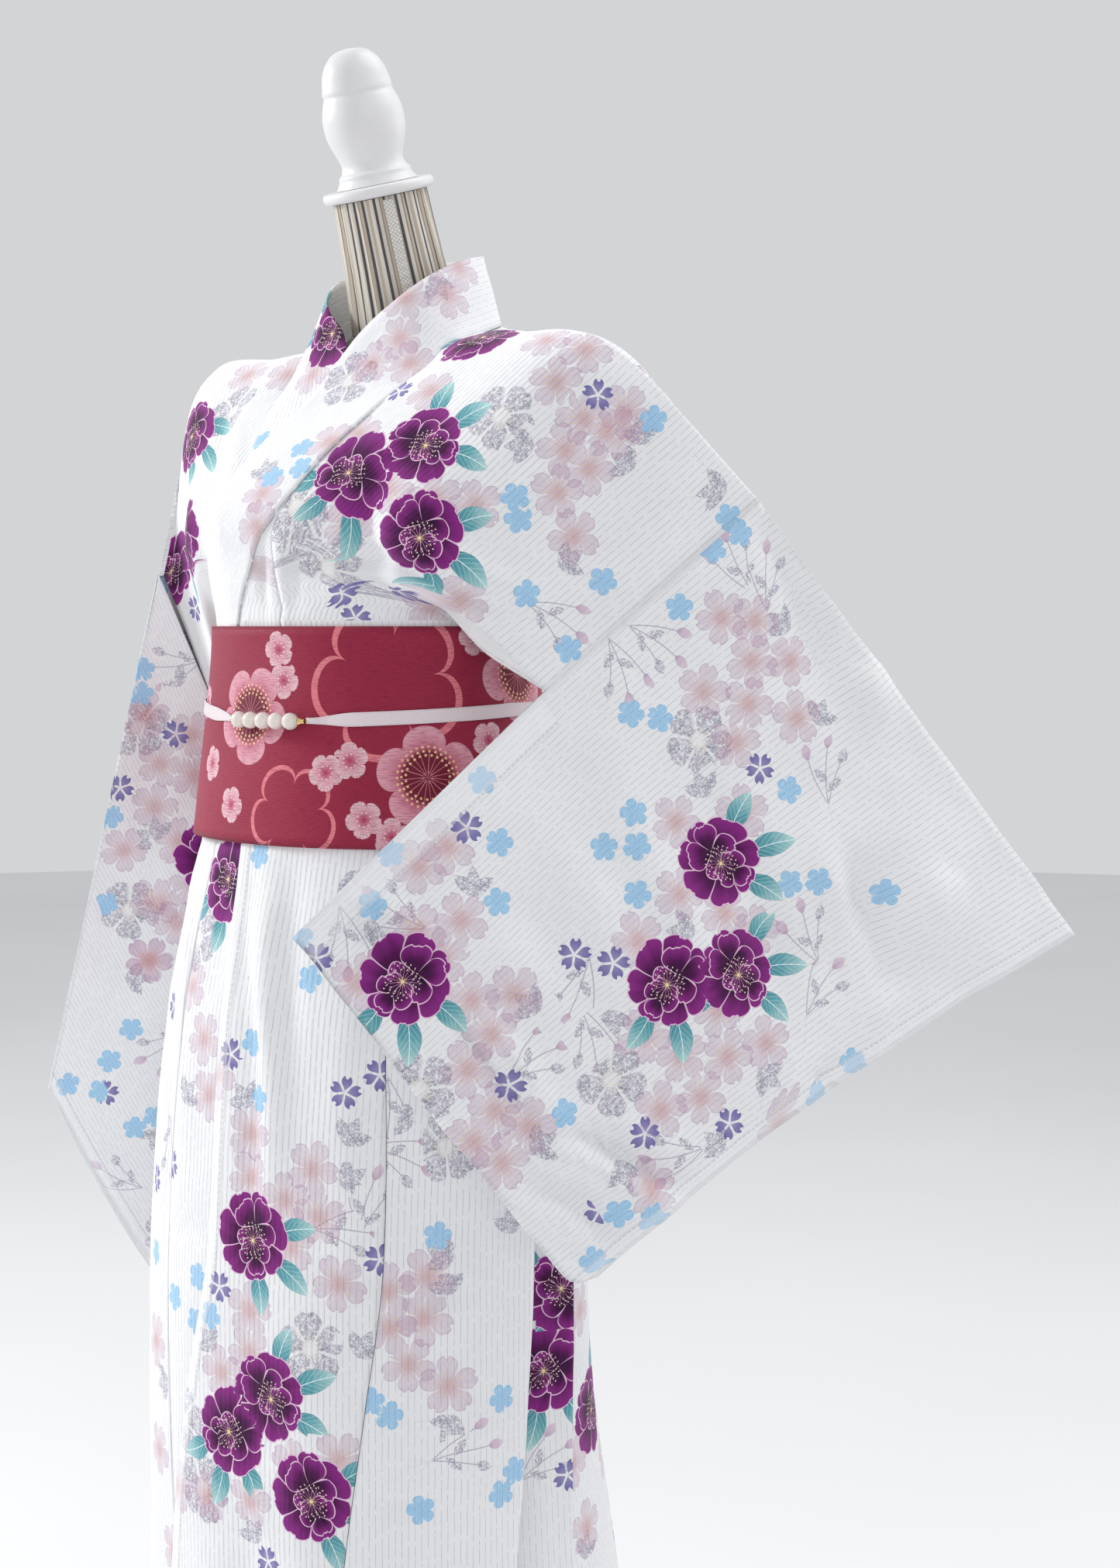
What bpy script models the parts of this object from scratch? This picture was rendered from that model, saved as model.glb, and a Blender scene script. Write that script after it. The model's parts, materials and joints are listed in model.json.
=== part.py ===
"""A cotton yukata robe worn by a limbless dress form on a round stand.

Metres, +Z up. The origin is the middle of the stand's underside, the garment faces -Y and +X is the
wearer's left. The cloth is built as walls: each panel is an open surface with a Solidify modifier.
Angles go round the body in degrees, from 0 at the centre front to 90 at the wearer's left side.
"""

import math

import bmesh
import bpy
import numpy as np
from mathutils import Matrix, Vector

# Cloth
WALL = 0.0015
OBI_WALL = 0.0020
SEAM_GAP = 0.0004
PIECE_GAP = 0.0003
COLLAR_SEAM_GAP = 0.0011
FRONT_WIDTH = 0.25
SLEEVE_WIDTH = 0.36
COLLAR_WIDTH = 0.06
LAYER = 0.0045
LEFT_WRAP_FROM, LEFT_WRAP_TO = 100, 165

# Heights
HEM_Z = 0.08
OBI_LOW_Z = 1.000
OBI_TOP_Z = 1.150
PANEL_TOP_Z = 1.154
COLLAR_END_Z = 1.100

# The body line of the under layer. Each row is a level section: height, right and left half-width,
# front and back depth.
SECTIONS = (
    (0.080, 0.172, 0.176, 0.128, 0.160),
    (0.300, 0.176, 0.172, 0.135, 0.148),
    (0.465, 0.179, 0.168, 0.139, 0.138),
    (0.600, 0.179, 0.166, 0.142, 0.125),
    (0.700, 0.179, 0.166, 0.142, 0.119),
    (0.800, 0.173, 0.165, 0.138, 0.121),
    (0.885, 0.163, 0.159, 0.131, 0.120),
    (0.945, 0.150, 0.148, 0.121, 0.114),
    (0.985, 0.139, 0.137, 0.113, 0.110),
    (1.010, 0.134, 0.132, 0.108, 0.108),
    (1.075, 0.127, 0.126, 0.102, 0.104),
    (1.150, 0.120, 0.120, 0.098, 0.101),
    (1.190, 0.125, 0.125, 0.107, 0.101),
    (1.225, 0.130, 0.130, 0.113, 0.102),
    (1.250, 0.138, 0.138, 0.099, 0.103),
    (1.270, 0.150, 0.150, 0.084, 0.103),
    (1.290, 0.166, 0.166, 0.064, 0.101),
    (1.310, 0.180, 0.180, 0.045, 0.096),
    (1.326, 0.178, 0.178, 0.031, 0.090),
    (1.338, 0.150, 0.150, 0.020, 0.087),
    (1.346, 0.112, 0.112, 0.012, 0.085),
)

# The upper layer's front edge and the under layer's hidden one: height, angle.
LEFT_EDGE = (
    (0.080, -33.0),
    (0.300, -28.0),
    (0.465, -21.0),
    (0.540, -17.5),
    (0.640, -10.5),
    (0.720, -4.5),
    (0.850, -4.0),
    (1.000, -6.0),
    (1.154, -15.7),
)
RIGHT_EDGE_ANGLE = 46.0
RIGHT_EDGE_TOP_ANGLE = 15.8

# Where the front ends at the side and the back begins: height, angle, angle.
SIDES = (
    (0.080, 64.0, 88.0),
    (0.465, 74.0, 95.0),
    (0.700, 82.0, 99.0),
    (0.900, 82.0, 99.0),
    (1.154, 82.0, 99.0),
)
OKUMI_SHARE_LOW = 0.545
OKUMI_SHARE_TOP = 0.22
OKUMI_TIP = 0.60

# Soft flutes of the skirt: angle, half-width in degrees, height where it starts, outward reach at
# the hem.
FLUTES = (
    (8.0, 9.0, 0.98, -0.0075),
    (24.0, 10.0, 0.92, 0.0055),
    (-40.0, 11.0, 0.90, 0.0035),
    (-70.0, 12.0, 0.86, -0.0060),
    (-92.0, 13.0, 0.80, 0.0080),
    (-118.0, 15.0, 0.84, -0.0090),
    (-142.0, 14.0, 0.80, 0.0160),
    (-166.0, 12.0, 0.84, -0.0060),
    (126.0, 22.0, 0.70, 0.0340),
    (160.0, 14.0, 0.80, -0.0080),
)

# The pleat at the wearer's left side, from its outer edge to the back panel: angle where it is
# closed and angle where it is open, both past the side angle, and outward reach where it is open.
PLEAT = (
    (0.9, 1.3, -0.0012),
    (1.8, 0.0, -0.0036),
    (2.8, -11.0, -0.0058),
    (3.8, -12.4, -0.0080),
    (4.8, -11.0, -0.0102),
    (6.5, 5.0, -0.0140),
    (11.0, 11.0, -0.0065),
)
PLEAT_RIDGE = 0.004
PLEAT_DEEP_FROM, PLEAT_DEEP_TO = 0.985, 0.925
PLEAT_TURN_FROM, PLEAT_TURN_TO = 0.905, 0.780

# The wearer's left half of the collar from the centre back to its end under the obi. Each row is a
# crossing of the band: the sewn edge's x, y, z and the free edge's x, y, z.
COLLAR = (
    (0.000, 0.0950, 1.378, 0.000, 0.0880, 1.426),
    (0.030, 0.0920, 1.378, 0.027, 0.0840, 1.426),
    (0.055, 0.0760, 1.373, 0.045, 0.0660, 1.422),
    (0.065, 0.0400, 1.362, 0.0530, 0.0340, 1.414),
    (0.070, 0.0020, 1.349, 0.0500, 0.0060, 1.400),
    (0.070, -0.0180, 1.332, 0.0360, -0.0130, 1.382),
    (0.061, -0.0390, 1.311, 0.0100, -0.0230, 1.359),
    (0.047, -0.0680, 1.284, -0.0120, -0.0450, 1.318),
    (0.034, -0.0930, 1.256, -0.0270, -0.0700, 1.291),
    (0.020, -0.1130, 1.227, -0.0350, -0.0900, 1.270),
    (0.005, -0.1180, 1.211, -0.0480, -0.1030, 1.248),
    (-0.011, -0.1120, 1.188, -0.0600, -0.1080, 1.225),
    (-0.034, -0.0990, 1.154, -0.0770, -0.0830, 1.172),
    (-0.045, -0.0950, 1.100, -0.0770, -0.0800, 1.112),
)
COLLAR_JUNCTION = 3
COLLAR_AT_OBI = 12
CHEST_FREE_Z, CHEST_SET_Z = 1.335, 1.290
CHEST_SET_X, CHEST_FREE_X = 0.078, 0.108

# Front ply of the bodice, from the obi's top edge to the shoulder fold. Each row is a line across
# the ply: the collar row that it starts from, a point on the chest and one before the armhole.
LEFT_FRONT = (
    (11.75, 0.038, -0.0970, 1.161, 0.093, -0.0690, 1.163),
    (11.30, 0.048, -0.1010, 1.178, 0.111, -0.0700, 1.172),
    (10.70, 0.058, -0.1060, 1.198, 0.129, -0.0780, 1.178),
    (9.70, 0.069, -0.1060, 1.226, 0.145, -0.0720, 1.200),
    (8.40, 0.090, -0.0760, 1.262, 0.167, -0.0480, 1.240),
    (6.60, 0.104, -0.0420, 1.310, 0.187, -0.0260, 1.291),
    (4.40, 0.116, -0.0080, 1.345, 0.203, -0.0060, 1.326),
    (3.00, 0.124, 0.0220, 1.3560, 0.2110, 0.0120, 1.3385),
)
RIGHT_FRONT = (
    (11.75, -0.038, -0.0930, 1.161, -0.093, -0.0650, 1.163),
    (11.30, -0.047, -0.0970, 1.178, -0.108, -0.0640, 1.172),
    (10.70, -0.056, -0.1020, 1.198, -0.121, -0.0680, 1.184),
    (9.70, -0.067, -0.1020, 1.226, -0.134, -0.0660, 1.206),
    (8.40, -0.088, -0.0720, 1.262, -0.154, -0.0480, 1.246),
    (6.60, -0.103, -0.0380, 1.310, -0.175, -0.0320, 1.292),
    (4.40, -0.115, -0.0060, 1.345, -0.188, -0.0120, 1.325),
    (3.00, -0.123, 0.0220, 1.3560, -0.1900, 0.0020, 1.3385),
)

# Back ply of the bodice the same way: the ply's inner end, a point on the shoulder blade and one
# before the armhole.
LEFT_BACK = (
    (0.000, 0.1020, 1.168, 0.060, 0.0960, 1.168, 0.112, 0.0520, 1.164),
    (0.000, 0.1050, 1.200, 0.062, 0.0990, 1.200, 0.126, 0.0560, 1.178),
    (0.000, 0.1070, 1.235, 0.066, 0.1020, 1.232, 0.142, 0.0640, 1.198),
    (0.000, 0.1080, 1.275, 0.070, 0.1040, 1.270, 0.160, 0.0740, 1.232),
    (0.000, 0.1060, 1.315, 0.078, 0.1020, 1.305, 0.178, 0.0780, 1.268),
    (0.000, 0.1010, 1.350, 0.090, 0.0930, 1.332, 0.194, 0.0700, 1.298),
    (0.000, 0.0955, 1.3755, 0.103, 0.0760, 1.3480, 0.205, 0.0520, 1.3200),
    (0.030, 0.0925, 1.3755, 0.112, 0.0570, 1.3540, 0.2100, 0.0350, 1.3320),
    (0.055, 0.0765, 1.3705, 0.119, 0.0390, 1.3570, 0.2120, 0.0220, 1.3370),
    (0.065, 0.0400, 1.3595, 0.124, 0.0220, 1.3560, 0.2110, 0.0120, 1.3385),
)
RIGHT_BACK = (
    (0.000, 0.1020, 1.168, -0.060, 0.0960, 1.168, -0.112, 0.0520, 1.160),
    (0.000, 0.1050, 1.200, -0.062, 0.0990, 1.200, -0.124, 0.0600, 1.170),
    (0.000, 0.1070, 1.235, -0.066, 0.1020, 1.232, -0.136, 0.0680, 1.190),
    (0.000, 0.1080, 1.275, -0.070, 0.1040, 1.270, -0.150, 0.0720, 1.225),
    (0.000, 0.1060, 1.315, -0.078, 0.1010, 1.305, -0.165, 0.0690, 1.265),
    (0.000, 0.1010, 1.350, -0.090, 0.0920, 1.332, -0.178, 0.0600, 1.298),
    (0.000, 0.0955, 1.3755, -0.103, 0.0760, 1.3480, -0.186, 0.0440, 1.3200),
    (-0.030, 0.0925, 1.3755, -0.112, 0.0570, 1.3540, -0.1890, 0.0280, 1.3320),
    (-0.055, 0.0765, 1.3705, -0.119, 0.0390, 1.3570, -0.1900, 0.0140, 1.3370),
    (-0.065, 0.0400, 1.3595, -0.123, 0.0220, 1.3560, -0.1900, 0.0020, 1.3385),
)
FRONT_ARMHOLE = (-0.86, -0.42, 0.0, 0.25, 0.5, 0.76, 0.93, 1.0)
BACK_ARMHOLE = (-0.8, -0.35, 0.0, 0.2, 0.42, 0.62, 0.8, 0.9, 0.965, 1.0)

# A sleeve's corners and the underarm, where the armhole seam ends: name, x, y, z. The open slit below
# the underarm rises from the side seam by the first of its triples and passes through the second.
LEFT_SLEEVE = {
    "shoulder": (0.2730, 0.0980, 1.2350),
    "underarm": (0.1880, -0.0280, 1.1070),
    "inner": (0.1022, -0.1753, 0.9518),
    "outer": (0.2357, -0.0503, 0.7230),
    "cuff": (0.4010, 0.3080, 0.9290),
    "back": (-0.643, 0.766, 0.0),
    "slit": ((0.0080, 0.0, 0.0040), (0.142, -0.044, 1.138)),
    "sag": 0.013,
    "gap": 0.0005,
    "side": 1,
}
RIGHT_SLEEVE = {
    "shoulder": (-0.2130, -0.0220, 1.1900),
    "underarm": (-0.1700, 0.0400, 1.0100),
    "inner": (-0.1900, 0.1150, 0.7900),
    "outer": (-0.2560, 0.1780, 0.4650),
    "cuff": (-0.2880, -0.0700, 0.7860),
    "back": (-0.950, 0.290, 0.0),
    "slit": ((-0.0120, 0.0, 0.0030), (-0.146, 0.004, 1.101)),
    "sag": -0.030,
    "gap": 0.0012,
    "side": -1,
}
ARMHOLE_SHARE = 0.49
SLEEVE_DEPTH = 0.024
ARMHOLE_DEPTH = 0.024
SLIT_DEPTH = 0.030
CUFF_DEPTH = 0.018
SEWN_CUFF_DEPTH = 0.0055
FOLD_DEPTH = 0.0040
SLEEVE_BELLY = 0.012

# Obi and its cord
OBI_START, OBI_END = 172.0, -214.0
OBI_LIFT = LAYER + WALL / 2 + OBI_WALL / 2 + 0.0008
OBI_END_LIFT = 0.0032
RIBBON_WIDTH = 0.0095
RIBBON_WALL = 0.0010
RIBBON_LIFT = OBI_LIFT + OBI_WALL / 2 + RIBBON_WALL / 2 + PIECE_GAP
RIBBON_HEIGHTS = (
    (-168.0, 1.0930),
    (-60.0, 1.0940),
    (-14.0, 1.0860),
    (22.0, 1.0860),
    (90.0, 1.0925),
    (192.0, 1.0930),
)
RIBBON_START, RIBBON_END = 21.6, 345.8
PEARL_RADIUS = 0.0059
PEARL_ANGLES = (-6.6, -1.5, 3.6, 8.7, 13.8)
PEARL_Z = 1.0855
CAP_ANGLES = (-10.22, 17.42)
CAP_RADIUS, CAP_LENGTH = 0.0026, 0.0052

# Dress form
FORM_CLEARANCE = 0.0055
SHOULDER_CLEARANCE = 0.0090
HIP_CLEARANCE = 0.020
FORM_LOW_Z = 0.800
FORM_HIGH_Z = 1.336
NECK_LEAN = math.radians(17.5)
DISC_CENTRE = (0.0, 0.0056, 1.4680)
DISC_RADIUS = 0.0410
DISC_HEIGHT = 0.0085
NECK_LENGTH = 0.095
NECK_PROFILE = (
    (0.0346, 0.000),
    (0.0352, -0.020),
    (0.0368, -0.050),
    (0.0388, -0.075),
    (0.0410, -0.095),
)
FINIAL_PROFILE = (
    (0.0300, 0.0000),
    (0.0268, 0.0050),
    (0.0262, 0.0085),
    (0.0238, 0.0110),
    (0.0226, 0.0165),
    (0.0250, 0.0240),
    (0.0284, 0.0340),
    (0.0296, 0.0430),
    (0.0292, 0.0520),
    (0.0268, 0.0610),
    (0.0252, 0.0650),
    (0.0256, 0.0680),
    (0.0250, 0.0720),
    (0.0226, 0.0820),
    (0.0180, 0.0900),
    (0.0110, 0.0955),
    (0.0, 0.0975),
)
BRAID_ANGLE = 12.0
BRAID_WIDTH, BRAID_THICKNESS = 0.0075, 0.0014
BASE_RADIUS = 0.180
BASE_HEIGHT = 0.024
HUB_RADIUS, HUB_HEIGHT = 0.030, 0.034
POLE_RADIUS = 0.0140

# Grid resolution: how many faces each panel has across and along.
SKIRT_ROWS = 13
OBI_ROWS = 3
OKUMI_COLUMNS = 8
FRONT_COLUMNS = 8
BACK_COLUMNS = 8
FRONT_ROWS = 15
BACK_ROWS = 19
SLEEVE_ACROSS = 10
SLEEVE_DOWN = 12
FORM_SIDES = 28


def smooth(low, high, value):
    """0 at low, 1 at high, and an even slope between them."""
    share = min(max((value - low) / (high - low), 0.0), 1.0)
    return share * share * (3 - 2 * share)


def through(rows, place):
    """The values at a place, counted in rows, on a smooth curve through the rows."""
    rows = np.asarray(rows, float)
    first = min(max(int(math.floor(place)), 0), len(rows) - 2)
    part = place - first
    start, end = rows[first], rows[first + 1]
    before = rows[first - 1] if first > 0 else 2 * start - end
    after = rows[first + 2] if first + 2 < len(rows) else 2 * end - start
    return 0.5 * (
        2 * start
        + (end - before) * part
        + (2 * before - 5 * start + 4 * end - after) * part**2
        + (3 * start - before - 3 * end + after) * part**3
    )


def at_height(table, height):
    """The values of a table whose first column is a height."""
    heights = [row[0] for row in table]
    place = np.interp(height, heights, range(len(table)))
    return through([row[1:] for row in table], place)


def flute_reach(angle, height):
    """How far the skirt's flutes stand out at a place."""
    reach = 0.0
    for middle, half_width, start, depth in FLUTES:
        away = (angle - middle + 180) % 360 - 180
        bell = math.exp(-((away / half_width) ** 2))
        reach += depth * bell * smooth(start, HEM_Z + 0.15, height)
    return reach


def body_point(angle, height, lift=0.0):
    """A point round the body at an angle and height, moved out of the under layer's line by lift."""
    right, left, front, back = at_height(SECTIONS, height)
    turn = math.radians(angle)
    side = left if math.sin(turn) > 0 else right
    depth = front if math.cos(turn) > 0 else back
    across, along = math.sin(turn), -math.cos(turn)
    outward = np.array((across / side, along / depth, 0.0))
    outward /= np.linalg.norm(outward)
    reach = lift + flute_reach(angle, height)
    return np.array((side * across, depth * along, height)) + outward * reach


def left_lift(angle):
    """The upper layer's lift: it comes down to the under layer's line at the centre back."""
    return LAYER * (1 - smooth(LEFT_WRAP_FROM, LEFT_WRAP_TO, angle))


def front_edge(side, height):
    """The angle of a front edge of the skirt, and of the collar seam behind the obi."""
    if side > 0:
        return at_height(LEFT_EDGE, height)[0]
    drawn_in = (RIGHT_EDGE_ANGLE - RIGHT_EDGE_TOP_ANGLE) * smooth(OBI_LOW_Z, COLLAR_END_Z, height)
    return drawn_in - RIGHT_EDGE_ANGLE


def lower_front(side, share, height):
    """The front of a body panel and okumi below the obi's top, share 0 at the front edge."""
    edge = front_edge(side, height)
    angle = edge + share * (at_height(SIDES, height)[0] - edge)
    if side > 0:
        return body_point(angle, height, left_lift(angle))
    return body_point(-angle, height)


def lower_back(side, share, height):
    """The back of a body panel below the obi's top, share 0 at the side and 1 at the centre back."""
    front_end, back_start = at_height(SIDES, height)
    start = back_start if side > 0 else front_end + 5
    angle = start + share * (180 - start)
    if side < 0:
        return body_point(-angle, height)
    ridge = PLEAT_RIDGE * smooth(PLEAT_DEEP_FROM, PLEAT_DEEP_TO, height) * (1 - share)
    return body_point(angle, height, left_lift(angle) + ridge)


def pleat_point(row, height):
    """A point of the left side pleat at a height."""
    closed, opened, reach = row
    side_angle = at_height(SIDES, height)[0]
    deep = smooth(PLEAT_DEEP_FROM, PLEAT_DEEP_TO, height)
    turned = smooth(PLEAT_TURN_FROM, PLEAT_TURN_TO, height)
    angle = side_angle + closed + (opened - closed) * turned
    return body_point(angle, height, left_lift(side_angle) + reach * deep)


def okumi_share(height):
    """Where the okumi seam lies across the front, from 0 at the edge to 1 at the side."""
    return OKUMI_SHARE_LOW + (OKUMI_SHARE_TOP - OKUMI_SHARE_LOW) * smooth(OBI_LOW_Z, PANEL_TOP_Z, height)


def collar_point(side, place, across):
    """A point of the collar: place counts the rows from the centre back, across is 0 at the seam."""
    row = through(COLLAR, place)
    point = row[:3] + (row[3:] - row[:3]) * across
    point[0] *= side
    return lay_on_chest(point, side)


def lay_on_chest(point, side):
    """Sets a point of a front ply on the chest, under layer for the right side, upper for the left."""
    x, y, z = point
    lift = LAYER if side > 0 else 0.0
    right, left, front, back = at_height(SECTIONS, min(z, CHEST_FREE_Z))
    width = left if x > 0 else right
    bulge = math.sqrt(max(1 - (x / width) ** 2, 0.05))
    chest = -front * bulge - lift
    under = (LAYER - lift) * smooth(0.02, -0.02, y)
    set_down = smooth(CHEST_FREE_Z, CHEST_SET_Z, z) * smooth(CHEST_FREE_X, CHEST_SET_X, abs(x))
    return np.array((x, (y + under) * (1 - set_down) + chest * set_down, z))


def armhole(sleeve, place, behind):
    """A point of the armhole: 0 at the underarm, 1 at the shoulder, -1 at the side seam's top."""
    underarm = np.array(sleeve["underarm"])
    shoulder = np.array(sleeve["shoulder"])
    back = np.array(sleeve["back"])
    if place >= 0:
        point = underarm + (shoulder - underarm) * place
        depth = armhole_depth((1 - place) * ARMHOLE_SHARE)
        return point + back * depth * behind
    side = sleeve["side"]
    top = lower_back(side, 0.0, PANEL_TOP_Z) if behind else lower_front(side, 1.0, PANEL_TOP_Z)
    rise, middle = sleeve["slit"]
    middle = np.array(middle) + (0.0, SLIT_DEPTH * behind, 0.0)
    near = underarm + back * armhole_depth(ARMHOLE_SHARE) * behind
    return through((top, top + np.array(rise), middle, near), 3 * (1 + place))


def armhole_depth(down):
    """The distance between the sleeve's plies at the armhole end, by the share of its height."""
    return FOLD_DEPTH + (ARMHOLE_DEPTH - FOLD_DEPTH) * math.sin(math.pi * down) ** 0.6


def upper_front(side, share, place):
    """The front ply of the bodice: share 0 at the collar and 1 at the armhole, place counts rows."""
    rows = LEFT_FRONT if side > 0 else RIGHT_FRONT
    sleeve = LEFT_SLEEVE if side > 0 else RIGHT_SLEEVE
    values = through(rows, place)
    start = collar_point(side, values[0], 0.0)
    end = armhole(sleeve, np.interp(place, range(len(FRONT_ARMHOLE)), FRONT_ARMHOLE), 0)
    line = (start, values[1:4], values[4:7], end)
    return lay_on_chest(through(line, 3 * share), side) if share > 0 else start


def upper_back(side, share, place):
    """The back ply of the bodice: share 0 at the armhole and 1 at the centre back or collar."""
    rows = LEFT_BACK if side > 0 else RIGHT_BACK
    sleeve = LEFT_SLEEVE if side > 0 else RIGHT_SLEEVE
    values = through(rows, place)
    end = armhole(sleeve, np.interp(place, range(len(BACK_ARMHOLE)), BACK_ARMHOLE), 1)
    last = len(rows) - 1
    if place > last - 1:
        fold = armhole(sleeve, 1.0, 0)
        end = end + (fold - armhole(sleeve, 1.0, 1)) * (place - last + 1)
    line = (values[:3], values[3:6], values[6:9], end)
    point = through(line, 3 * (1 - share))
    point[0] = side * max(side * point[0], SEAM_GAP / 2)
    return point


def sleeve_point(sleeve, out, around):
    """A point of a sleeve: out 0 at the armhole and 1 at the cuff, around 0 at the top fold, 0.5 at
    the bottom seam and 1 at the top fold again, by way of the back ply."""
    down = 2 * around if around <= 0.5 else 2 * (1 - around)
    behind = 0.0 if around <= 0.5 else 1.0
    corner = {name: np.array(sleeve[name]) for name in ("shoulder", "underarm", "inner", "outer", "cuff")}
    back = np.array(sleeve["back"])
    if down <= ARMHOLE_SHARE:
        near = corner["shoulder"] + (corner["underarm"] - corner["shoulder"]) * down / ARMHOLE_SHARE
    else:
        below = (down - ARMHOLE_SHARE) / (1 - ARMHOLE_SHARE)
        near = corner["underarm"] + (corner["inner"] - corner["underarm"]) * below
    inward = corner["shoulder"] - corner["cuff"]
    inward /= np.linalg.norm(inward)
    far = corner["cuff"] + (corner["outer"] - corner["cuff"]) * down
    far = far + inward * sleeve["sag"] * math.sin(math.pi * down)
    belly = SLEEVE_BELLY * math.sin(math.pi * out) * math.sin(math.pi * down)
    point = near + (far - near) * out - back * belly
    rounded = math.sin(math.pi * down) ** 0.6
    open_cuff = CUFF_DEPTH * rounded
    sewn = smooth(ARMHOLE_SHARE - 0.12, ARMHOLE_SHARE + 0.06, down)
    cuff_depth = open_cuff + (SEWN_CUFF_DEPTH - open_cuff) * sewn
    middle_depth = SLEEVE_DEPTH * rounded
    depth = armhole_depth(down) + (middle_depth - armhole_depth(down)) * smooth(0.0, 0.4, out)
    depth = depth + (cuff_depth - depth) * smooth(0.5, 1.0, out)
    return point + back * max(depth, FOLD_DEPTH) * behind


def grid(make, columns, rows):
    """A grid of points, row after row, from make(column, row)."""
    return [[make(column, row) for column in columns] for row in rows]


def steps(count, low=0.0, high=1.0):
    return [low + (high - low) * number / count for number in range(count + 1)]


def material(name, colour, roughness=0.85, metallic=0.0):
    made = bpy.data.materials.new(name)
    made.use_nodes = True
    shader = made.node_tree.nodes["Principled BSDF"]
    shader.inputs["Base Color"].default_value = (*colour, 1.0)
    shader.inputs["Roughness"].default_value = roughness
    shader.inputs["Metallic"].default_value = metallic
    return made


def add_object(name, mesh, look, collection):
    mesh.materials.append(look)
    made = bpy.data.objects.new(name, mesh)
    collection.objects.link(made)
    return made


def sheet_object(name, grids, thickness, look, collection, offset=0.0):
    """An open surface made of grids that share their edge points, thickened to a wall."""
    shape = bmesh.new()
    for points in grids:
        made = [[shape.verts.new(point) for point in row] for row in points]
        for low, high in zip(made, made[1:]):
            for number in range(len(low) - 1):
                corners = (low[number], low[number + 1], high[number + 1], high[number])
                shape.faces.new(corners)
    bmesh.ops.remove_doubles(shape, verts=shape.verts, dist=0.00002)
    bmesh.ops.dissolve_degenerate(shape, edges=shape.edges, dist=0.00002)
    bmesh.ops.recalc_face_normals(shape, faces=shape.faces)
    mesh = bpy.data.meshes.new(name)
    shape.to_mesh(mesh)
    shape.free()
    made = add_object(name, mesh, look, collection)
    wall = made.modifiers.new("Wall", "SOLIDIFY")
    wall.thickness = thickness
    wall.offset = offset
    mesh.shade_smooth()
    return made


def ring_solid(name, rings, look, collection):
    """A closed solid through rings of equal counts, with a flat face at each end."""
    shape = bmesh.new()
    made = [[shape.verts.new(point) for point in ring] for ring in rings]
    for low, high in zip(made, made[1:]):
        for number in range(len(low)):
            after = (number + 1) % len(low)
            shape.faces.new((low[number], low[after], high[after], high[number]))
    shape.faces.new(list(reversed(made[0])))
    shape.faces.new(made[-1])
    bmesh.ops.recalc_face_normals(shape, faces=shape.faces)
    mesh = bpy.data.meshes.new(name)
    shape.to_mesh(mesh)
    shape.free()
    mesh.shade_smooth()
    mesh.set_sharp_from_angle(angle=math.radians(40))
    return add_object(name, mesh, look, collection)


def turned_object(name, profile, look, collection, sides=28):
    """A solid turned about local Z from (radius, height) pairs listed bottom to top."""
    outline = [(0.0, profile[0][1])] + list(profile)
    if profile[-1][0] > 0:
        outline.append((0.0, profile[-1][1]))
    outline.reverse()
    mesh = bpy.data.meshes.new(name)
    points = [(radius, 0.0, height) for radius, height in outline]
    mesh.from_pydata(points, [(number, number + 1) for number in range(len(points) - 1)], [])
    made = add_object(name, mesh, look, collection)
    turn = made.modifiers.new("Turn", "SCREW")
    turn.steps = sides
    turn.render_steps = sides
    turn.use_merge_vertices = True
    turn.merge_threshold = 0.00002
    turn.use_smooth_shade = True
    return made


def cylinder(name, radius, height, centre, look, collection, bevel=0.0, sides=48):
    """A cylinder that stands on the point centre, with rounded rims where bevel is set."""
    bpy.ops.mesh.primitive_cylinder_add(vertices=sides, radius=radius, depth=height)
    made = bpy.context.object
    made.name = name
    made.data.name = name
    made.data.materials.append(look)
    made.location = Vector(centre) + Vector((0, 0, height / 2))
    if bevel:
        edge = made.modifiers.new("Rim", "BEVEL")
        edge.width = bevel
        edge.segments = 2
        edge.limit_method = "ANGLE"
    made.data.shade_smooth()
    made.data.set_sharp_from_angle(angle=math.radians(40))
    for owner in list(made.users_collection):
        owner.objects.unlink(made)
    collection.objects.link(made)
    return made


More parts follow.
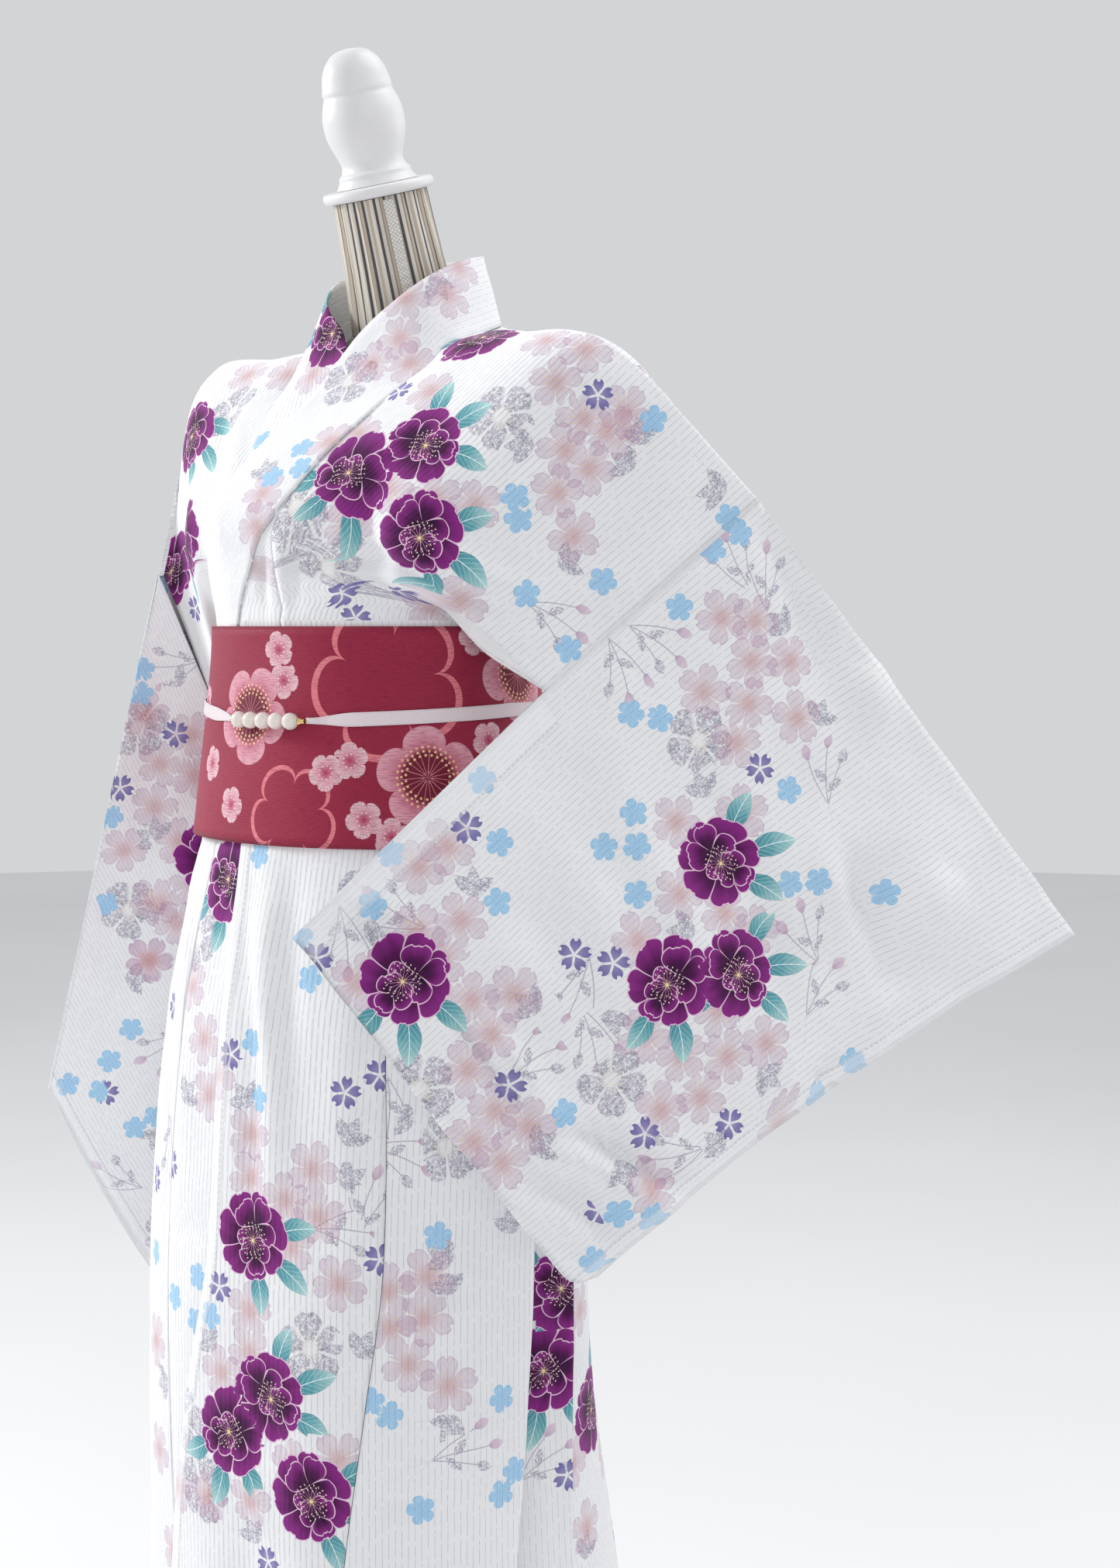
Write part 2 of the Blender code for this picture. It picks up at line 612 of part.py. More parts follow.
def body_panel(side, look, collection):
    """One width of cloth from the front hem over the shoulder to the back hem."""
    low_rows = steps(SKIRT_ROWS, HEM_Z, OBI_LOW_Z) + steps(OBI_ROWS, OBI_LOW_Z, PANEL_TOP_Z)[1:]
    columns = steps(FRONT_COLUMNS)
    gap = SEAM_GAP / 2 / FRONT_WIDTH
    armhole_gap = (LEFT_SLEEVE if side > 0 else RIGHT_SLEEVE)["gap"] / FRONT_WIDTH

    def front_low(share, height):
        start = okumi_share(height) + gap
        return lower_front(side, start + (1 - start) * share, height)

    def back_low(share, height):
        return lower_back(side, share * (1 - gap / 2), height)

    grids = [grid(front_low, columns, low_rows), grid(back_low, steps(BACK_COLUMNS), low_rows)]
    if side > 0:
        bridge = [
            [lower_front(side, 1.0, height)]
            + [pleat_point(row, height) for row in PLEAT]
            + [lower_back(side, 0.0, height)]
            for height in low_rows
        ]
    else:
        bridge = [[lower_front(side, 1.0, height), lower_back(side, 0.0, height)] for height in low_rows]
    grids.append(bridge)
    last_front = len(LEFT_FRONT) - 1
    last_back = len(LEFT_BACK) - 1

    def front_high(share, place):
        if place < 0:
            return front_low(share, PANEL_TOP_Z)
        start = okumi_share(PANEL_TOP_Z) * max(0.0, 1 - place / (last_front * OKUMI_TIP))
        start += max(gap, COLLAR_SEAM_GAP / FRONT_WIDTH * smooth(0.5, 0.7, place / last_front))
        edge = 1 - armhole_gap * smooth(-0.5, 2, place)
        return upper_front(side, start + (edge - start) * share, place)

    def back_high(share, place):
        if place < 0:
            return back_low(share, PANEL_TOP_Z)
        if place >= last_back:
            return front_high(1 - share, last_front)
        inset = armhole_gap * smooth(-0.5, 2, place)
        neck = COLLAR_SEAM_GAP / FRONT_WIDTH * smooth(5.0, 6.0, place)
        return upper_back(side, inset + (1 - max(gap / 2, neck) - inset) * share, place)

    front_rows = [-1.0] + steps(FRONT_ROWS - 1, 0.0, last_front)
    back_rows = [-1.0] + steps(BACK_ROWS - 1, 0.0, last_back)
    grids.append(grid(front_high, columns, front_rows))
    grids.append(grid(back_high, steps(BACK_COLUMNS), back_rows))
    name = "body_left" if side > 0 else "body_right"
    return sheet_object(name, grids, WALL, look, collection)


def okumi_panel(side, look, collection):
    """The narrow front panel between the body panel and the front edge, up to its tip at the collar."""
    low_rows = steps(SKIRT_ROWS, HEM_Z, OBI_LOW_Z) + steps(OBI_ROWS, OBI_LOW_Z, PANEL_TOP_Z)[1:]
    gap = SEAM_GAP / 2 / FRONT_WIDTH
    tip = (len(LEFT_FRONT) - 1) * OKUMI_TIP
    collar_gap = COLLAR_SEAM_GAP / FRONT_WIDTH

    def low(share, height):
        inner = collar_gap * smooth(OBI_LOW_Z, PANEL_TOP_Z, height)
        return lower_front(side, inner + (okumi_share(height) - gap - inner) * share, height)

    def high(share, place):
        if place < 0:
            return low(share, PANEL_TOP_Z)
        width = okumi_share(PANEL_TOP_Z) * (1 - place / tip)
        return upper_front(side, collar_gap + (width - gap - collar_gap) * share, place)

    columns = steps(OKUMI_COLUMNS)
    high_rows = [row for row in steps(FRONT_ROWS - 1, 0.0, len(LEFT_FRONT) - 1) if row < tip]
    grids = [grid(low, columns, low_rows), grid(high, columns, [-1.0] + high_rows)]
    name = "okumi_left" if side > 0 else "okumi_right"
    return sheet_object(name, grids, WALL, look, collection)


def sleeve_panel(sleeve, look, collection):
    """A sleeve: one width of cloth folded over the arm, sewn below and along the lower cuff."""
    count = 2 * SLEEVE_DOWN
    around = [0.5 * (1 - math.cos(math.pi * number / SLEEVE_DOWN)) / 2 for number in range(SLEEVE_DOWN + 1)]
    around += [1 - value for value in reversed(around[:-1])]
    gap = sleeve["gap"] / 2 / SLEEVE_WIDTH

    def point(number, out):
        return sleeve_point(sleeve, gap + (1 - gap) * out, around[number % count])

    rings = [[point(number, out) for number in range(count + 1)] for out in steps(SLEEVE_ACROSS)]
    name = "sleeve_left" if sleeve["side"] > 0 else "sleeve_right"
    return sheet_object(name, [rings], WALL, look, collection)


def collar_panel(look, collection):
    """The collar band, from its left end over the back of the neck to its right end."""
    last_front = len(LEFT_FRONT) - 1
    places = steps(6, 0.0, COLLAR_JUNCTION)
    front_rows = steps(FRONT_ROWS - 1, 0.0, last_front)[:-1]
    places += [through(LEFT_FRONT, row)[0] for row in reversed(front_rows)]
    places += steps(3, COLLAR_AT_OBI, len(COLLAR) - 1)
    gap = COLLAR_SEAM_GAP / COLLAR_WIDTH
    rows = [(1, place) for place in reversed(places)] + [(-1, place) for place in places[1:]]
    crossings = (gap, 0.33, 0.67, 1.0)
    points = [[collar_point(side, place, across) for across in crossings] for side, place in rows]
    return sheet_object("collar", [points], WALL, look, collection)


def obi_panel(look, collection):
    """The half-width belt: once round the waist, its outer end lapped over the start at the back."""
    turns = steps(56, OBI_START, OBI_END)

    def point(height, angle):
        lapped = smooth(-172, -188, angle)
        return body_point(angle, height, OBI_LIFT + OBI_END_LIFT * lapped)

    grids = [grid(point, steps(3, OBI_LOW_Z + 0.0005, OBI_TOP_Z), turns)]
    return sheet_object("obi", grids, OBI_WALL, look, collection)


def ribbon_point(angle, across):
    """A point of the narrow ribbon round the obi, at a share of its width."""
    turned = (angle + 168.0) % 360 - 168.0
    height = np.interp(turned, *zip(*RIBBON_HEIGHTS))
    lapped = OBI_END_LIFT * smooth(134, 143, angle) * (1 - smooth(191, 200, angle))
    width = RIBBON_WIDTH * (0.55 + 0.45 * smooth(0, 12, min(angle - RIBBON_START, RIBBON_END - angle)))
    return body_point(angle, height + width * across, RIBBON_LIFT + lapped)


def ribbon_panel(look, collection):
    """The ribbon, from one end cap round the back to the other."""
    turns = steps(60, RIBBON_START, RIBBON_END)
    points = [[ribbon_point(angle, across) for across in (-0.5, 0.0, 0.5)] for angle in turns]
    return sheet_object("obijime_ribbon", [points], RIBBON_WALL, look, collection)


def pearl_string(pearl_look, cap_look, collection):
    """Five pearls in a row on the front of the ribbon, with a metal cap at each end."""
    face = OBI_LIFT + OBI_WALL / 2 + PIECE_GAP
    for number, angle in enumerate(PEARL_ANGLES):
        bpy.ops.mesh.primitive_uv_sphere_add(segments=12, ring_count=8, radius=PEARL_RADIUS)
        pearl = bpy.context.object
        pearl.name = f"pearl_{number + 1}"
        pearl.data.materials.append(pearl_look)
        pearl.data.shade_smooth()
        pearl.location = body_point(angle, PEARL_Z, face + PEARL_RADIUS)
        for owner in list(pearl.users_collection):
            owner.objects.unlink(pearl)
        collection.objects.link(pearl)
    for name, angle in zip(("cap_right", "cap_left"), CAP_ANGLES):
        cap = cylinder(name, CAP_RADIUS, CAP_LENGTH, (0, 0, 0), cap_look, collection, 0.0006, 10)
        ahead = Vector(body_point(angle + 1, PEARL_Z)) - Vector(body_point(angle - 1, PEARL_Z))
        cap.location = body_point(angle, PEARL_Z, face + PEARL_RADIUS * 0.8)
        cap.rotation_euler = ahead.to_track_quat("Z", "X").to_euler()


def form_ring(height):
    """A level ring of the form's torso, inside the cloth."""
    clearance = FORM_CLEARANCE + (HIP_CLEARANCE - FORM_CLEARANCE) * smooth(OBI_LOW_Z, 0.945, height)
    clearance += 0.030 * smooth(0.860, FORM_LOW_Z, height)
    clearance += SHOULDER_CLEARANCE * smooth(1.255, 1.300, height)
    right, left, front, back = at_height(SECTIONS, height)
    ring = []
    for number in range(FORM_SIDES):
        turn = 2 * math.pi * number / FORM_SIDES
        across, along = math.sin(turn), -math.cos(turn)
        side = (left if across > 0 else right) - clearance
        depth = max((front if along < 0 else back) - clearance, 0.003)
        ring.append(np.array((side * across, depth * along, height)))
    return ring


def neck_ring(radius, along):
    """A ring round the leaning neck, along its axis from the disc."""
    middle = Vector(DISC_CENTRE)
    lean = Matrix.Rotation(NECK_LEAN, 3, "X")
    ring = []
    for number in range(FORM_SIDES):
        turn = 2 * math.pi * number / FORM_SIDES
        local = Vector((radius * math.sin(turn), -radius * math.cos(turn), along))
        ring.append(np.array(middle + lean @ local))
    return ring


def form_torso(look, collection):
    """The padded torso, from below the hips to the root of the neck."""
    heights = steps(13, FORM_LOW_Z, 1.26) + [1.275, 1.290, 1.303, 1.313, 1.321, 1.328, 1.333, FORM_HIGH_Z]
    rings = [form_ring(height) for height in heights]
    collar = neck_ring(NECK_PROFILE[-1][0], -DISC_HEIGHT / 2 - NECK_LENGTH - 2 * PIECE_GAP)
    top = np.array(rings[-1])
    for share, rise in ((0.55, 0.04), (0.85, 0.38)):
        middle = top + (np.array(collar) - top) * share
        middle[:, 2] = top[:, 2] + (np.array(collar)[:, 2] - top[:, 2]) * rise
        rings.append(list(middle))
    rings.append(collar)
    return ring_solid("form_torso", rings, look, collection)


def lean_object(made, along):
    """Places a turned piece on the neck's axis, along from the disc's centre."""
    axis = Matrix.Rotation(NECK_LEAN, 4, "X")
    made.matrix_world = Matrix.Translation(DISC_CENTRE) @ axis @ Matrix.Translation((0, 0, along))


def form_top(cloth_look, wood_look, trim_look, collection):
    """The leaning neck with its braid, the disc on it and the turned finial."""
    half = DISC_HEIGHT / 2
    low = -half - PIECE_GAP
    neck_profile = [(radius, height + low) for radius, height in reversed(NECK_PROFILE)]
    neck = turned_object("form_neck", neck_profile, cloth_look, collection)
    lean_object(neck, 0.0)
    rim = 0.0022
    disc_profile = [(DISC_RADIUS - rim, -half), (DISC_RADIUS, -half + rim)]
    disc_profile += [(DISC_RADIUS, half - rim), (DISC_RADIUS - rim, half)]
    disc = turned_object("form_disc", disc_profile, wood_look, collection)
    lean_object(disc, 0.0)
    finial = turned_object("form_finial", FINIAL_PROFILE, wood_look, collection)
    lean_object(finial, half + PIECE_GAP)
    braid = []
    for along in steps(10, low - 0.002, low - NECK_LENGTH * 0.86):
        radius = np.interp(-along, [-z - low for r, z in NECK_PROFILE], [r for r, z in NECK_PROFILE])
        reach = BRAID_WIDTH / 2 / radius
        middle = math.radians(BRAID_ANGLE + 40)
        row = []
        for share in (-1, -0.33, 0.33, 1):
            turn = middle + reach * share
            out = radius + BRAID_THICKNESS / 2 + 0.0004
            row.append((out * math.sin(turn), -out * math.cos(turn), along))
        braid.append(row)
    lean = Matrix.Rotation(NECK_LEAN, 4, "X")
    placed = [[Matrix.Translation(DISC_CENTRE) @ lean @ Vector(point) for point in row] for row in braid]
    sheet_object("form_braid", [placed], BRAID_THICKNESS, trim_look, collection)


def form_stand(wood_look, metal_look, collection):
    """The round base, its hub and the pole up to the torso."""
    cylinder("stand_base", BASE_RADIUS, BASE_HEIGHT, (0, 0, 0), wood_look, collection, 0.006, 40)
    hub_z = BASE_HEIGHT + PIECE_GAP
    cylinder("stand_hub", HUB_RADIUS, HUB_HEIGHT, (0, 0, hub_z), wood_look, collection, 0.005, 24)
    pole_z = hub_z + HUB_HEIGHT + PIECE_GAP
    pole_height = FORM_LOW_Z - PIECE_GAP - pole_z
    cylinder("stand_pole", POLE_RADIUS, pole_height, (0, 0, pole_z), metal_look, collection, 0.0, 24)


def build():
    for old in list(bpy.data.objects):
        bpy.data.objects.remove(old, do_unlink=True)
    collection = bpy.data.collections.new("yukata_on_dress_form")
    bpy.context.scene.collection.children.link(collection)
    cotton = material("printed_cotton", (0.86, 0.85, 0.88), 0.9)
    crimson = material("obi_crimson", (0.45, 0.04, 0.10), 0.8)
    ribbon = material("ribbon_white", (0.85, 0.78, 0.80), 0.5)
    pearl = material("pearl", (0.85, 0.80, 0.72), 0.2)
    gold = material("gold_cap", (0.83, 0.62, 0.28), 0.3, 1.0)
    linen = material("form_linen", (0.52, 0.47, 0.40), 0.9)
    white = material("white_wood", (0.85, 0.85, 0.85), 0.45)
    braid = material("braid", (0.80, 0.78, 0.75), 0.8)
    steel = material("white_metal", (0.80, 0.80, 0.80), 0.4, 0.2)
    for side in (1, -1):
        body_panel(side, cotton, collection)
        okumi_panel(side, cotton, collection)
    sleeve_panel(LEFT_SLEEVE, cotton, collection)
    sleeve_panel(RIGHT_SLEEVE, cotton, collection)
    collar_panel(cotton, collection)
    obi_panel(crimson, collection)
    ribbon_panel(ribbon, collection)
    pearl_string(pearl, gold, collection)
    form_torso(linen, collection)
    form_top(linen, white, braid, collection)
    form_stand(white, steel, collection)


build()
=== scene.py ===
"""The looks of a floral cotton yukata on a limbless dress form.

Each cloth solid of the frame is replaced by a thin shell made from the same sizes on a finer grid, with
its creases as soft troughs and ridges. The print is laid out in flat cloth coordinates, in metres: every
face keeps its place inside the motifs near it, and the shader draws each kind of motif by formula.
Metres, +Z up, the garment faces -Y and +X is the wearer's left.
"""

import json
import math

import bpy
import numpy as np
from mathutils import Matrix, Vector, noise
from mathutils.bvhtree import BVHTree
from mathutils.kdtree import KDTree

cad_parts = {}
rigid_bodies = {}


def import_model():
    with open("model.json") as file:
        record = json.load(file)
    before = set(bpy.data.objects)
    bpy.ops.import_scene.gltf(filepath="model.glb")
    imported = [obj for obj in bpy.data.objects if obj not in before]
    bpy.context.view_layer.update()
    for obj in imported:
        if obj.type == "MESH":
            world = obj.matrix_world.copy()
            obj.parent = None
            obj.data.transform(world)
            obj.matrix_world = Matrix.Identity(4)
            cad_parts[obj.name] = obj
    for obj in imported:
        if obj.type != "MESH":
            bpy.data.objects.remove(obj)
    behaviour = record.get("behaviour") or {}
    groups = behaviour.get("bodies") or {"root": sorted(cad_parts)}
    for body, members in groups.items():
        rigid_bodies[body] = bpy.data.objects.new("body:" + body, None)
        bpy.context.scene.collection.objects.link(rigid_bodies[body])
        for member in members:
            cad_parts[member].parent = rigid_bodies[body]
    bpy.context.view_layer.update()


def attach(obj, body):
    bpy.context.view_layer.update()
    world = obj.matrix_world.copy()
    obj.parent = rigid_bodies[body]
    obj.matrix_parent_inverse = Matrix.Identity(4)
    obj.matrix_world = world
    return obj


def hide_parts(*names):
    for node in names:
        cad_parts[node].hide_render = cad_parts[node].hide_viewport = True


for old in list(bpy.data.objects):
    bpy.data.objects.remove(old, do_unlink=True)
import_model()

# Camera, worked out from the photograph: its height, distance, turn round the object, step to the
# side, and the height in the frame of its horizon
PHOTO_WIDTH, PHOTO_HEIGHT = 1445, 2023
CAMERA_TURN = math.radians(40)
CAMERA_DISTANCE = 1.60
CAMERA_HEIGHT = 1.15
CAMERA_STEP = 0.136
FOCAL_PIXELS = 2839
HORIZON_PIXEL = 808
CAMERA_RIGHT = np.array((math.cos(CAMERA_TURN), math.sin(CAMERA_TURN), 0.0))
TOWARD_CAMERA = np.array((math.sin(CAMERA_TURN), -math.cos(CAMERA_TURN), 0.0))
CAMERA_PLACE = CAMERA_RIGHT * CAMERA_STEP + TOWARD_CAMERA * CAMERA_DISTANCE + (0.0, 0.0, CAMERA_HEIGHT)
SENSOR = 36.0

# Cloth
WALL = 0.0015
OBI_WALL = 0.0020
SEAM_GAP = 0.0004
PIECE_GAP = 0.0003
FRONT_WIDTH = 0.25
SLEEVE_WIDTH = 0.36
LAYER = 0.0045
LEFT_WRAP_FROM, LEFT_WRAP_TO = 100, 165

# Heights
HEM_Z = 0.08
OBI_LOW_Z = 1.000
OBI_TOP_Z = 1.150
PANEL_TOP_Z = 1.154
COLLAR_END_Z = 1.100

# The body line of the under layer. Each row is a level section: height, right and left half-width,
# front and back depth.
SECTIONS = (
    (0.080, 0.172, 0.176, 0.128, 0.160),
    (0.300, 0.176, 0.172, 0.135, 0.148),
    (0.465, 0.179, 0.168, 0.139, 0.138),
    (0.600, 0.179, 0.166, 0.142, 0.125),
    (0.700, 0.179, 0.166, 0.142, 0.119),
    (0.800, 0.173, 0.165, 0.138, 0.121),
    (0.885, 0.163, 0.159, 0.131, 0.120),
    (0.945, 0.150, 0.148, 0.121, 0.114),
    (0.985, 0.139, 0.137, 0.113, 0.110),
    (1.010, 0.134, 0.132, 0.108, 0.108),
    (1.075, 0.127, 0.126, 0.102, 0.104),
    (1.150, 0.120, 0.120, 0.098, 0.101),
    (1.190, 0.125, 0.125, 0.107, 0.101),
    (1.225, 0.130, 0.130, 0.113, 0.102),
    (1.250, 0.138, 0.138, 0.099, 0.103),
    (1.270, 0.150, 0.150, 0.084, 0.103),
    (1.290, 0.166, 0.166, 0.064, 0.101),
    (1.310, 0.180, 0.180, 0.045, 0.096),
    (1.326, 0.178, 0.178, 0.031, 0.090),
    (1.338, 0.150, 0.150, 0.020, 0.087),
    (1.346, 0.112, 0.112, 0.012, 0.085),
)

# The upper layer's front edge and the under layer's hidden one: height, angle.
LEFT_EDGE = (
    (0.080, -33.0),
    (0.300, -28.0),
    (0.465, -21.0),
    (0.540, -17.5),
    (0.640, -10.5),
    (0.720, -4.5),
    (0.850, -4.0),
    (1.000, -6.0),
    (1.154, -15.7),
)
RIGHT_EDGE_ANGLE = 46.0
RIGHT_EDGE_TOP_ANGLE = 15.8

# Where the front ends at the side and the back begins: height, angle, angle.
SIDES = (
    (0.080, 64.0, 88.0),
    (0.465, 74.0, 95.0),
    (0.700, 82.0, 99.0),
    (0.900, 82.0, 99.0),
    (1.154, 82.0, 99.0),
)
OKUMI_SHARE_LOW = 0.545
OKUMI_SHARE_TOP = 0.22
OKUMI_TIP = 0.60

# Soft flutes of the skirt: angle, half-width in degrees, height where it starts, outward reach at
# the hem.
FLUTES = (
    (8.0, 9.0, 0.98, -0.0075),
    (24.0, 10.0, 0.92, 0.0055),
    (-40.0, 11.0, 0.90, 0.0035),
    (-70.0, 12.0, 0.86, -0.0060),
    (-92.0, 13.0, 0.80, 0.0080),
    (-118.0, 15.0, 0.84, -0.0090),
    (-142.0, 14.0, 0.80, 0.0160),
    (-166.0, 12.0, 0.84, -0.0060),
    (126.0, 22.0, 0.70, 0.0340),
    (160.0, 14.0, 0.80, -0.0080),
)

# The pleat at the wearer's left side, from its outer edge to the back panel: angle where it is
# closed and angle where it is open, both past the side angle, and outward reach where it is open.
PLEAT = (
    (0.9, 1.3, -0.0012),
    (1.8, 0.0, -0.0036),
    (2.8, -11.0, -0.0058),
    (3.8, -12.4, -0.0080),
    (4.8, -11.0, -0.0102),
    (6.5, 5.0, -0.0140),
    (11.0, 11.0, -0.0065),
)
PLEAT_RIDGE = 0.004
PLEAT_DEEP_FROM, PLEAT_DEEP_TO = 0.985, 0.925
PLEAT_TURN_FROM, PLEAT_TURN_TO = 0.905, 0.780

# The wearer's left half of the collar from the centre back to its end under the obi. Each row is a
# crossing of the band: the sewn edge's x, y, z and the free edge's x, y, z.
COLLAR = (
    (0.000, 0.0950, 1.378, 0.000, 0.0880, 1.426),
    (0.030, 0.0920, 1.378, 0.027, 0.0840, 1.426),
    (0.055, 0.0760, 1.373, 0.045, 0.0660, 1.422),
    (0.065, 0.0400, 1.362, 0.0530, 0.0340, 1.414),
    (0.070, 0.0020, 1.349, 0.0500, 0.0060, 1.400),
    (0.070, -0.0180, 1.332, 0.0360, -0.0130, 1.382),
    (0.061, -0.0390, 1.311, 0.0100, -0.0230, 1.359),
    (0.047, -0.0680, 1.284, -0.0120, -0.0450, 1.318),
    (0.034, -0.0930, 1.256, -0.0270, -0.0700, 1.291),
    (0.020, -0.1130, 1.227, -0.0350, -0.0900, 1.270),
    (0.005, -0.1180, 1.211, -0.0480, -0.1030, 1.248),
    (-0.011, -0.1120, 1.188, -0.0600, -0.1080, 1.225),
    (-0.034, -0.0990, 1.154, -0.0770, -0.0830, 1.172),
    (-0.045, -0.0950, 1.100, -0.0770, -0.0800, 1.112),
)
COLLAR_AT_OBI = 12
CHEST_FREE_Z, CHEST_SET_Z = 1.335, 1.290
CHEST_SET_X, CHEST_FREE_X = 0.078, 0.108

# Front ply of the bodice, from the obi's top edge to the shoulder fold. Each row is a line across
# the ply: the collar row that it starts from, a point on the chest and one before the armhole.
LEFT_FRONT = (
    (11.75, 0.038, -0.0970, 1.161, 0.093, -0.0690, 1.163),
    (11.30, 0.048, -0.1010, 1.178, 0.111, -0.0700, 1.172),
    (10.70, 0.058, -0.1060, 1.198, 0.129, -0.0780, 1.178),
    (9.70, 0.069, -0.1060, 1.226, 0.145, -0.0720, 1.200),
    (8.40, 0.090, -0.0760, 1.262, 0.167, -0.0480, 1.240),
    (6.60, 0.104, -0.0420, 1.310, 0.187, -0.0260, 1.291),
    (4.40, 0.116, -0.0080, 1.345, 0.203, -0.0060, 1.326),
    (3.00, 0.124, 0.0220, 1.3560, 0.2110, 0.0120, 1.3385),
)
RIGHT_FRONT = (
    (11.75, -0.038, -0.0930, 1.161, -0.093, -0.0650, 1.163),
    (11.30, -0.047, -0.0970, 1.178, -0.108, -0.0640, 1.172),
    (10.70, -0.056, -0.1020, 1.198, -0.121, -0.0680, 1.184),
    (9.70, -0.067, -0.1020, 1.226, -0.134, -0.0660, 1.206),
    (8.40, -0.088, -0.0720, 1.262, -0.154, -0.0480, 1.246),
    (6.60, -0.103, -0.0380, 1.310, -0.175, -0.0320, 1.292),
    (4.40, -0.115, -0.0060, 1.345, -0.188, -0.0120, 1.325),
    (3.00, -0.123, 0.0220, 1.3560, -0.1900, 0.0020, 1.3385),
)

# Back ply of the bodice the same way: the ply's inner end, a point on the shoulder blade and one
# before the armhole.
LEFT_BACK = (
    (0.000, 0.1020, 1.168, 0.060, 0.0960, 1.168, 0.112, 0.0520, 1.164),
    (0.000, 0.1050, 1.200, 0.062, 0.0990, 1.200, 0.126, 0.0560, 1.178),
    (0.000, 0.1070, 1.235, 0.066, 0.1020, 1.232, 0.142, 0.0640, 1.198),
    (0.000, 0.1080, 1.275, 0.070, 0.1040, 1.270, 0.160, 0.0740, 1.232),
    (0.000, 0.1060, 1.315, 0.078, 0.1020, 1.305, 0.178, 0.0780, 1.268),
    (0.000, 0.1010, 1.350, 0.090, 0.0930, 1.332, 0.194, 0.0700, 1.298),
    (0.000, 0.0955, 1.3755, 0.103, 0.0760, 1.3480, 0.205, 0.0520, 1.3200),
    (0.030, 0.0925, 1.3755, 0.112, 0.0570, 1.3540, 0.2100, 0.0350, 1.3320),
    (0.055, 0.0765, 1.3705, 0.119, 0.0390, 1.3570, 0.2120, 0.0220, 1.3370),
    (0.065, 0.0400, 1.3595, 0.124, 0.0220, 1.3560, 0.2110, 0.0120, 1.3385),
)
RIGHT_BACK = (
    (0.000, 0.1020, 1.168, -0.060, 0.0960, 1.168, -0.112, 0.0520, 1.160),
    (0.000, 0.1050, 1.200, -0.062, 0.0990, 1.200, -0.124, 0.0600, 1.170),
    (0.000, 0.1070, 1.235, -0.066, 0.1020, 1.232, -0.136, 0.0680, 1.190),
    (0.000, 0.1080, 1.275, -0.070, 0.1040, 1.270, -0.150, 0.0720, 1.225),
    (0.000, 0.1060, 1.315, -0.078, 0.1010, 1.305, -0.165, 0.0690, 1.265),
    (0.000, 0.1010, 1.350, -0.090, 0.0920, 1.332, -0.178, 0.0600, 1.298),
    (0.000, 0.0955, 1.3755, -0.103, 0.0760, 1.3480, -0.186, 0.0440, 1.3200),
    (-0.030, 0.0925, 1.3755, -0.112, 0.0570, 1.3540, -0.1890, 0.0280, 1.3320),
    (-0.055, 0.0765, 1.3705, -0.119, 0.0390, 1.3570, -0.1900, 0.0140, 1.3370),
    (-0.065, 0.0400, 1.3595, -0.123, 0.0220, 1.3560, -0.1900, 0.0020, 1.3385),
)
FRONT_ARMHOLE = (-0.86, -0.42, 0.0, 0.25, 0.5, 0.76, 0.93, 1.0)
BACK_ARMHOLE = (-0.8, -0.35, 0.0, 0.2, 0.42, 0.62, 0.8, 0.9, 0.965, 1.0)

# A sleeve's corners and the underarm, where the armhole seam ends: name, x, y, z. The open slit below
# the underarm rises from the side seam by the first of its triples and passes through the second.
LEFT_SLEEVE = {
    "shoulder": (0.2730, 0.0980, 1.2350),
    "underarm": (0.1880, -0.0280, 1.1070),
    "inner": (0.1022, -0.1753, 0.9518),
    "outer": (0.2357, -0.0503, 0.7230),
    "cuff": (0.4010, 0.3080, 0.9290),
    "back": (-0.643, 0.766, 0.0),
    "slit": ((0.0080, 0.0, 0.0040), (0.142, -0.044, 1.138)),
    "sag": 0.013,
    "gap": 0.0005,
    "side": 1,
}
RIGHT_SLEEVE = {
    "shoulder": (-0.2130, -0.0220, 1.1900),
    "underarm": (-0.1700, 0.0400, 1.0100),
    "inner": (-0.1900, 0.1150, 0.7900),
    "outer": (-0.2560, 0.1780, 0.4650),
    "cuff": (-0.2880, -0.0700, 0.7860),
    "back": (-0.950, 0.290, 0.0),
    "slit": ((-0.0120, 0.0, 0.0030), (-0.146, 0.004, 1.101)),
    "sag": -0.030,
    "gap": 0.0012,
    "side": -1,
}
ARMHOLE_SHARE = 0.49
SLEEVE_DEPTH = 0.024
ARMHOLE_DEPTH = 0.024
SLIT_DEPTH = 0.030
CUFF_DEPTH = 0.018
SEWN_CUFF_DEPTH = 0.0055
FOLD_DEPTH = 0.0040
SLEEVE_BELLY = 0.012

# Obi and its cord
OBI_START, OBI_END = 172.0, -214.0
OBI_LIFT = LAYER + WALL / 2 + OBI_WALL / 2 + 0.0008
OBI_END_LIFT = 0.0032
RIBBON_WIDTH = 0.0095
RIBBON_WALL = 0.0010
RIBBON_LIFT = OBI_LIFT + OBI_WALL / 2 + RIBBON_WALL / 2 + PIECE_GAP
RIBBON_HEIGHTS = (
    (-168.0, 1.0930),
    (-60.0, 1.0940),
    (-14.0, 1.0860),
    (22.0, 1.0860),
    (90.0, 1.0925),
    (192.0, 1.0930),
)
RIBBON_START, RIBBON_END = 21.6, 345.8
PEARL_RADIUS = 0.0059
PEARL_ANGLES = (-6.6, -1.5, 3.6, 8.7, 13.8)
PEARL_Z = 1.0855
CAP_ANGLES = (-10.22, 17.42)
CAP_RADIUS, CAP_LENGTH = 0.0026, 0.0052

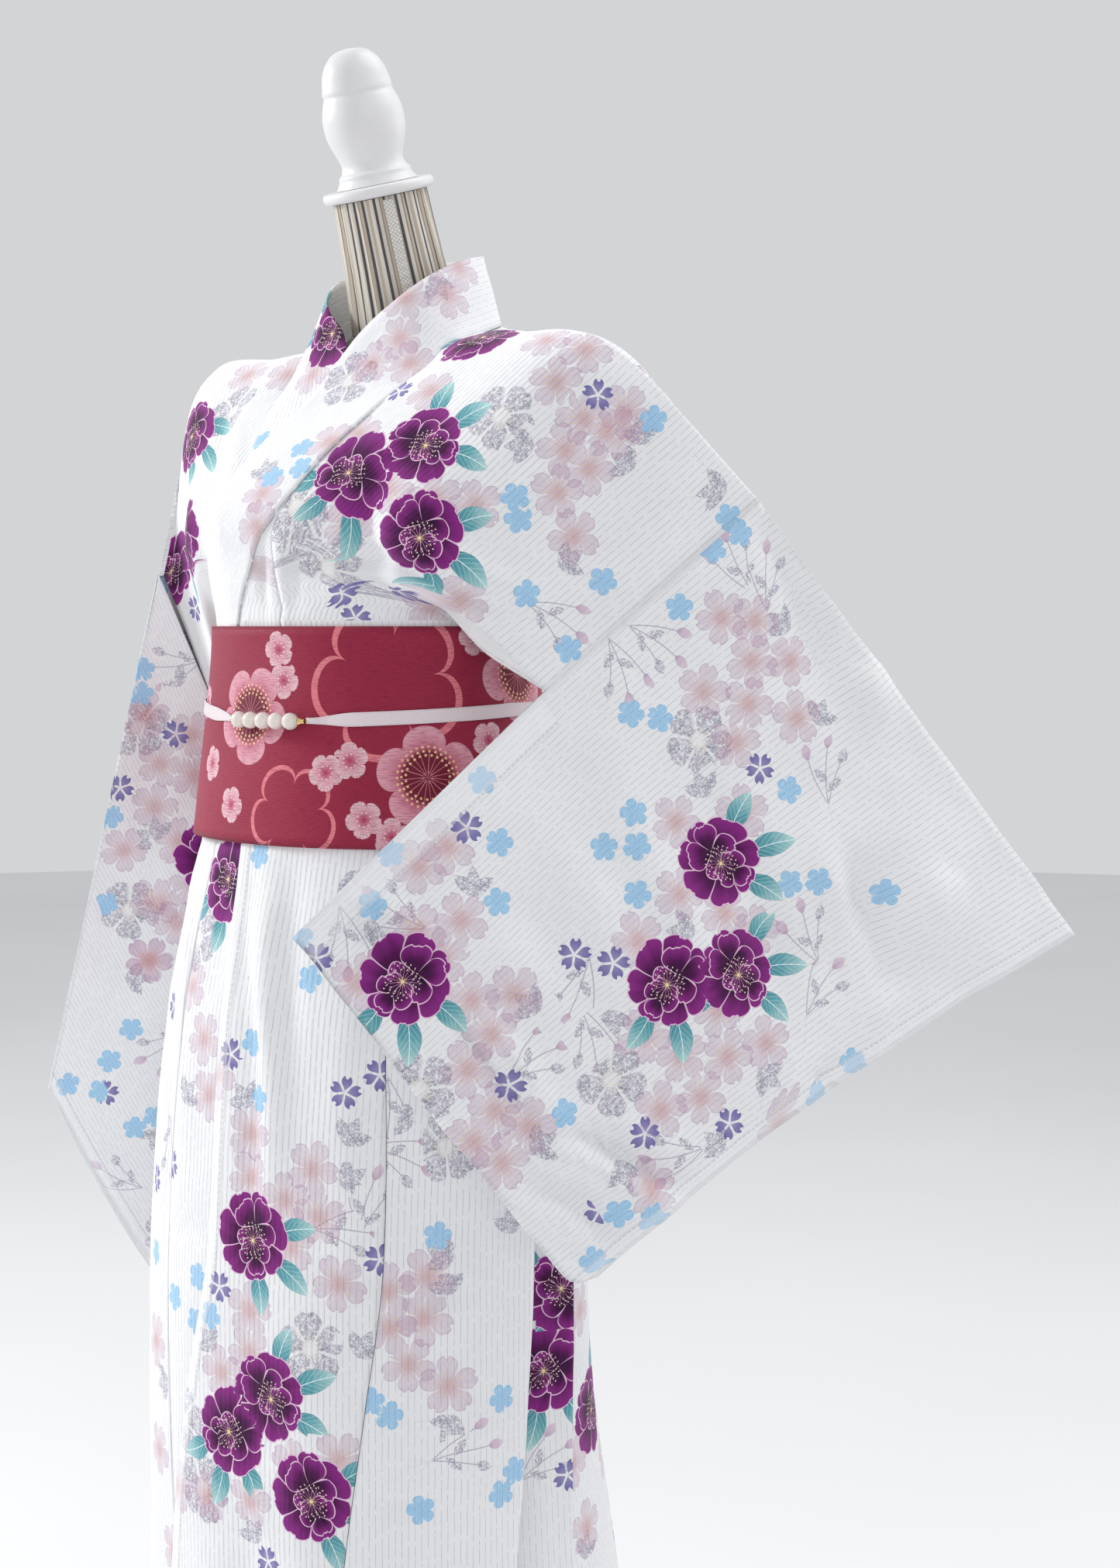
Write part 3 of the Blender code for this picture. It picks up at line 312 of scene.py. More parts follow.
# Dress form
FORM_CLEARANCE = 0.0055
SHOULDER_CLEARANCE = 0.0090
HIP_CLEARANCE = 0.020
FORM_LOW_Z = 0.800
FORM_HIGH_Z = 1.336
NECK_LEAN = math.radians(17.5)
DISC_CENTRE = (0.0, 0.0056, 1.4680)
DISC_RADIUS = 0.0410
DISC_HEIGHT = 0.0085
NECK_LENGTH = 0.095
NECK_PROFILE = (
    (0.0346, 0.000),
    (0.0352, -0.020),
    (0.0368, -0.050),
    (0.0388, -0.075),
    (0.0410, -0.095),
)
FINIAL_PROFILE = (
    (0.0300, 0.0000),
    (0.0268, 0.0050),
    (0.0262, 0.0085),
    (0.0238, 0.0110),
    (0.0226, 0.0165),
    (0.0250, 0.0240),
    (0.0284, 0.0340),
    (0.0296, 0.0430),
    (0.0292, 0.0520),
    (0.0268, 0.0610),
    (0.0252, 0.0650),
    (0.0256, 0.0680),
    (0.0250, 0.0720),
    (0.0226, 0.0820),
    (0.0180, 0.0900),
    (0.0110, 0.0955),
    (0.0, 0.0975),
)
BRAID_ANGLE = 12.0
BRAID_WIDTH, BRAID_THICKNESS = 0.0075, 0.0014
BASE_RADIUS = 0.180
BASE_HEIGHT = 0.024
HUB_RADIUS, HUB_HEIGHT = 0.030, 0.034
POLE_RADIUS = 0.0140


def smooth(low, high, value):
    """0 at low, 1 at high, and an even slope between them."""
    share = min(max((value - low) / (high - low), 0.0), 1.0)
    return share * share * (3 - 2 * share)


def through(rows, place):
    """The values at a place, counted in rows, on a smooth curve through the rows."""
    rows = np.asarray(rows, float)
    first = min(max(int(math.floor(place)), 0), len(rows) - 2)
    part = place - first
    start, end = rows[first], rows[first + 1]
    before = rows[first - 1] if first > 0 else 2 * start - end
    after = rows[first + 2] if first + 2 < len(rows) else 2 * end - start
    return 0.5 * (
        2 * start
        + (end - before) * part
        + (2 * before - 5 * start + 4 * end - after) * part**2
        + (3 * start - before - 3 * end + after) * part**3
    )


def at_height(table, height):
    """The values of a table whose first column is a height."""
    heights = [row[0] for row in table]
    place = np.interp(height, heights, range(len(table)))
    return through([row[1:] for row in table], place)


def flute_reach(angle, height):
    """How far the skirt's flutes stand out at a place."""
    reach = 0.0
    for middle, half_width, start, depth in FLUTES:
        away = (angle - middle + 180) % 360 - 180
        bell = math.exp(-((away / half_width) ** 2))
        reach += depth * bell * smooth(start, HEM_Z + 0.15, height)
    return reach


def body_point(angle, height, lift=0.0):
    """A point round the body at an angle and height, moved out of the under layer's line by lift."""
    right, left, front, back = at_height(SECTIONS, height)
    turn = math.radians(angle)
    side = left if math.sin(turn) > 0 else right
    depth = front if math.cos(turn) > 0 else back
    across, along = math.sin(turn), -math.cos(turn)
    outward = np.array((across / side, along / depth, 0.0))
    outward /= np.linalg.norm(outward)
    reach = lift + flute_reach(angle, height)
    return np.array((side * across, depth * along, height)) + outward * reach


def left_lift(angle):
    """The upper layer's lift: it comes down to the under layer's line at the centre back."""
    return LAYER * (1 - smooth(LEFT_WRAP_FROM, LEFT_WRAP_TO, angle))


def front_edge(side, height):
    """The angle of a front edge of the skirt, and of the collar seam behind the obi."""
    if side > 0:
        return at_height(LEFT_EDGE, height)[0]
    drawn_in = (RIGHT_EDGE_ANGLE - RIGHT_EDGE_TOP_ANGLE) * smooth(OBI_LOW_Z, COLLAR_END_Z, height)
    return drawn_in - RIGHT_EDGE_ANGLE


def lower_front(side, share, height):
    """The front of a body panel and okumi below the obi's top, share 0 at the front edge."""
    edge = front_edge(side, height)
    angle = edge + share * (at_height(SIDES, height)[0] - edge)
    if side > 0:
        return body_point(angle, height, left_lift(angle))
    return body_point(-angle, height)


def lower_back(side, share, height):
    """The back of a body panel below the obi's top, share 0 at the side and 1 at the centre back."""
    front_end, back_start = at_height(SIDES, height)
    start = back_start if side > 0 else front_end + 5
    angle = start + share * (180 - start)
    if side < 0:
        return body_point(-angle, height)
    ridge = PLEAT_RIDGE * smooth(PLEAT_DEEP_FROM, PLEAT_DEEP_TO, height) * (1 - share)
    return body_point(angle, height, left_lift(angle) + ridge)


def pleat_point(row, height):
    """A point of the left side pleat at a height."""
    closed, opened, reach = row
    side_angle = at_height(SIDES, height)[0]
    deep = smooth(PLEAT_DEEP_FROM, PLEAT_DEEP_TO, height)
    turned = smooth(PLEAT_TURN_FROM, PLEAT_TURN_TO, height)
    angle = side_angle + closed + (opened - closed) * turned
    return body_point(angle, height, left_lift(side_angle) + reach * deep)


def okumi_share(height):
    """Where the okumi seam lies across the front, from 0 at the edge to 1 at the side."""
    return OKUMI_SHARE_LOW + (OKUMI_SHARE_TOP - OKUMI_SHARE_LOW) * smooth(OBI_LOW_Z, PANEL_TOP_Z, height)


def collar_point(side, place, across):
    """A point of the collar: place counts the rows from the centre back, across is 0 at the seam."""
    row = through(COLLAR, place)
    point = row[:3] + (row[3:] - row[:3]) * across
    point[0] *= side
    return lay_on_chest(point, side)


def lay_on_chest(point, side):
    """Sets a point of a front ply on the chest, under layer for the right side, upper for the left."""
    x, y, z = point
    lift = LAYER if side > 0 else 0.0
    right, left, front, _ = at_height(SECTIONS, min(z, CHEST_FREE_Z))
    width = left if x > 0 else right
    bulge = math.sqrt(max(1 - (x / width) ** 2, 0.05))
    chest = -front * bulge - lift
    under = (LAYER - lift) * smooth(0.02, -0.02, y)
    set_down = smooth(CHEST_FREE_Z, CHEST_SET_Z, z) * smooth(CHEST_FREE_X, CHEST_SET_X, abs(x))
    return np.array((x, (y + under) * (1 - set_down) + chest * set_down, z))


def armhole(sleeve, place, behind):
    """A point of the armhole: 0 at the underarm, 1 at the shoulder, -1 at the side seam's top."""
    underarm = np.array(sleeve["underarm"])
    shoulder = np.array(sleeve["shoulder"])
    back = np.array(sleeve["back"])
    if place >= 0:
        point = underarm + (shoulder - underarm) * place
        depth = armhole_depth((1 - place) * ARMHOLE_SHARE)
        return point + back * depth * behind
    side = sleeve["side"]
    top = lower_back(side, 0.0, PANEL_TOP_Z) if behind else lower_front(side, 1.0, PANEL_TOP_Z)
    rise, middle = sleeve["slit"]
    middle = np.array(middle) + (0.0, SLIT_DEPTH * behind, 0.0)
    near = underarm + back * armhole_depth(ARMHOLE_SHARE) * behind
    return through((top, top + np.array(rise), middle, near), 3 * (1 + place))


def armhole_depth(down):
    """The distance between the sleeve's plies at the armhole end, by the share of its height."""
    return FOLD_DEPTH + (ARMHOLE_DEPTH - FOLD_DEPTH) * math.sin(math.pi * down) ** 0.6


def upper_front(side, share, place):
    """The front ply of the bodice: share 0 at the collar and 1 at the armhole, place counts rows."""
    rows = LEFT_FRONT if side > 0 else RIGHT_FRONT
    sleeve = LEFT_SLEEVE if side > 0 else RIGHT_SLEEVE
    values = through(rows, place)
    start = collar_point(side, values[0], 0.0)
    end = armhole(sleeve, np.interp(place, range(len(FRONT_ARMHOLE)), FRONT_ARMHOLE), 0)
    line = (start, values[1:4], values[4:7], end)
    return lay_on_chest(through(line, 3 * share), side) if share > 0 else start


def upper_back(side, share, place):
    """The back ply of the bodice: share 0 at the armhole and 1 at the centre back or collar."""
    rows = LEFT_BACK if side > 0 else RIGHT_BACK
    sleeve = LEFT_SLEEVE if side > 0 else RIGHT_SLEEVE
    values = through(rows, place)
    end = armhole(sleeve, np.interp(place, range(len(BACK_ARMHOLE)), BACK_ARMHOLE), 1)
    last = len(rows) - 1
    if place > last - 1:
        fold = armhole(sleeve, 1.0, 0)
        end = end + (fold - armhole(sleeve, 1.0, 1)) * (place - last + 1)
    line = (values[:3], values[3:6], values[6:9], end)
    point = through(line, 3 * (1 - share))
    point[0] = side * max(side * point[0], SEAM_GAP / 2)
    return point


def sleeve_point(sleeve, out, around):
    """A point of a sleeve: out 0 at the armhole and 1 at the cuff, around 0 at the top fold, 0.5 at
    the bottom seam and 1 at the top fold again, by way of the back ply."""
    down = 2 * around if around <= 0.5 else 2 * (1 - around)
    behind = 0.0 if around <= 0.5 else 1.0
    corner = {name: np.array(sleeve[name]) for name in ("shoulder", "underarm", "inner", "outer", "cuff")}
    back = np.array(sleeve["back"])
    if down <= ARMHOLE_SHARE:
        near = corner["shoulder"] + (corner["underarm"] - corner["shoulder"]) * down / ARMHOLE_SHARE
    else:
        below = (down - ARMHOLE_SHARE) / (1 - ARMHOLE_SHARE)
        near = corner["underarm"] + (corner["inner"] - corner["underarm"]) * below
    inward = corner["shoulder"] - corner["cuff"]
    inward /= np.linalg.norm(inward)
    far = corner["cuff"] + (corner["outer"] - corner["cuff"]) * down
    far = far + inward * sleeve["sag"] * math.sin(math.pi * down)
    belly = SLEEVE_BELLY * math.sin(math.pi * out) * math.sin(math.pi * down)
    point = near + (far - near) * out - back * belly
    rounded = math.sin(math.pi * down) ** 0.6
    open_cuff = CUFF_DEPTH * rounded
    sewn = smooth(ARMHOLE_SHARE - 0.12, ARMHOLE_SHARE + 0.06, down)
    cuff_depth = open_cuff + (SEWN_CUFF_DEPTH - open_cuff) * sewn
    middle_depth = SLEEVE_DEPTH * rounded
    depth = armhole_depth(down) + (middle_depth - armhole_depth(down)) * smooth(0.0, 0.4, out)
    depth = depth + (cuff_depth - depth) * smooth(0.5, 1.0, out)
    return point + back * max(depth, FOLD_DEPTH) * behind


PATH_POINTS = 24
TURNED_STEP = 0.0035

# The dress form, its stand and the pearls. Steps are turned profiles: inset and share of the height,
# inset and rise, or shares of radius and half length.
FORM_SIDES = 96
CHEST_TOP_Z, SHOULDER_Z = 1.26, 1.264
CHEST_RINGS, SHOULDER_RINGS, TURN_RINGS = 60, 24, 14
BASE_SHARES = (0.0, 0.3, 0.6, 0.85, 0.96)
TORSO_MIDDLE = (0.0, 0.0, 1.1)
TORSO_UNEVEN, TORSO_SHELL = (0.0003, 0.0001), 0.0006
LINEN_INSET = 0.0004
NECK_GATHERS = 0.0006
DISC_RIM = 0.0030
BASE_STEPS = (
    (0.004, 0.0),
    (0.0, 0.004 / BASE_HEIGHT),
    (0.0, 0.45),
    (0.002, 0.55),
    (0.010, 0.72),
    (0.012, 0.88),
    (0.016, 1.0),
)
HUB_STEPS = (
    (0.0, 0.0),
    (0.0, 0.006),
    (0.004, 0.010),
    (0.009, 0.018),
    (0.010, 0.026),
    (0.008, 0.030),
    (0.010, HUB_HEIGHT),
)
POLE_RING, POLE_STEP = 0.40, 0.0012
PEARL_HOLE_TURN = 0.16
CAP_STEPS = (
    (0.0, -1.0), (0.62, -1.0), (0.70, -0.7), (0.55, -0.3), (0.80, 0.1), (1.0, 0.7), (0.92, 1.0), (0.0, 0.9),
)
THREAD_PROFILE = [(0.0, -0.0022), (0.0005, -0.0020), (0.0005, 0.0020), (0.0, 0.0022)]
THREAD_TURN = 1.35
SHARP_EDGE = 50
EDGE_CALM = 0.014
COLLAR_SHELL = 0.0012
ROUNDED_OUT = 0.050
ROUNDED_DOWN = 0.036
UNEVEN = (0.0014, 0.0006)
SLEEVE_UNEVEN = (0.0046, 0.0013)

# Each robe piece: its node, the size that it was cut to in what shows, and what it rests on
ROBE_PIECES = {
    "robe_body_left": ("body_left", 0.25, 2.45, ["form_torso"]),
    "robe_body_right": ("body_right", 0.25, 2.45, ["form_torso"]),
    "robe_okumi_left": ("okumi_left", 0.155, 1.25, ["form_torso"]),
    "robe_okumi_right": ("okumi_right", 0.155, 1.25, ["form_torso"]),
    "robe_sleeve_left": ("sleeve_left", 0.36, 0.94, ["robe_body_left"]),
    "robe_sleeve_right": ("sleeve_right", 0.26, 0.90, ["robe_body_right"]),
    "robe_collar": ("collar", 0.055, 1.20, ["robe_body_left", "robe_body_right"]),
}

# Where the photograph shows each motif: the pixel of its middle and, where it matters, the way that its
# leaves or stems point, in degrees from the right
PHOTO_PRINTS = {
    "purple": (
        (433, 432, 120), (620, 438, 60), (545, 575, 25), (455, 610, 215), (541, 690, -40), (240, 690, 200),
        (225, 735, 200), (248, 560, -60), (295, 1135, 215), (523, 1262, -95), (928, 1112, 10),
        (860, 1265, -85), (948, 1255, 0), (325, 1595, -55), (345, 1803, 5), (299, 1845, 250),
        (398, 1933, -35), (705, 1765, 250), (728, 1665, 180),
    ),
    "sky": (
        (390, 579), (337, 570), (352, 617), (389, 604), (664, 642), (668, 670), (679, 766), (777, 750),
        (844, 541), (876, 784),
        (939, 668), (954, 688), (919, 709), (734, 837), (813, 921), (850, 927), (622, 1007), (644, 1087),
        (816, 1049), (780, 1093), (820, 1092), (1019, 1019), (1018, 1140), (1052, 1137), (821, 1154),
        (642, 1164), (1147, 1152), (727, 1436), (1098, 1370), (1053, 1415), (798, 1565), (838, 1571),
        (764, 1627), (565, 1595), (202, 1615), (254, 1647), (226, 1673), (251, 1705), (272, 1697),
        (478, 1808), (502, 1827), (646, 1803), (543, 1948), (646, 1927), (663, 1897), (335, 1103),
        (480, 1168), (386, 1212), (400, 1263), (503, 1100), (335, 1418), (323, 1345), (184, 864),
        (182, 895), (144, 1053), (137, 1168), (142, 1370), (88, 1400), (130, 1408), (174, 1455), (200, 1440),
    ),
    "indigo": (
        (771, 510), (442, 764), (518, 760), (459, 797), (981, 991), (602, 1068), (742, 1232), (788, 1242),
        (657, 1400), (830, 1462), (942, 1450), (490, 1387), (490, 1625), (408, 1237), (447, 1409),
        (298, 1360), (222, 1297), (224, 1501), (203, 1520), (284, 1660), (732, 1903), (155, 1016),
        (253, 785), (345, 2015), (367, 458), (516, 505),
    ),
    "pale": (
        (728, 582), (760, 604), (741, 692), (560, 643), (450, 676), (427, 571), (594, 775), (970, 853),
        (908, 892), (1028, 926), (930, 796), (959, 1048), (934, 1177), (576, 1092), (537, 1203), (462, 1268),
        (662, 1282), (603, 1379), (680, 1453), (647, 1500), (820, 1213), (830, 1335), (938, 1363),
        (852, 1432), (838, 1532), (403, 1508), (412, 1570), (438, 1655), (552, 1648), (548, 1702),
        (578, 1787), (322, 1462), (437, 1883), (322, 1745), (203, 1728), (230, 1915), (757, 1970),
        (198, 1163), (193, 1238), (265, 1340), (270, 1412), (188, 923), (200, 1041), (207, 1163), (322, 1690),
        (576, 381), (590, 345), (480, 470), (756, 450), (371, 484), (405, 484), (333, 681), (807, 531),
        (530, 470),
    ),
    "pale_over": (
        (752, 541), (795, 559), (718, 635), (503, 632), (613, 652), (461, 559), (556, 783), (974, 801),
        (1020, 852), (965, 908), (949, 958), (872, 1060), (873, 1153), (540, 1118), (594, 1187), (570, 1235),
        (608, 1290), (632, 1333), (638, 1432), (610, 1472), (978, 1203), (923, 1303), (878, 1362),
        (988, 1345), (905, 1415), (1005, 1448), (368, 1548), (375, 1608), (500, 1665), (503, 1713),
        (527, 1762), (322, 1520), (376, 1893), (325, 1935), (285, 1770), (207, 1868), (223, 2000),
        (268, 1930), (228, 1190), (250, 1272), (280, 1385), (247, 947), (207, 986), (160, 1097), (192, 1238),
        (715, 1730), (525, 386), (516, 437), (555, 505), (705, 437), (320, 484), (384, 454), (435, 578),
        (341, 638), (328, 732), (717, 492), (782, 557),
    ),
    "speckled": (
        (647, 537), (901, 955), (423, 733), (789, 1393), (540, 1405), (575, 1480), (400, 1740), (237, 1830),
        (262, 1920), (257, 1210), (178, 939), (168, 1175), (300, 530), (452, 492), (382, 655),
    ),
    "leaves": (
        (682, 575, 90), (728, 727, -60), (815, 601, 60), (931, 628, 100), (831, 567, 20), (911, 1022, 30),
        (1016, 808, 60), (1056, 929, -30), (690, 1300, 60), (787, 1310, 200), (885, 1200, 90),
        (983, 1385, 240), (690, 1480, -60), (800, 1505, 200), (930, 1480, 60), (660, 1585, 20),
        (447, 1524, -60), (450, 1470, -30), (525, 1450, 60), (317, 1423, 45), (243, 1415, -70),
        (275, 1735, 60), (465, 1745, -30), (581, 1665, 30), (578, 1625, 60), (585, 1832, 150),
        (330, 1985, 30), (215, 1780, 100), (755, 2005, 0), (230, 880, 30), (203, 1077, 10), (168, 1262, -90),
        (559, 364, 30), (445, 690, 200), (200, 1085, 60), (455, 1130, 200), (478, 1195, 250),
        (610, 1150, 0), (340, 615, 200),
    ),
    "sprig": (
        (951, 727, 30), (990, 745, 0), (847, 830, 240), (800, 865, 200), (1068, 995, 0), (1046, 1205, 30),
        (1065, 1275, -40), (745, 1278, 160), (690, 1368, -60), (762, 1342, 200), (500, 1435, 180),
        (475, 1552, -15), (515, 1495, 250), (600, 1872, -80), (447, 1588, -90), (705, 1885, -60),
        (225, 858, 100), (445, 1215, 190), (510, 1175, 60), (870, 1490, 100), (718, 800, -120),
        (210, 1350, 130), (215, 1480, 200),
    ),
    "plum_outline": ((499, 880, 90),),
    "plum": ((667, 868, 90), (552, 1003, 60), (324, 922, 90)),
    "plum_small": ((376, 1052, 90),),
    "crinkled": (
        (360, 838, 0), (366, 878, 30), (613, 822, 0), (630, 955, 30), (452, 982, 60), (421, 997, 20),
        (276, 985, 0), (300, 1038, 40), (470, 1058, 10), (505, 1080, 50), (270, 905, 20),
    ),
    "arc": ((412, 792, 180),),
}

# The cloth that the photograph doesn't show, in boxes of each piece's flat cloth in metres: low u, low
# v, high u, high v; and the repeat that is printed there, by shares of its width and height
HIDDEN_CLOTH = {
    "robe_body_left": ((0.46, 0.10, 0.92, 1.15), (-0.32, 3.00, -0.02, 3.40)),
    "robe_body_right": ((-0.95, 0.10, -0.24, 1.15), (0.02, 3.00, 0.32, 3.40)),
    "robe_okumi_left": (),
    "robe_okumi_right": ((-0.20, 0.10, -0.02, 0.60), (0.0, 0.10, 0.20, 1.15)),
    "robe_sleeve_left": ((0.02, 0.03, 0.36, 0.47),),
    "robe_sleeve_right": ((-0.36, 0.20, -0.02, 0.47), (-0.36, -0.47, -0.02, -0.05)),
    "robe_collar": ((0.0, 0.72, 0.06, 1.25),),
    "robe_obi": ((-0.62, 1.00, -0.12, 1.15), (0.24, 1.00, 0.60, 1.15)),
}
REPEAT = (0.36, 0.42)
REPEAT_PRINTS = (
    ("purple", 0.20, 0.20, 20), ("purple", 0.40, 0.34, 140), ("purple", 0.78, 0.72, 250),
    ("pale", 0.36, 0.18, 10), ("pale_over", 0.47, 0.24, 40), ("pale", 0.55, 0.34, 55),
    ("pale_over", 0.16, 0.38, 20), ("pale", 0.28, 0.46, 64), ("pale_over", 0.62, 0.66, 12),
    ("pale", 0.92, 0.62, 33), ("pale_over", 0.95, 0.78, 8), ("pale", 0.70, 0.86, 47),
    ("speckled", 0.10, 0.62, 30), ("speckled", 0.66, 0.12, 50), ("sprig", 0.86, 0.22, 60),
    ("sprig", 0.40, 0.62, 110), ("sprig", 0.05, 0.84, -20), ("leaves", 0.74, 0.40, 10),
    ("leaves", 0.22, 0.74, 80), ("leaves", 0.52, 0.90, -60), ("sky", 0.90, 0.42, 0),
    ("sky", 0.95, 0.47, 30), ("sky", 0.30, 0.90, 10), ("sky", 0.50, 0.50, 44), ("sky", 0.04, 0.30, 20),
    ("indigo", 0.60, 0.48, 12), ("indigo", 0.14, 0.94, 40), ("indigo", 0.84, 0.94, 0),
    ("pale", 0.10, 0.14, 25), ("pale_over", 0.28, 0.10, 50), ("pale", 0.48, 0.42, 5),
    ("pale_over", 0.34, 0.40, 66), ("pale", 0.86, 0.66, 14), ("pale_over", 0.72, 0.60, 38),
    ("pale", 0.68, 0.78, 60), ("pale_over", 0.84, 0.84, 22), ("speckled", 0.32, 0.56, 15),
    ("sky", 0.12, 0.50, 10), ("sky", 0.78, 0.54, 50), ("sky", 0.60, 0.06, 20), ("leaves", 0.94, 0.10, 30),
)
OBI_MOTIFS = ("plum", "plum_small", "plum_outline", "crinkled", "arc")
OBI_REPEAT_PRINTS = (
    ("plum", 0.25, 0.22, 90), ("plum", 0.80, 0.08, 60), ("plum_outline", 0.52, 0.18, 90),
    ("crinkled", 0.08, 0.10, 10), ("crinkled", 0.40, 0.07, 50), ("crinkled", 0.95, 0.26, 30),
    ("crinkled", 0.66, 0.30, 20), ("arc", 0.04, 0.24, 80),
)

# The creases that the photograph shows: how far each stands out in metres, its half width and the
# pixels that it runs through; then those of the back, by x and z
PHOTO_CREASES = (
    (-0.0075, 0.010, ((468, 715), (508, 730), (560, 746), (623, 773), (698, 796))),
    (0.0078, 0.012, ((500, 700), (560, 722), (628, 750), (690, 776))),
    (0.0052, 0.008, ((470, 735), (530, 757), (590, 778), (650, 800))),
    (-0.0035, 0.008, ((646, 809), (660, 832), (679, 863))),
    (0.0040, 0.007, ((360, 700), (357, 740), (358, 792))),
    (-0.0030, 0.006, ((344, 700), (340, 745), (343, 792))),
    (-0.0030, 0.006, ((378, 705), (376, 750), (376, 795))),
    (-0.0035, 0.014, ((610, 590), (600, 660), (575, 730))),
    (0.0042, 0.018, ((690, 520), (690, 620), (655, 725))),
    (-0.0064, 0.016, ((830, 540), (805, 640), (745, 720), (700, 785))),
    (0.0068, 0.016, ((890, 590), (850, 690), (780, 780))),
    (0.0040, 0.012, ((760, 470), (745, 540), (705, 610), (670, 690))),
    (-0.0035, 0.012, ((730, 470), (710, 540), (665, 620))),
    (-0.0090, 0.012, ((970, 655), (1028, 757), (1060, 840), (1070, 900))),
    (0.0097, 0.016, ((1000, 650), (1070, 770), (1115, 850), (1130, 930))),
    (-0.0105, 0.020, ((1190, 930), (1150, 1060), (1110, 1180), (1065, 1290))),
    (0.0112, 0.022, ((1255, 1010), (1225, 1120), (1180, 1230))),
    (-0.0090, 0.010, ((1085, 1100), (1125, 1170), (1140, 1230), (1150, 1290))),
    (0.0060, 0.012, ((1050, 1090), (1090, 1180), (1095, 1260))),
    (-0.0063, 0.0045, ((573, 1298), (612, 1345), (655, 1395), (705, 1470))),
    (0.0075, 0.010, ((590, 1290), (635, 1345), (685, 1400), (735, 1475))),
    (-0.0090, 0.008, ((455, 1182), (480, 1195), (505, 1212), (530, 1245))),
    (0.0083, 0.009, ((440, 1165), (500, 1180), (560, 1215))),
    (-0.0097, 0.010, ((700, 1455), (760, 1465), (830, 1510), (880, 1528))),
    (0.0105, 0.011, ((690, 1490), (755, 1498), (820, 1540), (860, 1560))),
    (-0.0083, 0.009, ((670, 1515), (730, 1535), (790, 1590))),
    (0.0067, 0.009, ((690, 1560), (735, 1580), (770, 1625))),
    (0.0060, 0.010, ((640, 1400), (700, 1440), (790, 1455), (870, 1490))),
    (-0.0067, 0.016, ((900, 1000), (960, 1120), (1000, 1230), (1010, 1330))),
    (0.0072, 0.018, ((790, 1000), (840, 1110), (890, 1220), (905, 1330))),
    (-0.0063, 0.014, ((620, 1120), (700, 1200), (760, 1290), (790, 1380))),
    (0.0060, 0.016, ((700, 1080), (770, 1170), (830, 1280))),
    (-0.0060, 0.007, ((900, 1560), (925, 1535), (950, 1500))),
    (0.0060, 0.007, ((960, 1500), (985, 1470), (1010, 1455))),
    (-0.0060, 0.007, ((1030, 1440), (1050, 1400), (1075, 1380))),
    (0.0053, 0.009, ((1120, 1355), (1135, 1310), (1160, 1270))),
    (-0.0042, 0.008, ((318, 1100), (312, 1200), (322, 1320), (325, 1480), (318, 1600))),
    (0.0060, 0.010, ((348, 1110), (343, 1250), (350, 1400), (348, 1560))),
    (-0.0036, 0.010, ((380, 1110), (370, 1260), (370, 1420))),
    (0.0036, 0.018, ((470, 1130), (450, 1330), (460, 1560), (455, 1800))),
    (-0.0030, 0.015, ((540, 1500), (530, 1680), (520, 1900))),
    (0.0040, 0.015, ((620, 1620), (610, 1780), (600, 1980))),
    (-0.0030, 0.0045, ((350, 1658), (450, 1666), (560, 1674), (683, 1678))),
    (0.0024, 0.005, ((350, 1668), (450, 1677), (560, 1685), (683, 1689))),
    (-0.0022, 0.006, ((330, 1930), (450, 1936), (560, 1942), (660, 1948))),
    (-0.0036, 0.008, ((290, 1100), (283, 1200), (276, 1290))),
    (0.0045, 0.010, ((255, 1110), (245, 1240), (238, 1400), (235, 1560))),
    (-0.0034, 0.010, ((225, 1260), (218, 1400), (215, 1560), (218, 1720))),
    (-0.0030, 0.005, ((198, 1567), (240, 1583), (276, 1600))),
    (-0.0038, 0.009, ((340, 1830), (360, 1860), (400, 1900))),
    (0.0042, 0.010, ((300, 1880), (330, 1930), (350, 1990))),
    (-0.0050, 0.012, ((215, 800), (200, 950), (180, 1100), (160, 1260))),
    (0.0052, 0.014, ((240, 850), (228, 1000), (205, 1150), (180, 1330))),
    (-0.0048, 0.011, ((150, 1080), (130, 1230), (115, 1380))),
    (0.0042, 0.010, ((330, 500), (310, 560), (296, 640), (290, 720))),
    (-0.0036, 0.009, ((300, 510), (280, 590), (270, 680), (275, 770))),
    (-0.0024, 0.016, ((440, 640), (410, 700), (395, 780))),
    (0.0026, 0.016, ((480, 640), (450, 700), (440, 790))),
    (-0.0011, 0.0022, ((485, 546), (439, 589), (380, 640), (319, 692))),
    (-0.0008, 0.030, ((300, 850), (420, 870), (560, 865), (690, 850))),
    (0.0008, 0.025, ((280, 1010), (400, 1030), (500, 1035))),
)
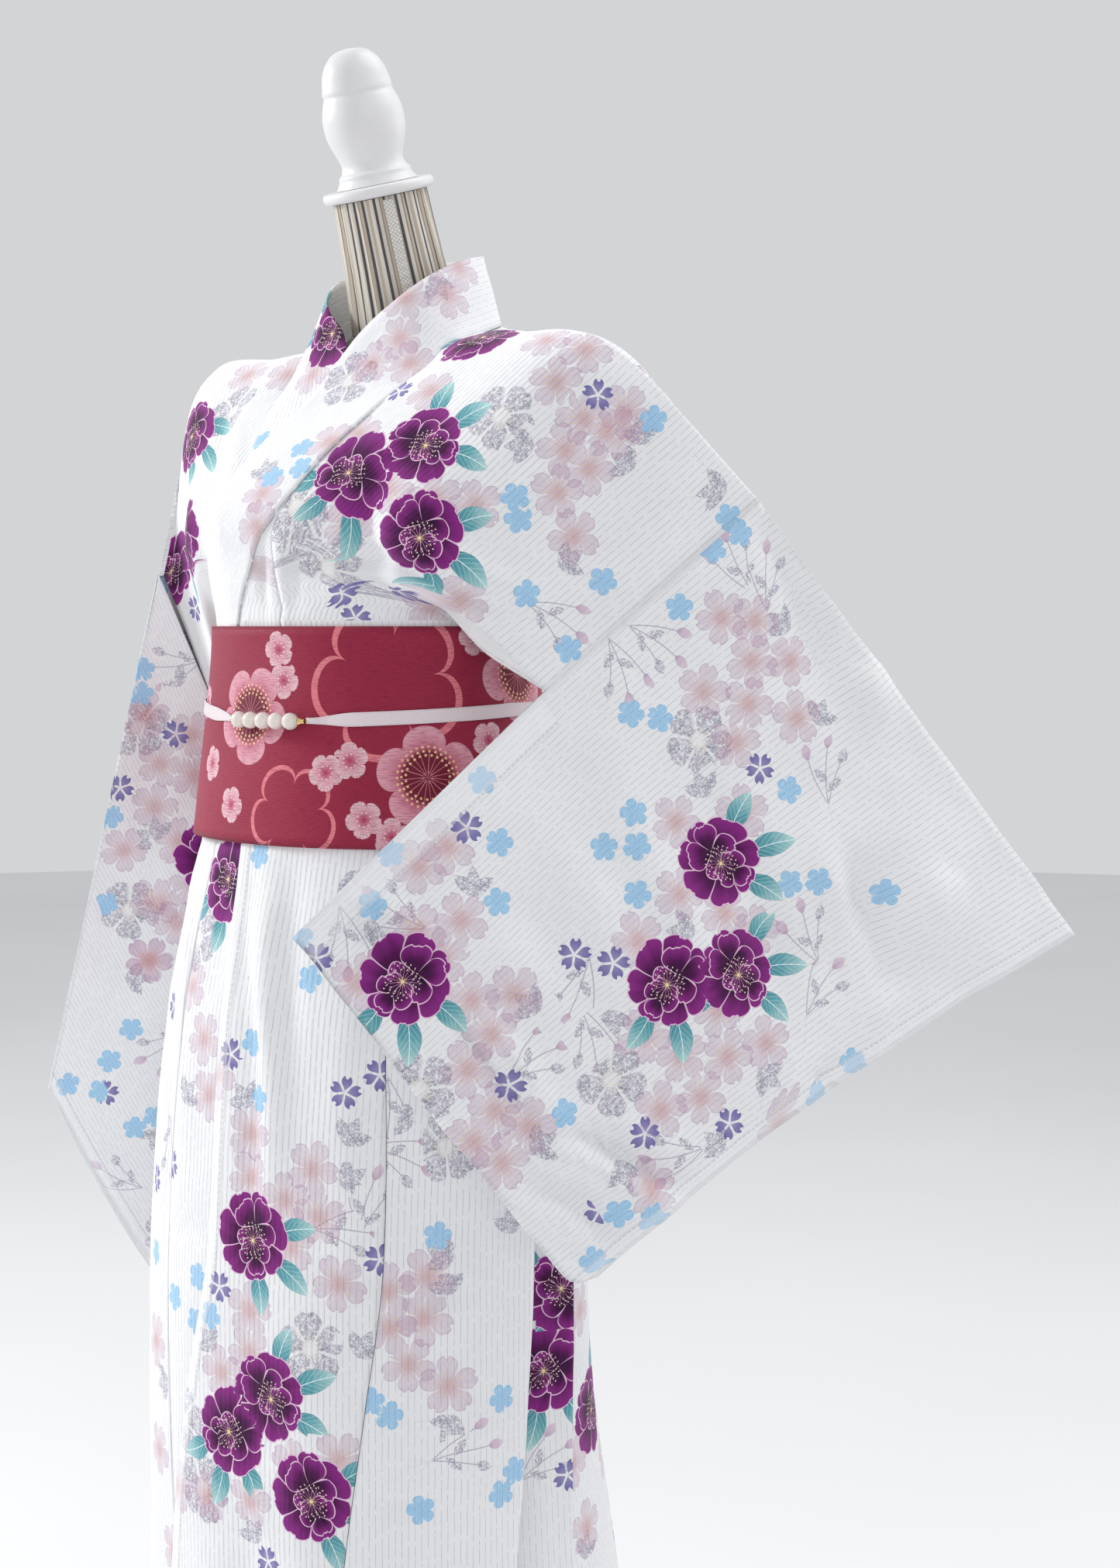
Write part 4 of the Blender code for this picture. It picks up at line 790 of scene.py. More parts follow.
BACK_CREASES = (
    (-0.0064, 0.018, ((-0.10, 1.27), (-0.06, 1.22), (-0.03, 1.17))),
    (0.0056, 0.018, ((-0.06, 1.28), (-0.03, 1.23), (-0.01, 1.18))),
    (-0.0064, 0.018, ((0.12, 1.27), (0.07, 1.22), (0.04, 1.17))),
    (0.0048, 0.018, ((0.07, 1.28), (0.04, 1.23), (0.02, 1.18))),
    (-0.0064, 0.012, ((-0.09, 0.98), (-0.10, 0.80), (-0.12, 0.55), (-0.13, 0.30))),
    (0.0058, 0.014, ((-0.06, 0.98), (-0.06, 0.75), (-0.08, 0.45))),
    (-0.0058, 0.014, ((0.06, 0.98), (0.07, 0.72), (0.06, 0.40))),
    (0.0058, 0.014, ((0.10, 0.98), (0.12, 0.78), (0.13, 0.50), (0.12, 0.25))),
    (-0.0048, 0.014, ((0.02, 0.70), (0.015, 0.45), (0.02, 0.20))),
    (-0.0032, 0.006, ((-0.14, 0.56), (0.0, 0.555), (0.15, 0.56))),
    (-0.0048, 0.020, ((0.26, 1.20), (0.25, 1.05), (0.22, 0.90))),
    (0.0048, 0.022, ((0.31, 1.12), (0.30, 0.98), (0.27, 0.86))),
    (-0.0048, 0.018, ((-0.20, 1.15), (-0.22, 1.02), (-0.23, 0.90))),
    (0.0045, 0.018, ((-0.24, 1.10), (-0.25, 0.98), (-0.26, 0.88))),
)

LIGHTS = (
    ("key", (-3.0, -1.7, 2.6), 1.2, 91.0),
    ("fill", (3.2, -2.8, 1.6), 2.6, 12.0),
    ("top", (0.9, 0.9, 3.4), 2.2, 30.0),
    ("rim", (1.4, 3.0, 2.0), 2.2, 14.0),
)
LIGHT_TARGET = (0.0, 0.0, 1.0)
WORLD_LIGHT = 0.70
WORLD_TINT = (0.93, 0.94, 0.96, 1.0)
FLOOR_RADIUS, FLOOR_DROP = 9.0, 0.0005


# Scene-only sizes of the cloth
SHELL = 0.0007
FINE = 0.0055
SKIRT_STEP = 0.0075
COVERED_STEP = 0.02
FRONT_COLUMNS = 44
OKUMI_COLUMNS = 20
BODICE_ROWS = 71
TIP_ROWS = 40
TIP_END = 0.985
ARC_SAMPLES = 31
ARC_MIDDLE = 22
SLEEVE_ROWS, SLEEVE_COLUMNS = 64, 61
FOLD_FINENESS = 0.35
COLLAR_ROWS, COLLAR_END_ROWS, COLLAR_COLUMNS = 97, 9, 15
OBI_COLUMNS, OBI_ROWS = 260, 23
RIBBON_COLUMNS, RIBBON_ROWS = 300, 7
RIBBON_TURNED_EDGE = 0.0012
OBI_TURNED_EDGE, OBI_TURNED_END = 0.003, 0.004
OBI_SHELL, OBI_UNEVEN = 0.0016, (0.0005, 0.0001)
RIBBON_SHELL, RIBBON_UNEVEN = 0.0007, (0.0002, 0.0001)
HEM_BAND = 0.010
CUFF_BAND = 0.012
SLIT_BAND = 0.024
NO_EDGE = 0.5
BACK_CLOTH_U = 0.90
BODICE_CLOTH_V = 2.0
BODICE_BACK_CLOTH_V = 3.0
ARMHOLE_CLOTH_U = 0.30
SLEEVE_LENGTH = 0.47
BACK_SEAM_SHARE = SEAM_GAP / 4 / FRONT_WIDTH
UNDER_COLLAR = 0.002
COLLAR_OVERLAP = -0.035
COLLAR_LIFT = 0.0008
WELD = 0.00002
RIBBON_REACH = 2.8
RIBBON_RISE = 0.0036


def fine_steps(low, high, size=FINE):
    """Even steps of about a given size."""
    return np.linspace(low, high, max(int(round(abs(high - low) / size)), 1) + 1)


def patch(points, flat, hem=None):
    """A grid of points with flat cloth coordinates, and the distance to a hemmed edge, the hem's width
    and the place along it."""
    points = np.asarray(points, float)
    if hem is None:
        hem = np.full(points.shape[:2] + (3,), NO_EDGE)
    return {"points": points, "flat": np.asarray(flat, float), "hem": np.asarray(hem, float)}


def lengths(points):
    """The distance along each row of a grid, from its first column."""
    stretch = np.linalg.norm(np.diff(points, axis=1), axis=2)
    return np.concatenate([np.zeros((len(points), 1)), np.cumsum(stretch, axis=1)], axis=1)


def walked(line):
    """The distance of each point of a line from its first."""
    return np.concatenate([[0], np.cumsum(np.linalg.norm(np.diff(line, axis=0), axis=1))])


def skirt_heights():
    """The levels of the skirt's grid: fine below the obi and coarse under it."""
    below = fine_steps(HEM_Z, OBI_LOW_Z, SKIRT_STEP)
    return np.concatenate([below, fine_steps(OBI_LOW_Z, PANEL_TOP_Z, COVERED_STEP)[1:]])


def flat_grid(u, v):
    """The flat places of a grid from its values across and down, which may be single rows or columns."""
    return np.stack(np.broadcast_arrays(u, v), axis=-1)


def nearest_hem(*edges):
    """Of several edges, given as distance, width and place along, the one that is nearest in widths."""
    stack = np.stack([np.stack(np.broadcast_arrays(*edge), axis=-1) for edge in edges])
    best = np.argmin(stack[..., 0] / stack[..., 1], axis=0)
    return np.take_along_axis(stack, best[None, ..., None], axis=0)[0]


def front_patch(side, low_share, high_share, count, heights):
    """The front below the obi's top, between two shares that each take a height."""
    points = []
    flat = []
    hem = []
    for height in heights:
        edge = front_edge(side, height)
        zero = -edge / (at_height(SIDES, height)[0] - edge)
        shares = np.linspace(low_share(height), high_share(height), count + 1)
        whole = np.linspace(0.0, 1.0, 41)
        line = np.array([[lower_front(side, share, height) for share in whole]])
        arc = lengths(line)[0]
        places = side * (np.interp(shares, whole, arc) - np.interp(zero, whole, arc))
        points.append([lower_front(side, share, height) for share in shares])
        flat.append([(place, height) for place in places])
        along_edge = np.interp(shares, whole, arc)
        hem.append(nearest_hem((along_edge, HEM_BAND, height), (height - HEM_Z, HEM_BAND * 1.4, places)))
    return patch(points, flat, hem)


def pleat_patch(side, heights, start_places):
    """The cloth between the front and the back at the side, with the pleat on the left side."""
    rows = []
    for height in heights:
        line = [lower_front(side, 1.0, height)]
        if side > 0:
            line += [pleat_point(row, height) for row in PLEAT]
        line.append(lower_back(side, 0.0, height))
        places = np.linspace(0, len(line) - 1, 6 * (len(line) - 1) + 1)
        rows.append(
            [[np.interp(place, range(len(line)), axis) for axis in np.array(line).T] for place in places]
        )
    points = np.array(rows)
    u = np.array(start_places)[:, None] + side * lengths(points)
    v = np.array(heights)[:, None] + 0 * u
    hem = nearest_hem((v - HEM_Z, HEM_BAND * 1.4, u))
    return patch(points, np.stack([u, v], axis=-1), hem)


def back_patch(side, heights):
    shares = np.linspace(0, 1, FRONT_COLUMNS + 1) * (1 - BACK_SEAM_SHARE)
    points = np.array([[lower_back(side, share, height) for share in shares] for height in heights])
    arc = lengths(points)
    u = BACK_CLOTH_U * side - side * (arc[:, -1:] - arc)
    v = np.array(heights)[:, None] + 0 * u
    return patch(points, flat_grid(u, v), nearest_hem((v - HEM_Z, HEM_BAND * 1.4, u)))


def bodice_patch(side, make, shares, places, base_v):
    """A ply of the bodice, with cloth coordinates that run along the armhole."""
    points = np.array([[make(share, place) for share in shares] for place in places])
    arc = lengths(points)
    u = side * (ARMHOLE_CLOTH_U - (arc[:, -1:] - arc))
    middle = points[:, int(len(shares) * 0.72)]
    down = walked(middle)
    v = base_v + down[:, None] + 0 * u
    slit = np.interp(places, (-1, 0, 2, 2.4), (0, 0, 0, 1))[:, None]
    hem = nearest_hem((arc[:, -1:] - arc + slit, HEM_BAND, v))
    return patch(points, np.stack([u, v], axis=-1), hem)


def body_patches(side):
    """One width of cloth from the front hem over the shoulder to the back hem."""
    heights = skirt_heights()
    gap = SEAM_GAP / 2 / FRONT_WIDTH
    front = front_patch(
        side, lambda height: okumi_share(height) + gap, lambda height: 1.0, FRONT_COLUMNS, heights
    )
    pleat = pleat_patch(side, heights, front["flat"][:, -1, 0])
    back = back_patch(side, heights)
    tip = (len(LEFT_FRONT) - 1) * OKUMI_TIP
    okumi_top = okumi_share(PANEL_TOP_Z)

    def front_high(share, place):
        if place < 0:
            start = okumi_top + gap
            return lower_front(side, start + (1 - start) * share, PANEL_TOP_Z)
        start = max(okumi_top * (1 - place / tip) + gap, UNDER_COLLAR * smooth(tip * 0.9, tip * 1.1, place))
        return upper_front(side, start + (1 - start) * share, place)

    def back_high(share, place):
        if place < 0:
            return lower_back(side, share * (1 - BACK_SEAM_SHARE), PANEL_TOP_Z)
        if place >= last_back:
            return front_high(1 - share, last_front)
        return upper_back(side, share * (1 - BACK_SEAM_SHARE), place)

    last_front = len(LEFT_FRONT) - 1
    last_back = len(LEFT_BACK) - 1
    front_places = np.concatenate([[-1.0], np.linspace(0, last_front, BODICE_ROWS)])
    back_places = np.concatenate([[-1.0], np.linspace(0, last_back, BODICE_ROWS)])
    shares = np.linspace(0, 1, FRONT_COLUMNS + 1)
    high = bodice_patch(side, front_high, shares, front_places, BODICE_CLOTH_V)
    behind = bodice_patch(
        -side, lambda share, place: back_high(1 - share, place), shares, back_places, BODICE_BACK_CLOTH_V
    )
    for key in behind:
        behind[key] = behind[key][:, ::-1]
    return [front, pleat, back, high, behind]


def okumi_patches(side):
    """The narrow front panel between the body panel and the front edge, up to its tip at the collar."""
    heights = skirt_heights()
    gap = SEAM_GAP / 2 / FRONT_WIDTH
    low = front_patch(
        side, lambda height: 0.0, lambda height: okumi_share(height) - gap, OKUMI_COLUMNS, heights
    )
    tip = (len(LEFT_FRONT) - 1) * OKUMI_TIP

    def high(share, place):
        if place < 0:
            return lower_front(side, (okumi_share(PANEL_TOP_Z) - gap) * share, PANEL_TOP_Z)
        width = max(okumi_share(PANEL_TOP_Z) * (1 - place / tip) - gap, 0.0005)
        return upper_front(side, width * share, place)

    places = np.concatenate([[-1.0], np.linspace(0, tip * TIP_END, TIP_ROWS)])
    shares = np.linspace(0, 1, OKUMI_COLUMNS + 1)
    points = np.array([[high(share, place) for share in shares] for place in places])
    whole = np.array(
        [
            [upper_front(side, share, max(place, 0)) for share in np.linspace(0, 1, ARC_SAMPLES)]
            for place in places
        ]
    )
    arc = lengths(whole)
    from_armhole = np.array(
        [
            [
                arc[row, -1] - np.interp(np.linalg.norm(point - whole[row, 0]), arc[row], arc[row])
                for point in points[row]
            ]
            for row in range(len(places))
        ]
    )
    u = side * (ARMHOLE_CLOTH_U - from_armhole)
    middle = whole[:, ARC_MIDDLE]
    down = walked(middle)
    v = BODICE_CLOTH_V + down[:, None] + 0 * u
    return [low, patch(points, np.stack([u, v], axis=-1))]


def sleeve_patches(sleeve):
    """A sleeve: one width of cloth folded over the arm, sewn below and along the lower cuff."""
    side = sleeve["side"]
    shares = np.linspace(0, 1, SLEEVE_ROWS + 1)
    half = 0.5 * (1 - np.cos(np.pi * shares)) / 2
    around = FOLD_FINENESS * half + (1 - FOLD_FINENESS) * shares / 2
    around = np.concatenate([around, 1 - around[::-1][1:]])
    outs = np.linspace(0.0, 1.0, SLEEVE_COLUMNS)

    def point(out, place):
        past = max((out - 1 + ROUNDED_OUT) / ROUNDED_OUT, 0.0)
        reach = 1 - ROUNDED_DOWN * (1 - math.sqrt(1 - past * past))
        return sleeve_point(sleeve, out, place * reach if place <= 0.5 else 1 - (1 - place) * reach)

    points = np.array([[point(out, place) for place in around] for out in outs])
    down = np.where(around <= 0.5, 2 * around, 2 * (1 - around))
    v = np.where(around <= 0.5, -down, down) * SLEEVE_LENGTH
    u = side * outs[:, None] * SLEEVE_WIDTH + 0 * v[None, :]
    v = v[None, :] + 0 * u
    below = np.clip((down - ARMHOLE_SHARE) * SLEEVE_LENGTH, 0, 1)[None, :] + 0 * u
    from_slit = np.abs(u) + np.where(below > 0, 0.0, NO_EDGE)
    hem = nearest_hem((SLEEVE_WIDTH - np.abs(u), CUFF_BAND, v), (from_slit, SLIT_BAND, v))
    return [patch(points, np.stack([u, v], axis=-1), hem)]


def collar_patches():
    """The collar band, from its left end over the back of the neck to its right end."""
    last = len(COLLAR) - 1
    above = np.linspace(0, COLLAR_AT_OBI, COLLAR_ROWS)
    places = np.concatenate([above, np.linspace(COLLAR_AT_OBI, last, COLLAR_END_ROWS)[1:]])
    rows = [(1, place) for place in places[::-1]] + [(-1, place) for place in places[1:]]
    crossings = np.linspace(COLLAR_OVERLAP, 1.0, COLLAR_COLUMNS)
    points = np.array([[collar_point(side, place, across) for across in crossings] for side, place in rows])
    middle = points[:, COLLAR_COLUMNS // 2]
    along = walked(middle)
    across = lengths(points)
    flat = flat_grid(across, along[:, None])
    hem = nearest_hem((across[:, -1:] - across + 0.02, HEM_BAND, flat[..., 1]))
    return [patch(points, flat, hem)]


def obi_patches():
    turns = np.linspace(OBI_START, OBI_END, OBI_COLUMNS)
    heights = np.linspace(OBI_LOW_Z + SEAM_GAP, OBI_TOP_Z, OBI_ROWS)
    lifts = [OBI_LIFT + OBI_END_LIFT * smooth(-172, -188, turn) for turn in turns]
    points = np.array(
        [[body_point(turn, height, lift) for height in heights] for turn, lift in zip(turns, lifts)]
    )
    middle = points[:, OBI_ROWS // 2]
    along = walked(middle)
    u = -(along - np.interp(0.0, -turns, along))
    flat = flat_grid(u[:, None], heights[None, :])
    ends = np.minimum(along, along[-1] - along)[:, None] + 0 * points[..., 0]
    edge = np.minimum(heights - heights[0], heights[-1] - heights)[None, :] + 0 * points[..., 0]
    hem = nearest_hem((edge + 0.001, OBI_TURNED_EDGE, flat[..., 0]), (ends, OBI_TURNED_END, flat[..., 1]))
    return [patch(points, flat, hem)]


def ribbon_point(angle, across):
    """A point of the narrow ribbon round the obi, at a share of its width."""
    turned = (angle + 168.0) % 360 - 168.0
    height = np.interp(turned, *zip(*RIBBON_HEIGHTS))
    lapped = OBI_END_LIFT * smooth(134, 143, angle) * (1 - smooth(191, 200, angle))
    inside = min(angle - RIBBON_START, RIBBON_END - angle) + RIBBON_REACH
    width = RIBBON_WIDTH * (0.42 + 0.58 * smooth(0, 15, inside))
    rise = RIBBON_RISE * (1 - smooth(0, 6, inside))
    return body_point(angle, height + width * across, RIBBON_LIFT + lapped + rise)


def ribbon_patches():
    turns = np.linspace(RIBBON_START - RIBBON_REACH, RIBBON_END + RIBBON_REACH, RIBBON_COLUMNS)
    shares = np.linspace(-0.5, 0.5, RIBBON_ROWS)
    points = np.array([[ribbon_point(turn, share) for share in shares] for turn in turns])
    along = walked(points[:, RIBBON_ROWS // 2])
    flat = flat_grid(along[:, None], shares[None, :] * RIBBON_WIDTH)
    edge = (0.5 - np.abs(shares))[None, :] * RIBBON_WIDTH + 0 * points[..., 0]
    return [patch(points, flat, nearest_hem((edge, RIBBON_TURNED_EDGE, flat[..., 0])))]


def welded(patches):
    """Vertices, faces and the face corners' cloth values of patches that share their edge points."""
    points = np.concatenate([item["points"].reshape(-1, 3) for item in patches])
    flat = np.concatenate([item["flat"].reshape(-1, 2) for item in patches])
    hem = np.concatenate([item["hem"].reshape(-1, 3) for item in patches])
    _, first, shared = np.unique(
        np.round(points / WELD).astype(np.int64), axis=0, return_index=True, return_inverse=True
    )
    shared = shared.reshape(-1)
    corners = []
    start = 0
    for item in patches:
        rows, columns = item["points"].shape[:2]
        index = np.arange(rows * columns).reshape(rows, columns) + start
        quads = np.stack([index[:-1, :-1], index[:-1, 1:], index[1:, 1:], index[1:, :-1]], axis=-1)
        corners.append(quads.reshape(-1, 4))
        start += rows * columns
    corners = np.concatenate(corners)
    places = shared[corners]
    whole = np.array([len(set(face)) == 4 for face in places])
    return points[first], places[whole], flat[corners[whole]], hem[corners[whole]]


def vertex_normals(points, faces):
    normals = np.zeros_like(points)
    across = points[faces[:, 2]] - points[faces[:, 0]]
    other = points[faces[:, 3]] - points[faces[:, 1]]
    facing = np.cross(across, other)
    for corner in range(4):
        np.add.at(normals, faces[:, corner], facing)
    return normals / np.maximum(np.linalg.norm(normals, axis=1, keepdims=True), 1e-12)


def path_distance(points, path):
    """The distance of each point from a path, and its place along the path from 0 to 1."""
    path = np.asarray(path, float)
    best = np.full(len(points), 9.0)
    place = np.zeros(len(points))
    for number, (start, end) in enumerate(zip(path[:-1], path[1:])):
        along = np.clip((points - start) @ (end - start) / ((end - start) @ (end - start)), 0, 1)
        away = np.linalg.norm(points - start - along[:, None] * (end - start), axis=1)
        closer = away < best
        best = np.where(closer, away, best)
        place = np.where(closer, (number + along) / (len(path) - 1), place)
    return best, place


def curved_path(path):
    return np.array([through(path, place) for place in np.linspace(0, len(path) - 1, PATH_POINTS)])


def crease_height(points, normals, creases):
    """How far a sheet's creases move each of its points along its normal."""
    reach = np.zeros(len(points))
    for depth, width, path in creases:
        path = curved_path(path)
        away, place = path_distance(points, path)
        core = normals[np.argmin(np.linalg.norm(points - path[len(path) // 2], axis=1))]
        facing = np.clip((normals @ core - 0.1) / 0.4, 0, 1)
        taper = np.sin(np.pi * np.clip(place * 0.94 + 0.03, 0, 1)) ** 0.7
        reach += depth * np.exp(-((away / width) ** 2)) * taper * facing
    return reach


def ripple(points, scale, seed):
    """A smooth uneven height between about -1 and 1, the same on every run."""
    shift = Vector((seed * 7.3, seed * 3.1, seed * 1.7))
    return np.array([noise.noise(Vector(point) / scale + shift) for point in points])


def plain_cloth(name, patches, inside):
    """A cloth's surface before its creases: points, faces that face outwards, and their cloth values."""
    points, faces, flat, hem = welded(patches)
    normals = vertex_normals(points, faces)
    if np.sum((points - inside(points)) * normals) < 0:
        faces, flat, hem = faces[:, ::-1], flat[:, ::-1], hem[:, ::-1]
        normals = -normals
    cloth = {"name": name, "points": points, "faces": faces, "flat": flat, "hem": hem, "normals": normals}
    cloth["tree"] = BVHTree.FromPolygons(points.tolist(), faces.tolist())
    return cloth


def finish_cloth(cloth, look, creases=(), prints=(), wall=SHELL, uneven=UNEVEN, lift=0.0, free=False):
    """Makes the object: the sheet with its creases, its print's places and its wall."""
    name, points, faces, flat = cloth["name"], cloth["points"], cloth["faces"], cloth["flat"]
    stiff = sleeve_freedom(cloth) if free else edge_stiffness(points, faces)
    seed = len(name)
    waves = uneven[0] * ripple(points, 0.075, seed) + uneven[1] * ripple(points, 0.028, seed + 5)
    reach = lift + stiff * (crease_height(points, cloth["normals"], creases) + waves)
    placed = points + cloth["normals"] * reach[:, None]
    mesh = bpy.data.meshes.new(name)
    mesh.from_pydata(placed.tolist(), [], faces.tolist())
    uv = mesh.uv_layers.new(name="UVMap")
    uv.data.foreach_set("uv", flat.reshape(-1).astype(np.float32))
    add_corner_values(mesh, "hem", cloth["hem"])
    metric = face_metric(points, faces, flat)
    for layer in PRINT_LAYERS:
        chosen = [item for item in prints if MOTIFS[item[0]]["layer"] == layer]
        if chosen:
            add_corner_values(mesh, layer, print_places(flat, metric, chosen))
    mesh.shade_smooth()
    made = add_piece(name, mesh, look)
    thick = made.modifiers.new("Wall", "SOLIDIFY")
    thick.thickness = wall
    thick.offset = 0.0
    return made


def sleeve_freedom(cloth):
    """0 at the armhole seam, rising to 1 beyond it: a sleeve's other edges are free."""
    free = np.zeros(len(cloth["points"]))
    free[cloth["faces"].reshape(-1)] = np.abs(cloth["flat"][..., 0]).reshape(-1)
    return np.clip(free / EDGE_CALM, 0.0, 1.0)


def edge_stiffness(points, faces):
    """1 away from a sheet's edges and 0 at them, so that edges stay where the pieces meet."""
    borders = {}
    for face in faces:
        for start, end in zip(face, np.roll(face, -1)):
            key = (min(start, end), max(start, end))
            borders[key] = borders.get(key, 0) + 1
    edge = np.array(sorted({place for key, count in borders.items() if count == 1 for place in key}))
    tree = KDTree(len(edge))
    for number, place in enumerate(edge):
        tree.insert(points[place], number)
    tree.balance()
    away = np.array([tree.find(point)[2] for point in points])
    return np.clip(away / EDGE_CALM, 0.0, 1.0)


def add_corner_values(mesh, name, values):
    attribute = mesh.attributes.new(name, "FLOAT_VECTOR", "CORNER")
    attribute.data.foreach_set("vector", values.reshape(-1).astype(np.float32))


def face_metric(points, faces, flat):
    """For each face the lengths that one metre of flat u and v takes in space, and how they lean."""
    across = points[faces]
    ends = [1, 2, 3, 2]
    starts = [0, 3, 0, 1]
    rise = across[:, ends] - across[:, starts]
    step = flat[:, ends] - flat[:, starts]
    weight = np.einsum("nij,nik->njk", step, step) + np.eye(2) * 1e-12
    slope = np.linalg.solve(weight, np.einsum("nij,nik->njk", step, rise))
    first = np.linalg.norm(slope[:, 0], axis=1)
    lean = np.einsum("nj,nj->n", slope[:, 0], slope[:, 1]) / np.maximum(first, 1e-9)
    second = np.sqrt(np.maximum(np.einsum("nj,nj->n", slope[:, 1], slope[:, 1]) - lean**2, 1e-9))
    return np.stack([first, lean, second], axis=1)


def print_places(flat, metric, motifs):
    """For each face corner its place inside the motif that covers the face: x, y and the motif's kind."""
    values = np.zeros(flat.shape[:2] + (3,))
    values[..., :2] = 9.0
    middle = flat.mean(axis=1)
    best = np.full(len(flat), 9.0)
    for kind, u, v, turn in motifs:
        motif = MOTIFS[kind]
        near = np.argmin(np.sum((middle - (u, v)) ** 2, axis=1))
        if np.sum((middle[near] - (u, v)) ** 2) > 0.02**2:
            continue
        first, lean, second = metric[near]
        local = np.stack(
            [(flat[..., 0] - u) * first + (flat[..., 1] - v) * lean, (flat[..., 1] - v) * second], axis=-1
        )
        local /= motif["radius"]
        away = np.linalg.norm(local, axis=2).min(axis=1)
        angle = math.radians(turn)
        spun = np.stack([local[..., 0] * math.cos(angle) + local[..., 1] * math.sin(angle),
                         local[..., 1] * math.cos(angle) - local[..., 0] * math.sin(angle)], axis=-1)
        covers = (away < motif["reach"]) & (away < best)
        best = np.where(covers, away, best)
        values[covers, :, :2] = spun[covers]
        values[covers, :, 2] = motif["code"]
    return values


def photo_ray(across, down):
    """The camera and the direction that it sees a pixel of the photograph in."""
    aside = (across - PHOTO_WIDTH / 2) / FOCAL_PIXELS
    rise = (HORIZON_PIXEL - down) / FOCAL_PIXELS
    return CAMERA_PLACE, CAMERA_RIGHT * aside + (0.0, 0.0, rise) - TOWARD_CAMERA


def first_cloth(cloths, start, direction):
    """The cloth that a ray meets first: the cloth, the place and the face, or None."""
    best = None
    for cloth in cloths:
        place, _, face, away = cloth["tree"].ray_cast(Vector(start), Vector(direction).normalized())
        if place is not None and (best is None or away < best[0]):
            best = (away, cloth, np.array(place), face)
    return best and best[1:]


def flat_place(cloth, place, face):
    """Where a point of a face lies in the flat cloth, and the directions of the flat axes there."""
    corners = cloth["points"][cloth["faces"][face]]
    step = cloth["flat"][face]
    middle = corners.mean(axis=0)
    slope = np.linalg.pinv(step - step.mean(axis=0)) @ (corners - middle)
    back = np.linalg.pinv(slope)
    return step.mean(axis=0) + (place - middle) @ back, slope[0], slope[1]


def turned_axes(along_u, along_v, direction, view):
    """The turn in the flat cloth, in degrees, of a direction that is seen along a view."""
    out = np.cross(along_u, along_v)
    lying = direction - view * (direction @ out) / (view @ out)
    first = along_u / np.linalg.norm(along_u)
    second = along_v - (along_v @ first) * first
    return math.degrees(math.atan2(lying @ second / np.linalg.norm(second), lying @ first))


def photo_prints(cloths):
    """The motifs that the photograph shows, laid on the cloth behind each of their pixels."""
    placed = {cloth["name"]: [] for cloth in cloths}
    for kind, spots in PHOTO_PRINTS.items():
        printed = [cloth for cloth in cloths if (cloth["name"] == "robe_obi") == (kind in OBI_MOTIFS)]
        for across, down, *turn in spots:
            start, direction = photo_ray(across, down)
            found = first_cloth(printed, start, direction)
            if found is None:
                continue
            cloth, place, face = found
            middle, along_u, along_v = flat_place(cloth, place, face)
            lean = math.radians(turn[0] if turn else (across * 3 + down * 7) % 72)
            seen = CAMERA_RIGHT * math.cos(lean) + np.array((0.0, 0.0, math.sin(lean)))
            placed[cloth["name"]].append((kind, *middle, turned_axes(along_u, along_v, seen, direction)))
    return placed


def hidden_prints(name, repeat):
    """The same kinds of motif repeated over a piece's hidden cloth, outside the boxes that are shown."""
    placed = []
    for low_u, low_v, high_u, high_v in HIDDEN_CLOTH[name]:
        for row in range(math.ceil((high_v - low_v) / REPEAT[1])):
            for column in range(-1, math.ceil((high_u - low_u) / REPEAT[0])):
                for kind, share_u, share_v, turn in repeat:
                    u = low_u + (column + share_u + 0.5 * (row % 2)) * REPEAT[0]
                    v = low_v + (row + share_v) * REPEAT[1]
                    if low_u <= u <= high_u and low_v <= v <= high_v:
                        placed.append((kind, u, v, turn))
    return placed


def photo_creases(cloths):
    """The creases that the photograph shows, as paths on the cloth behind their pixels, and those that
    are placed from the back by their x and z."""
    placed = {cloth["name"]: [] for cloth in cloths}
    for depth, width, pixels in PHOTO_CREASES:
        lay_crease(placed, cloths, depth, width, [photo_ray(across, down) for across, down in pixels])
    for depth, width, places in BACK_CREASES:
        rays = [((x, 2.0, z), (0.0, -1.0, 0.0)) for x, z in places]
        lay_crease(placed, cloths, depth, width, rays)
    return placed


def lay_crease(placed, cloths, depth, width, rays):
    found = [first_cloth(cloths, *ray) for ray in rays]
    met = [item for item in found if item is not None]
    for name in {item[0]["name"] for item in met}:
        path = [item[1] for item in met]
        if len(path) > 1:
            placed[name].append((depth, width, path))


# The methods of a field and the node operation that each one makes
FIELD_OPERATIONS = {
    "__add__": "ADD",
    "__sub__": "SUBTRACT",
    "__mul__": "MULTIPLY",
    "__truediv__": "DIVIDE",
    "power": "POWER",
    "least": "MINIMUM",
    "most": "MAXIMUM",
    "over": "GREATER_THAN",
    "size": "ABSOLUTE",
    "part": "FRACT",
    "whole": "FLOOR",
    "wave": "SINE",
    "__radd__": "ADD",
    "__rmul__": "MULTIPLY",
}


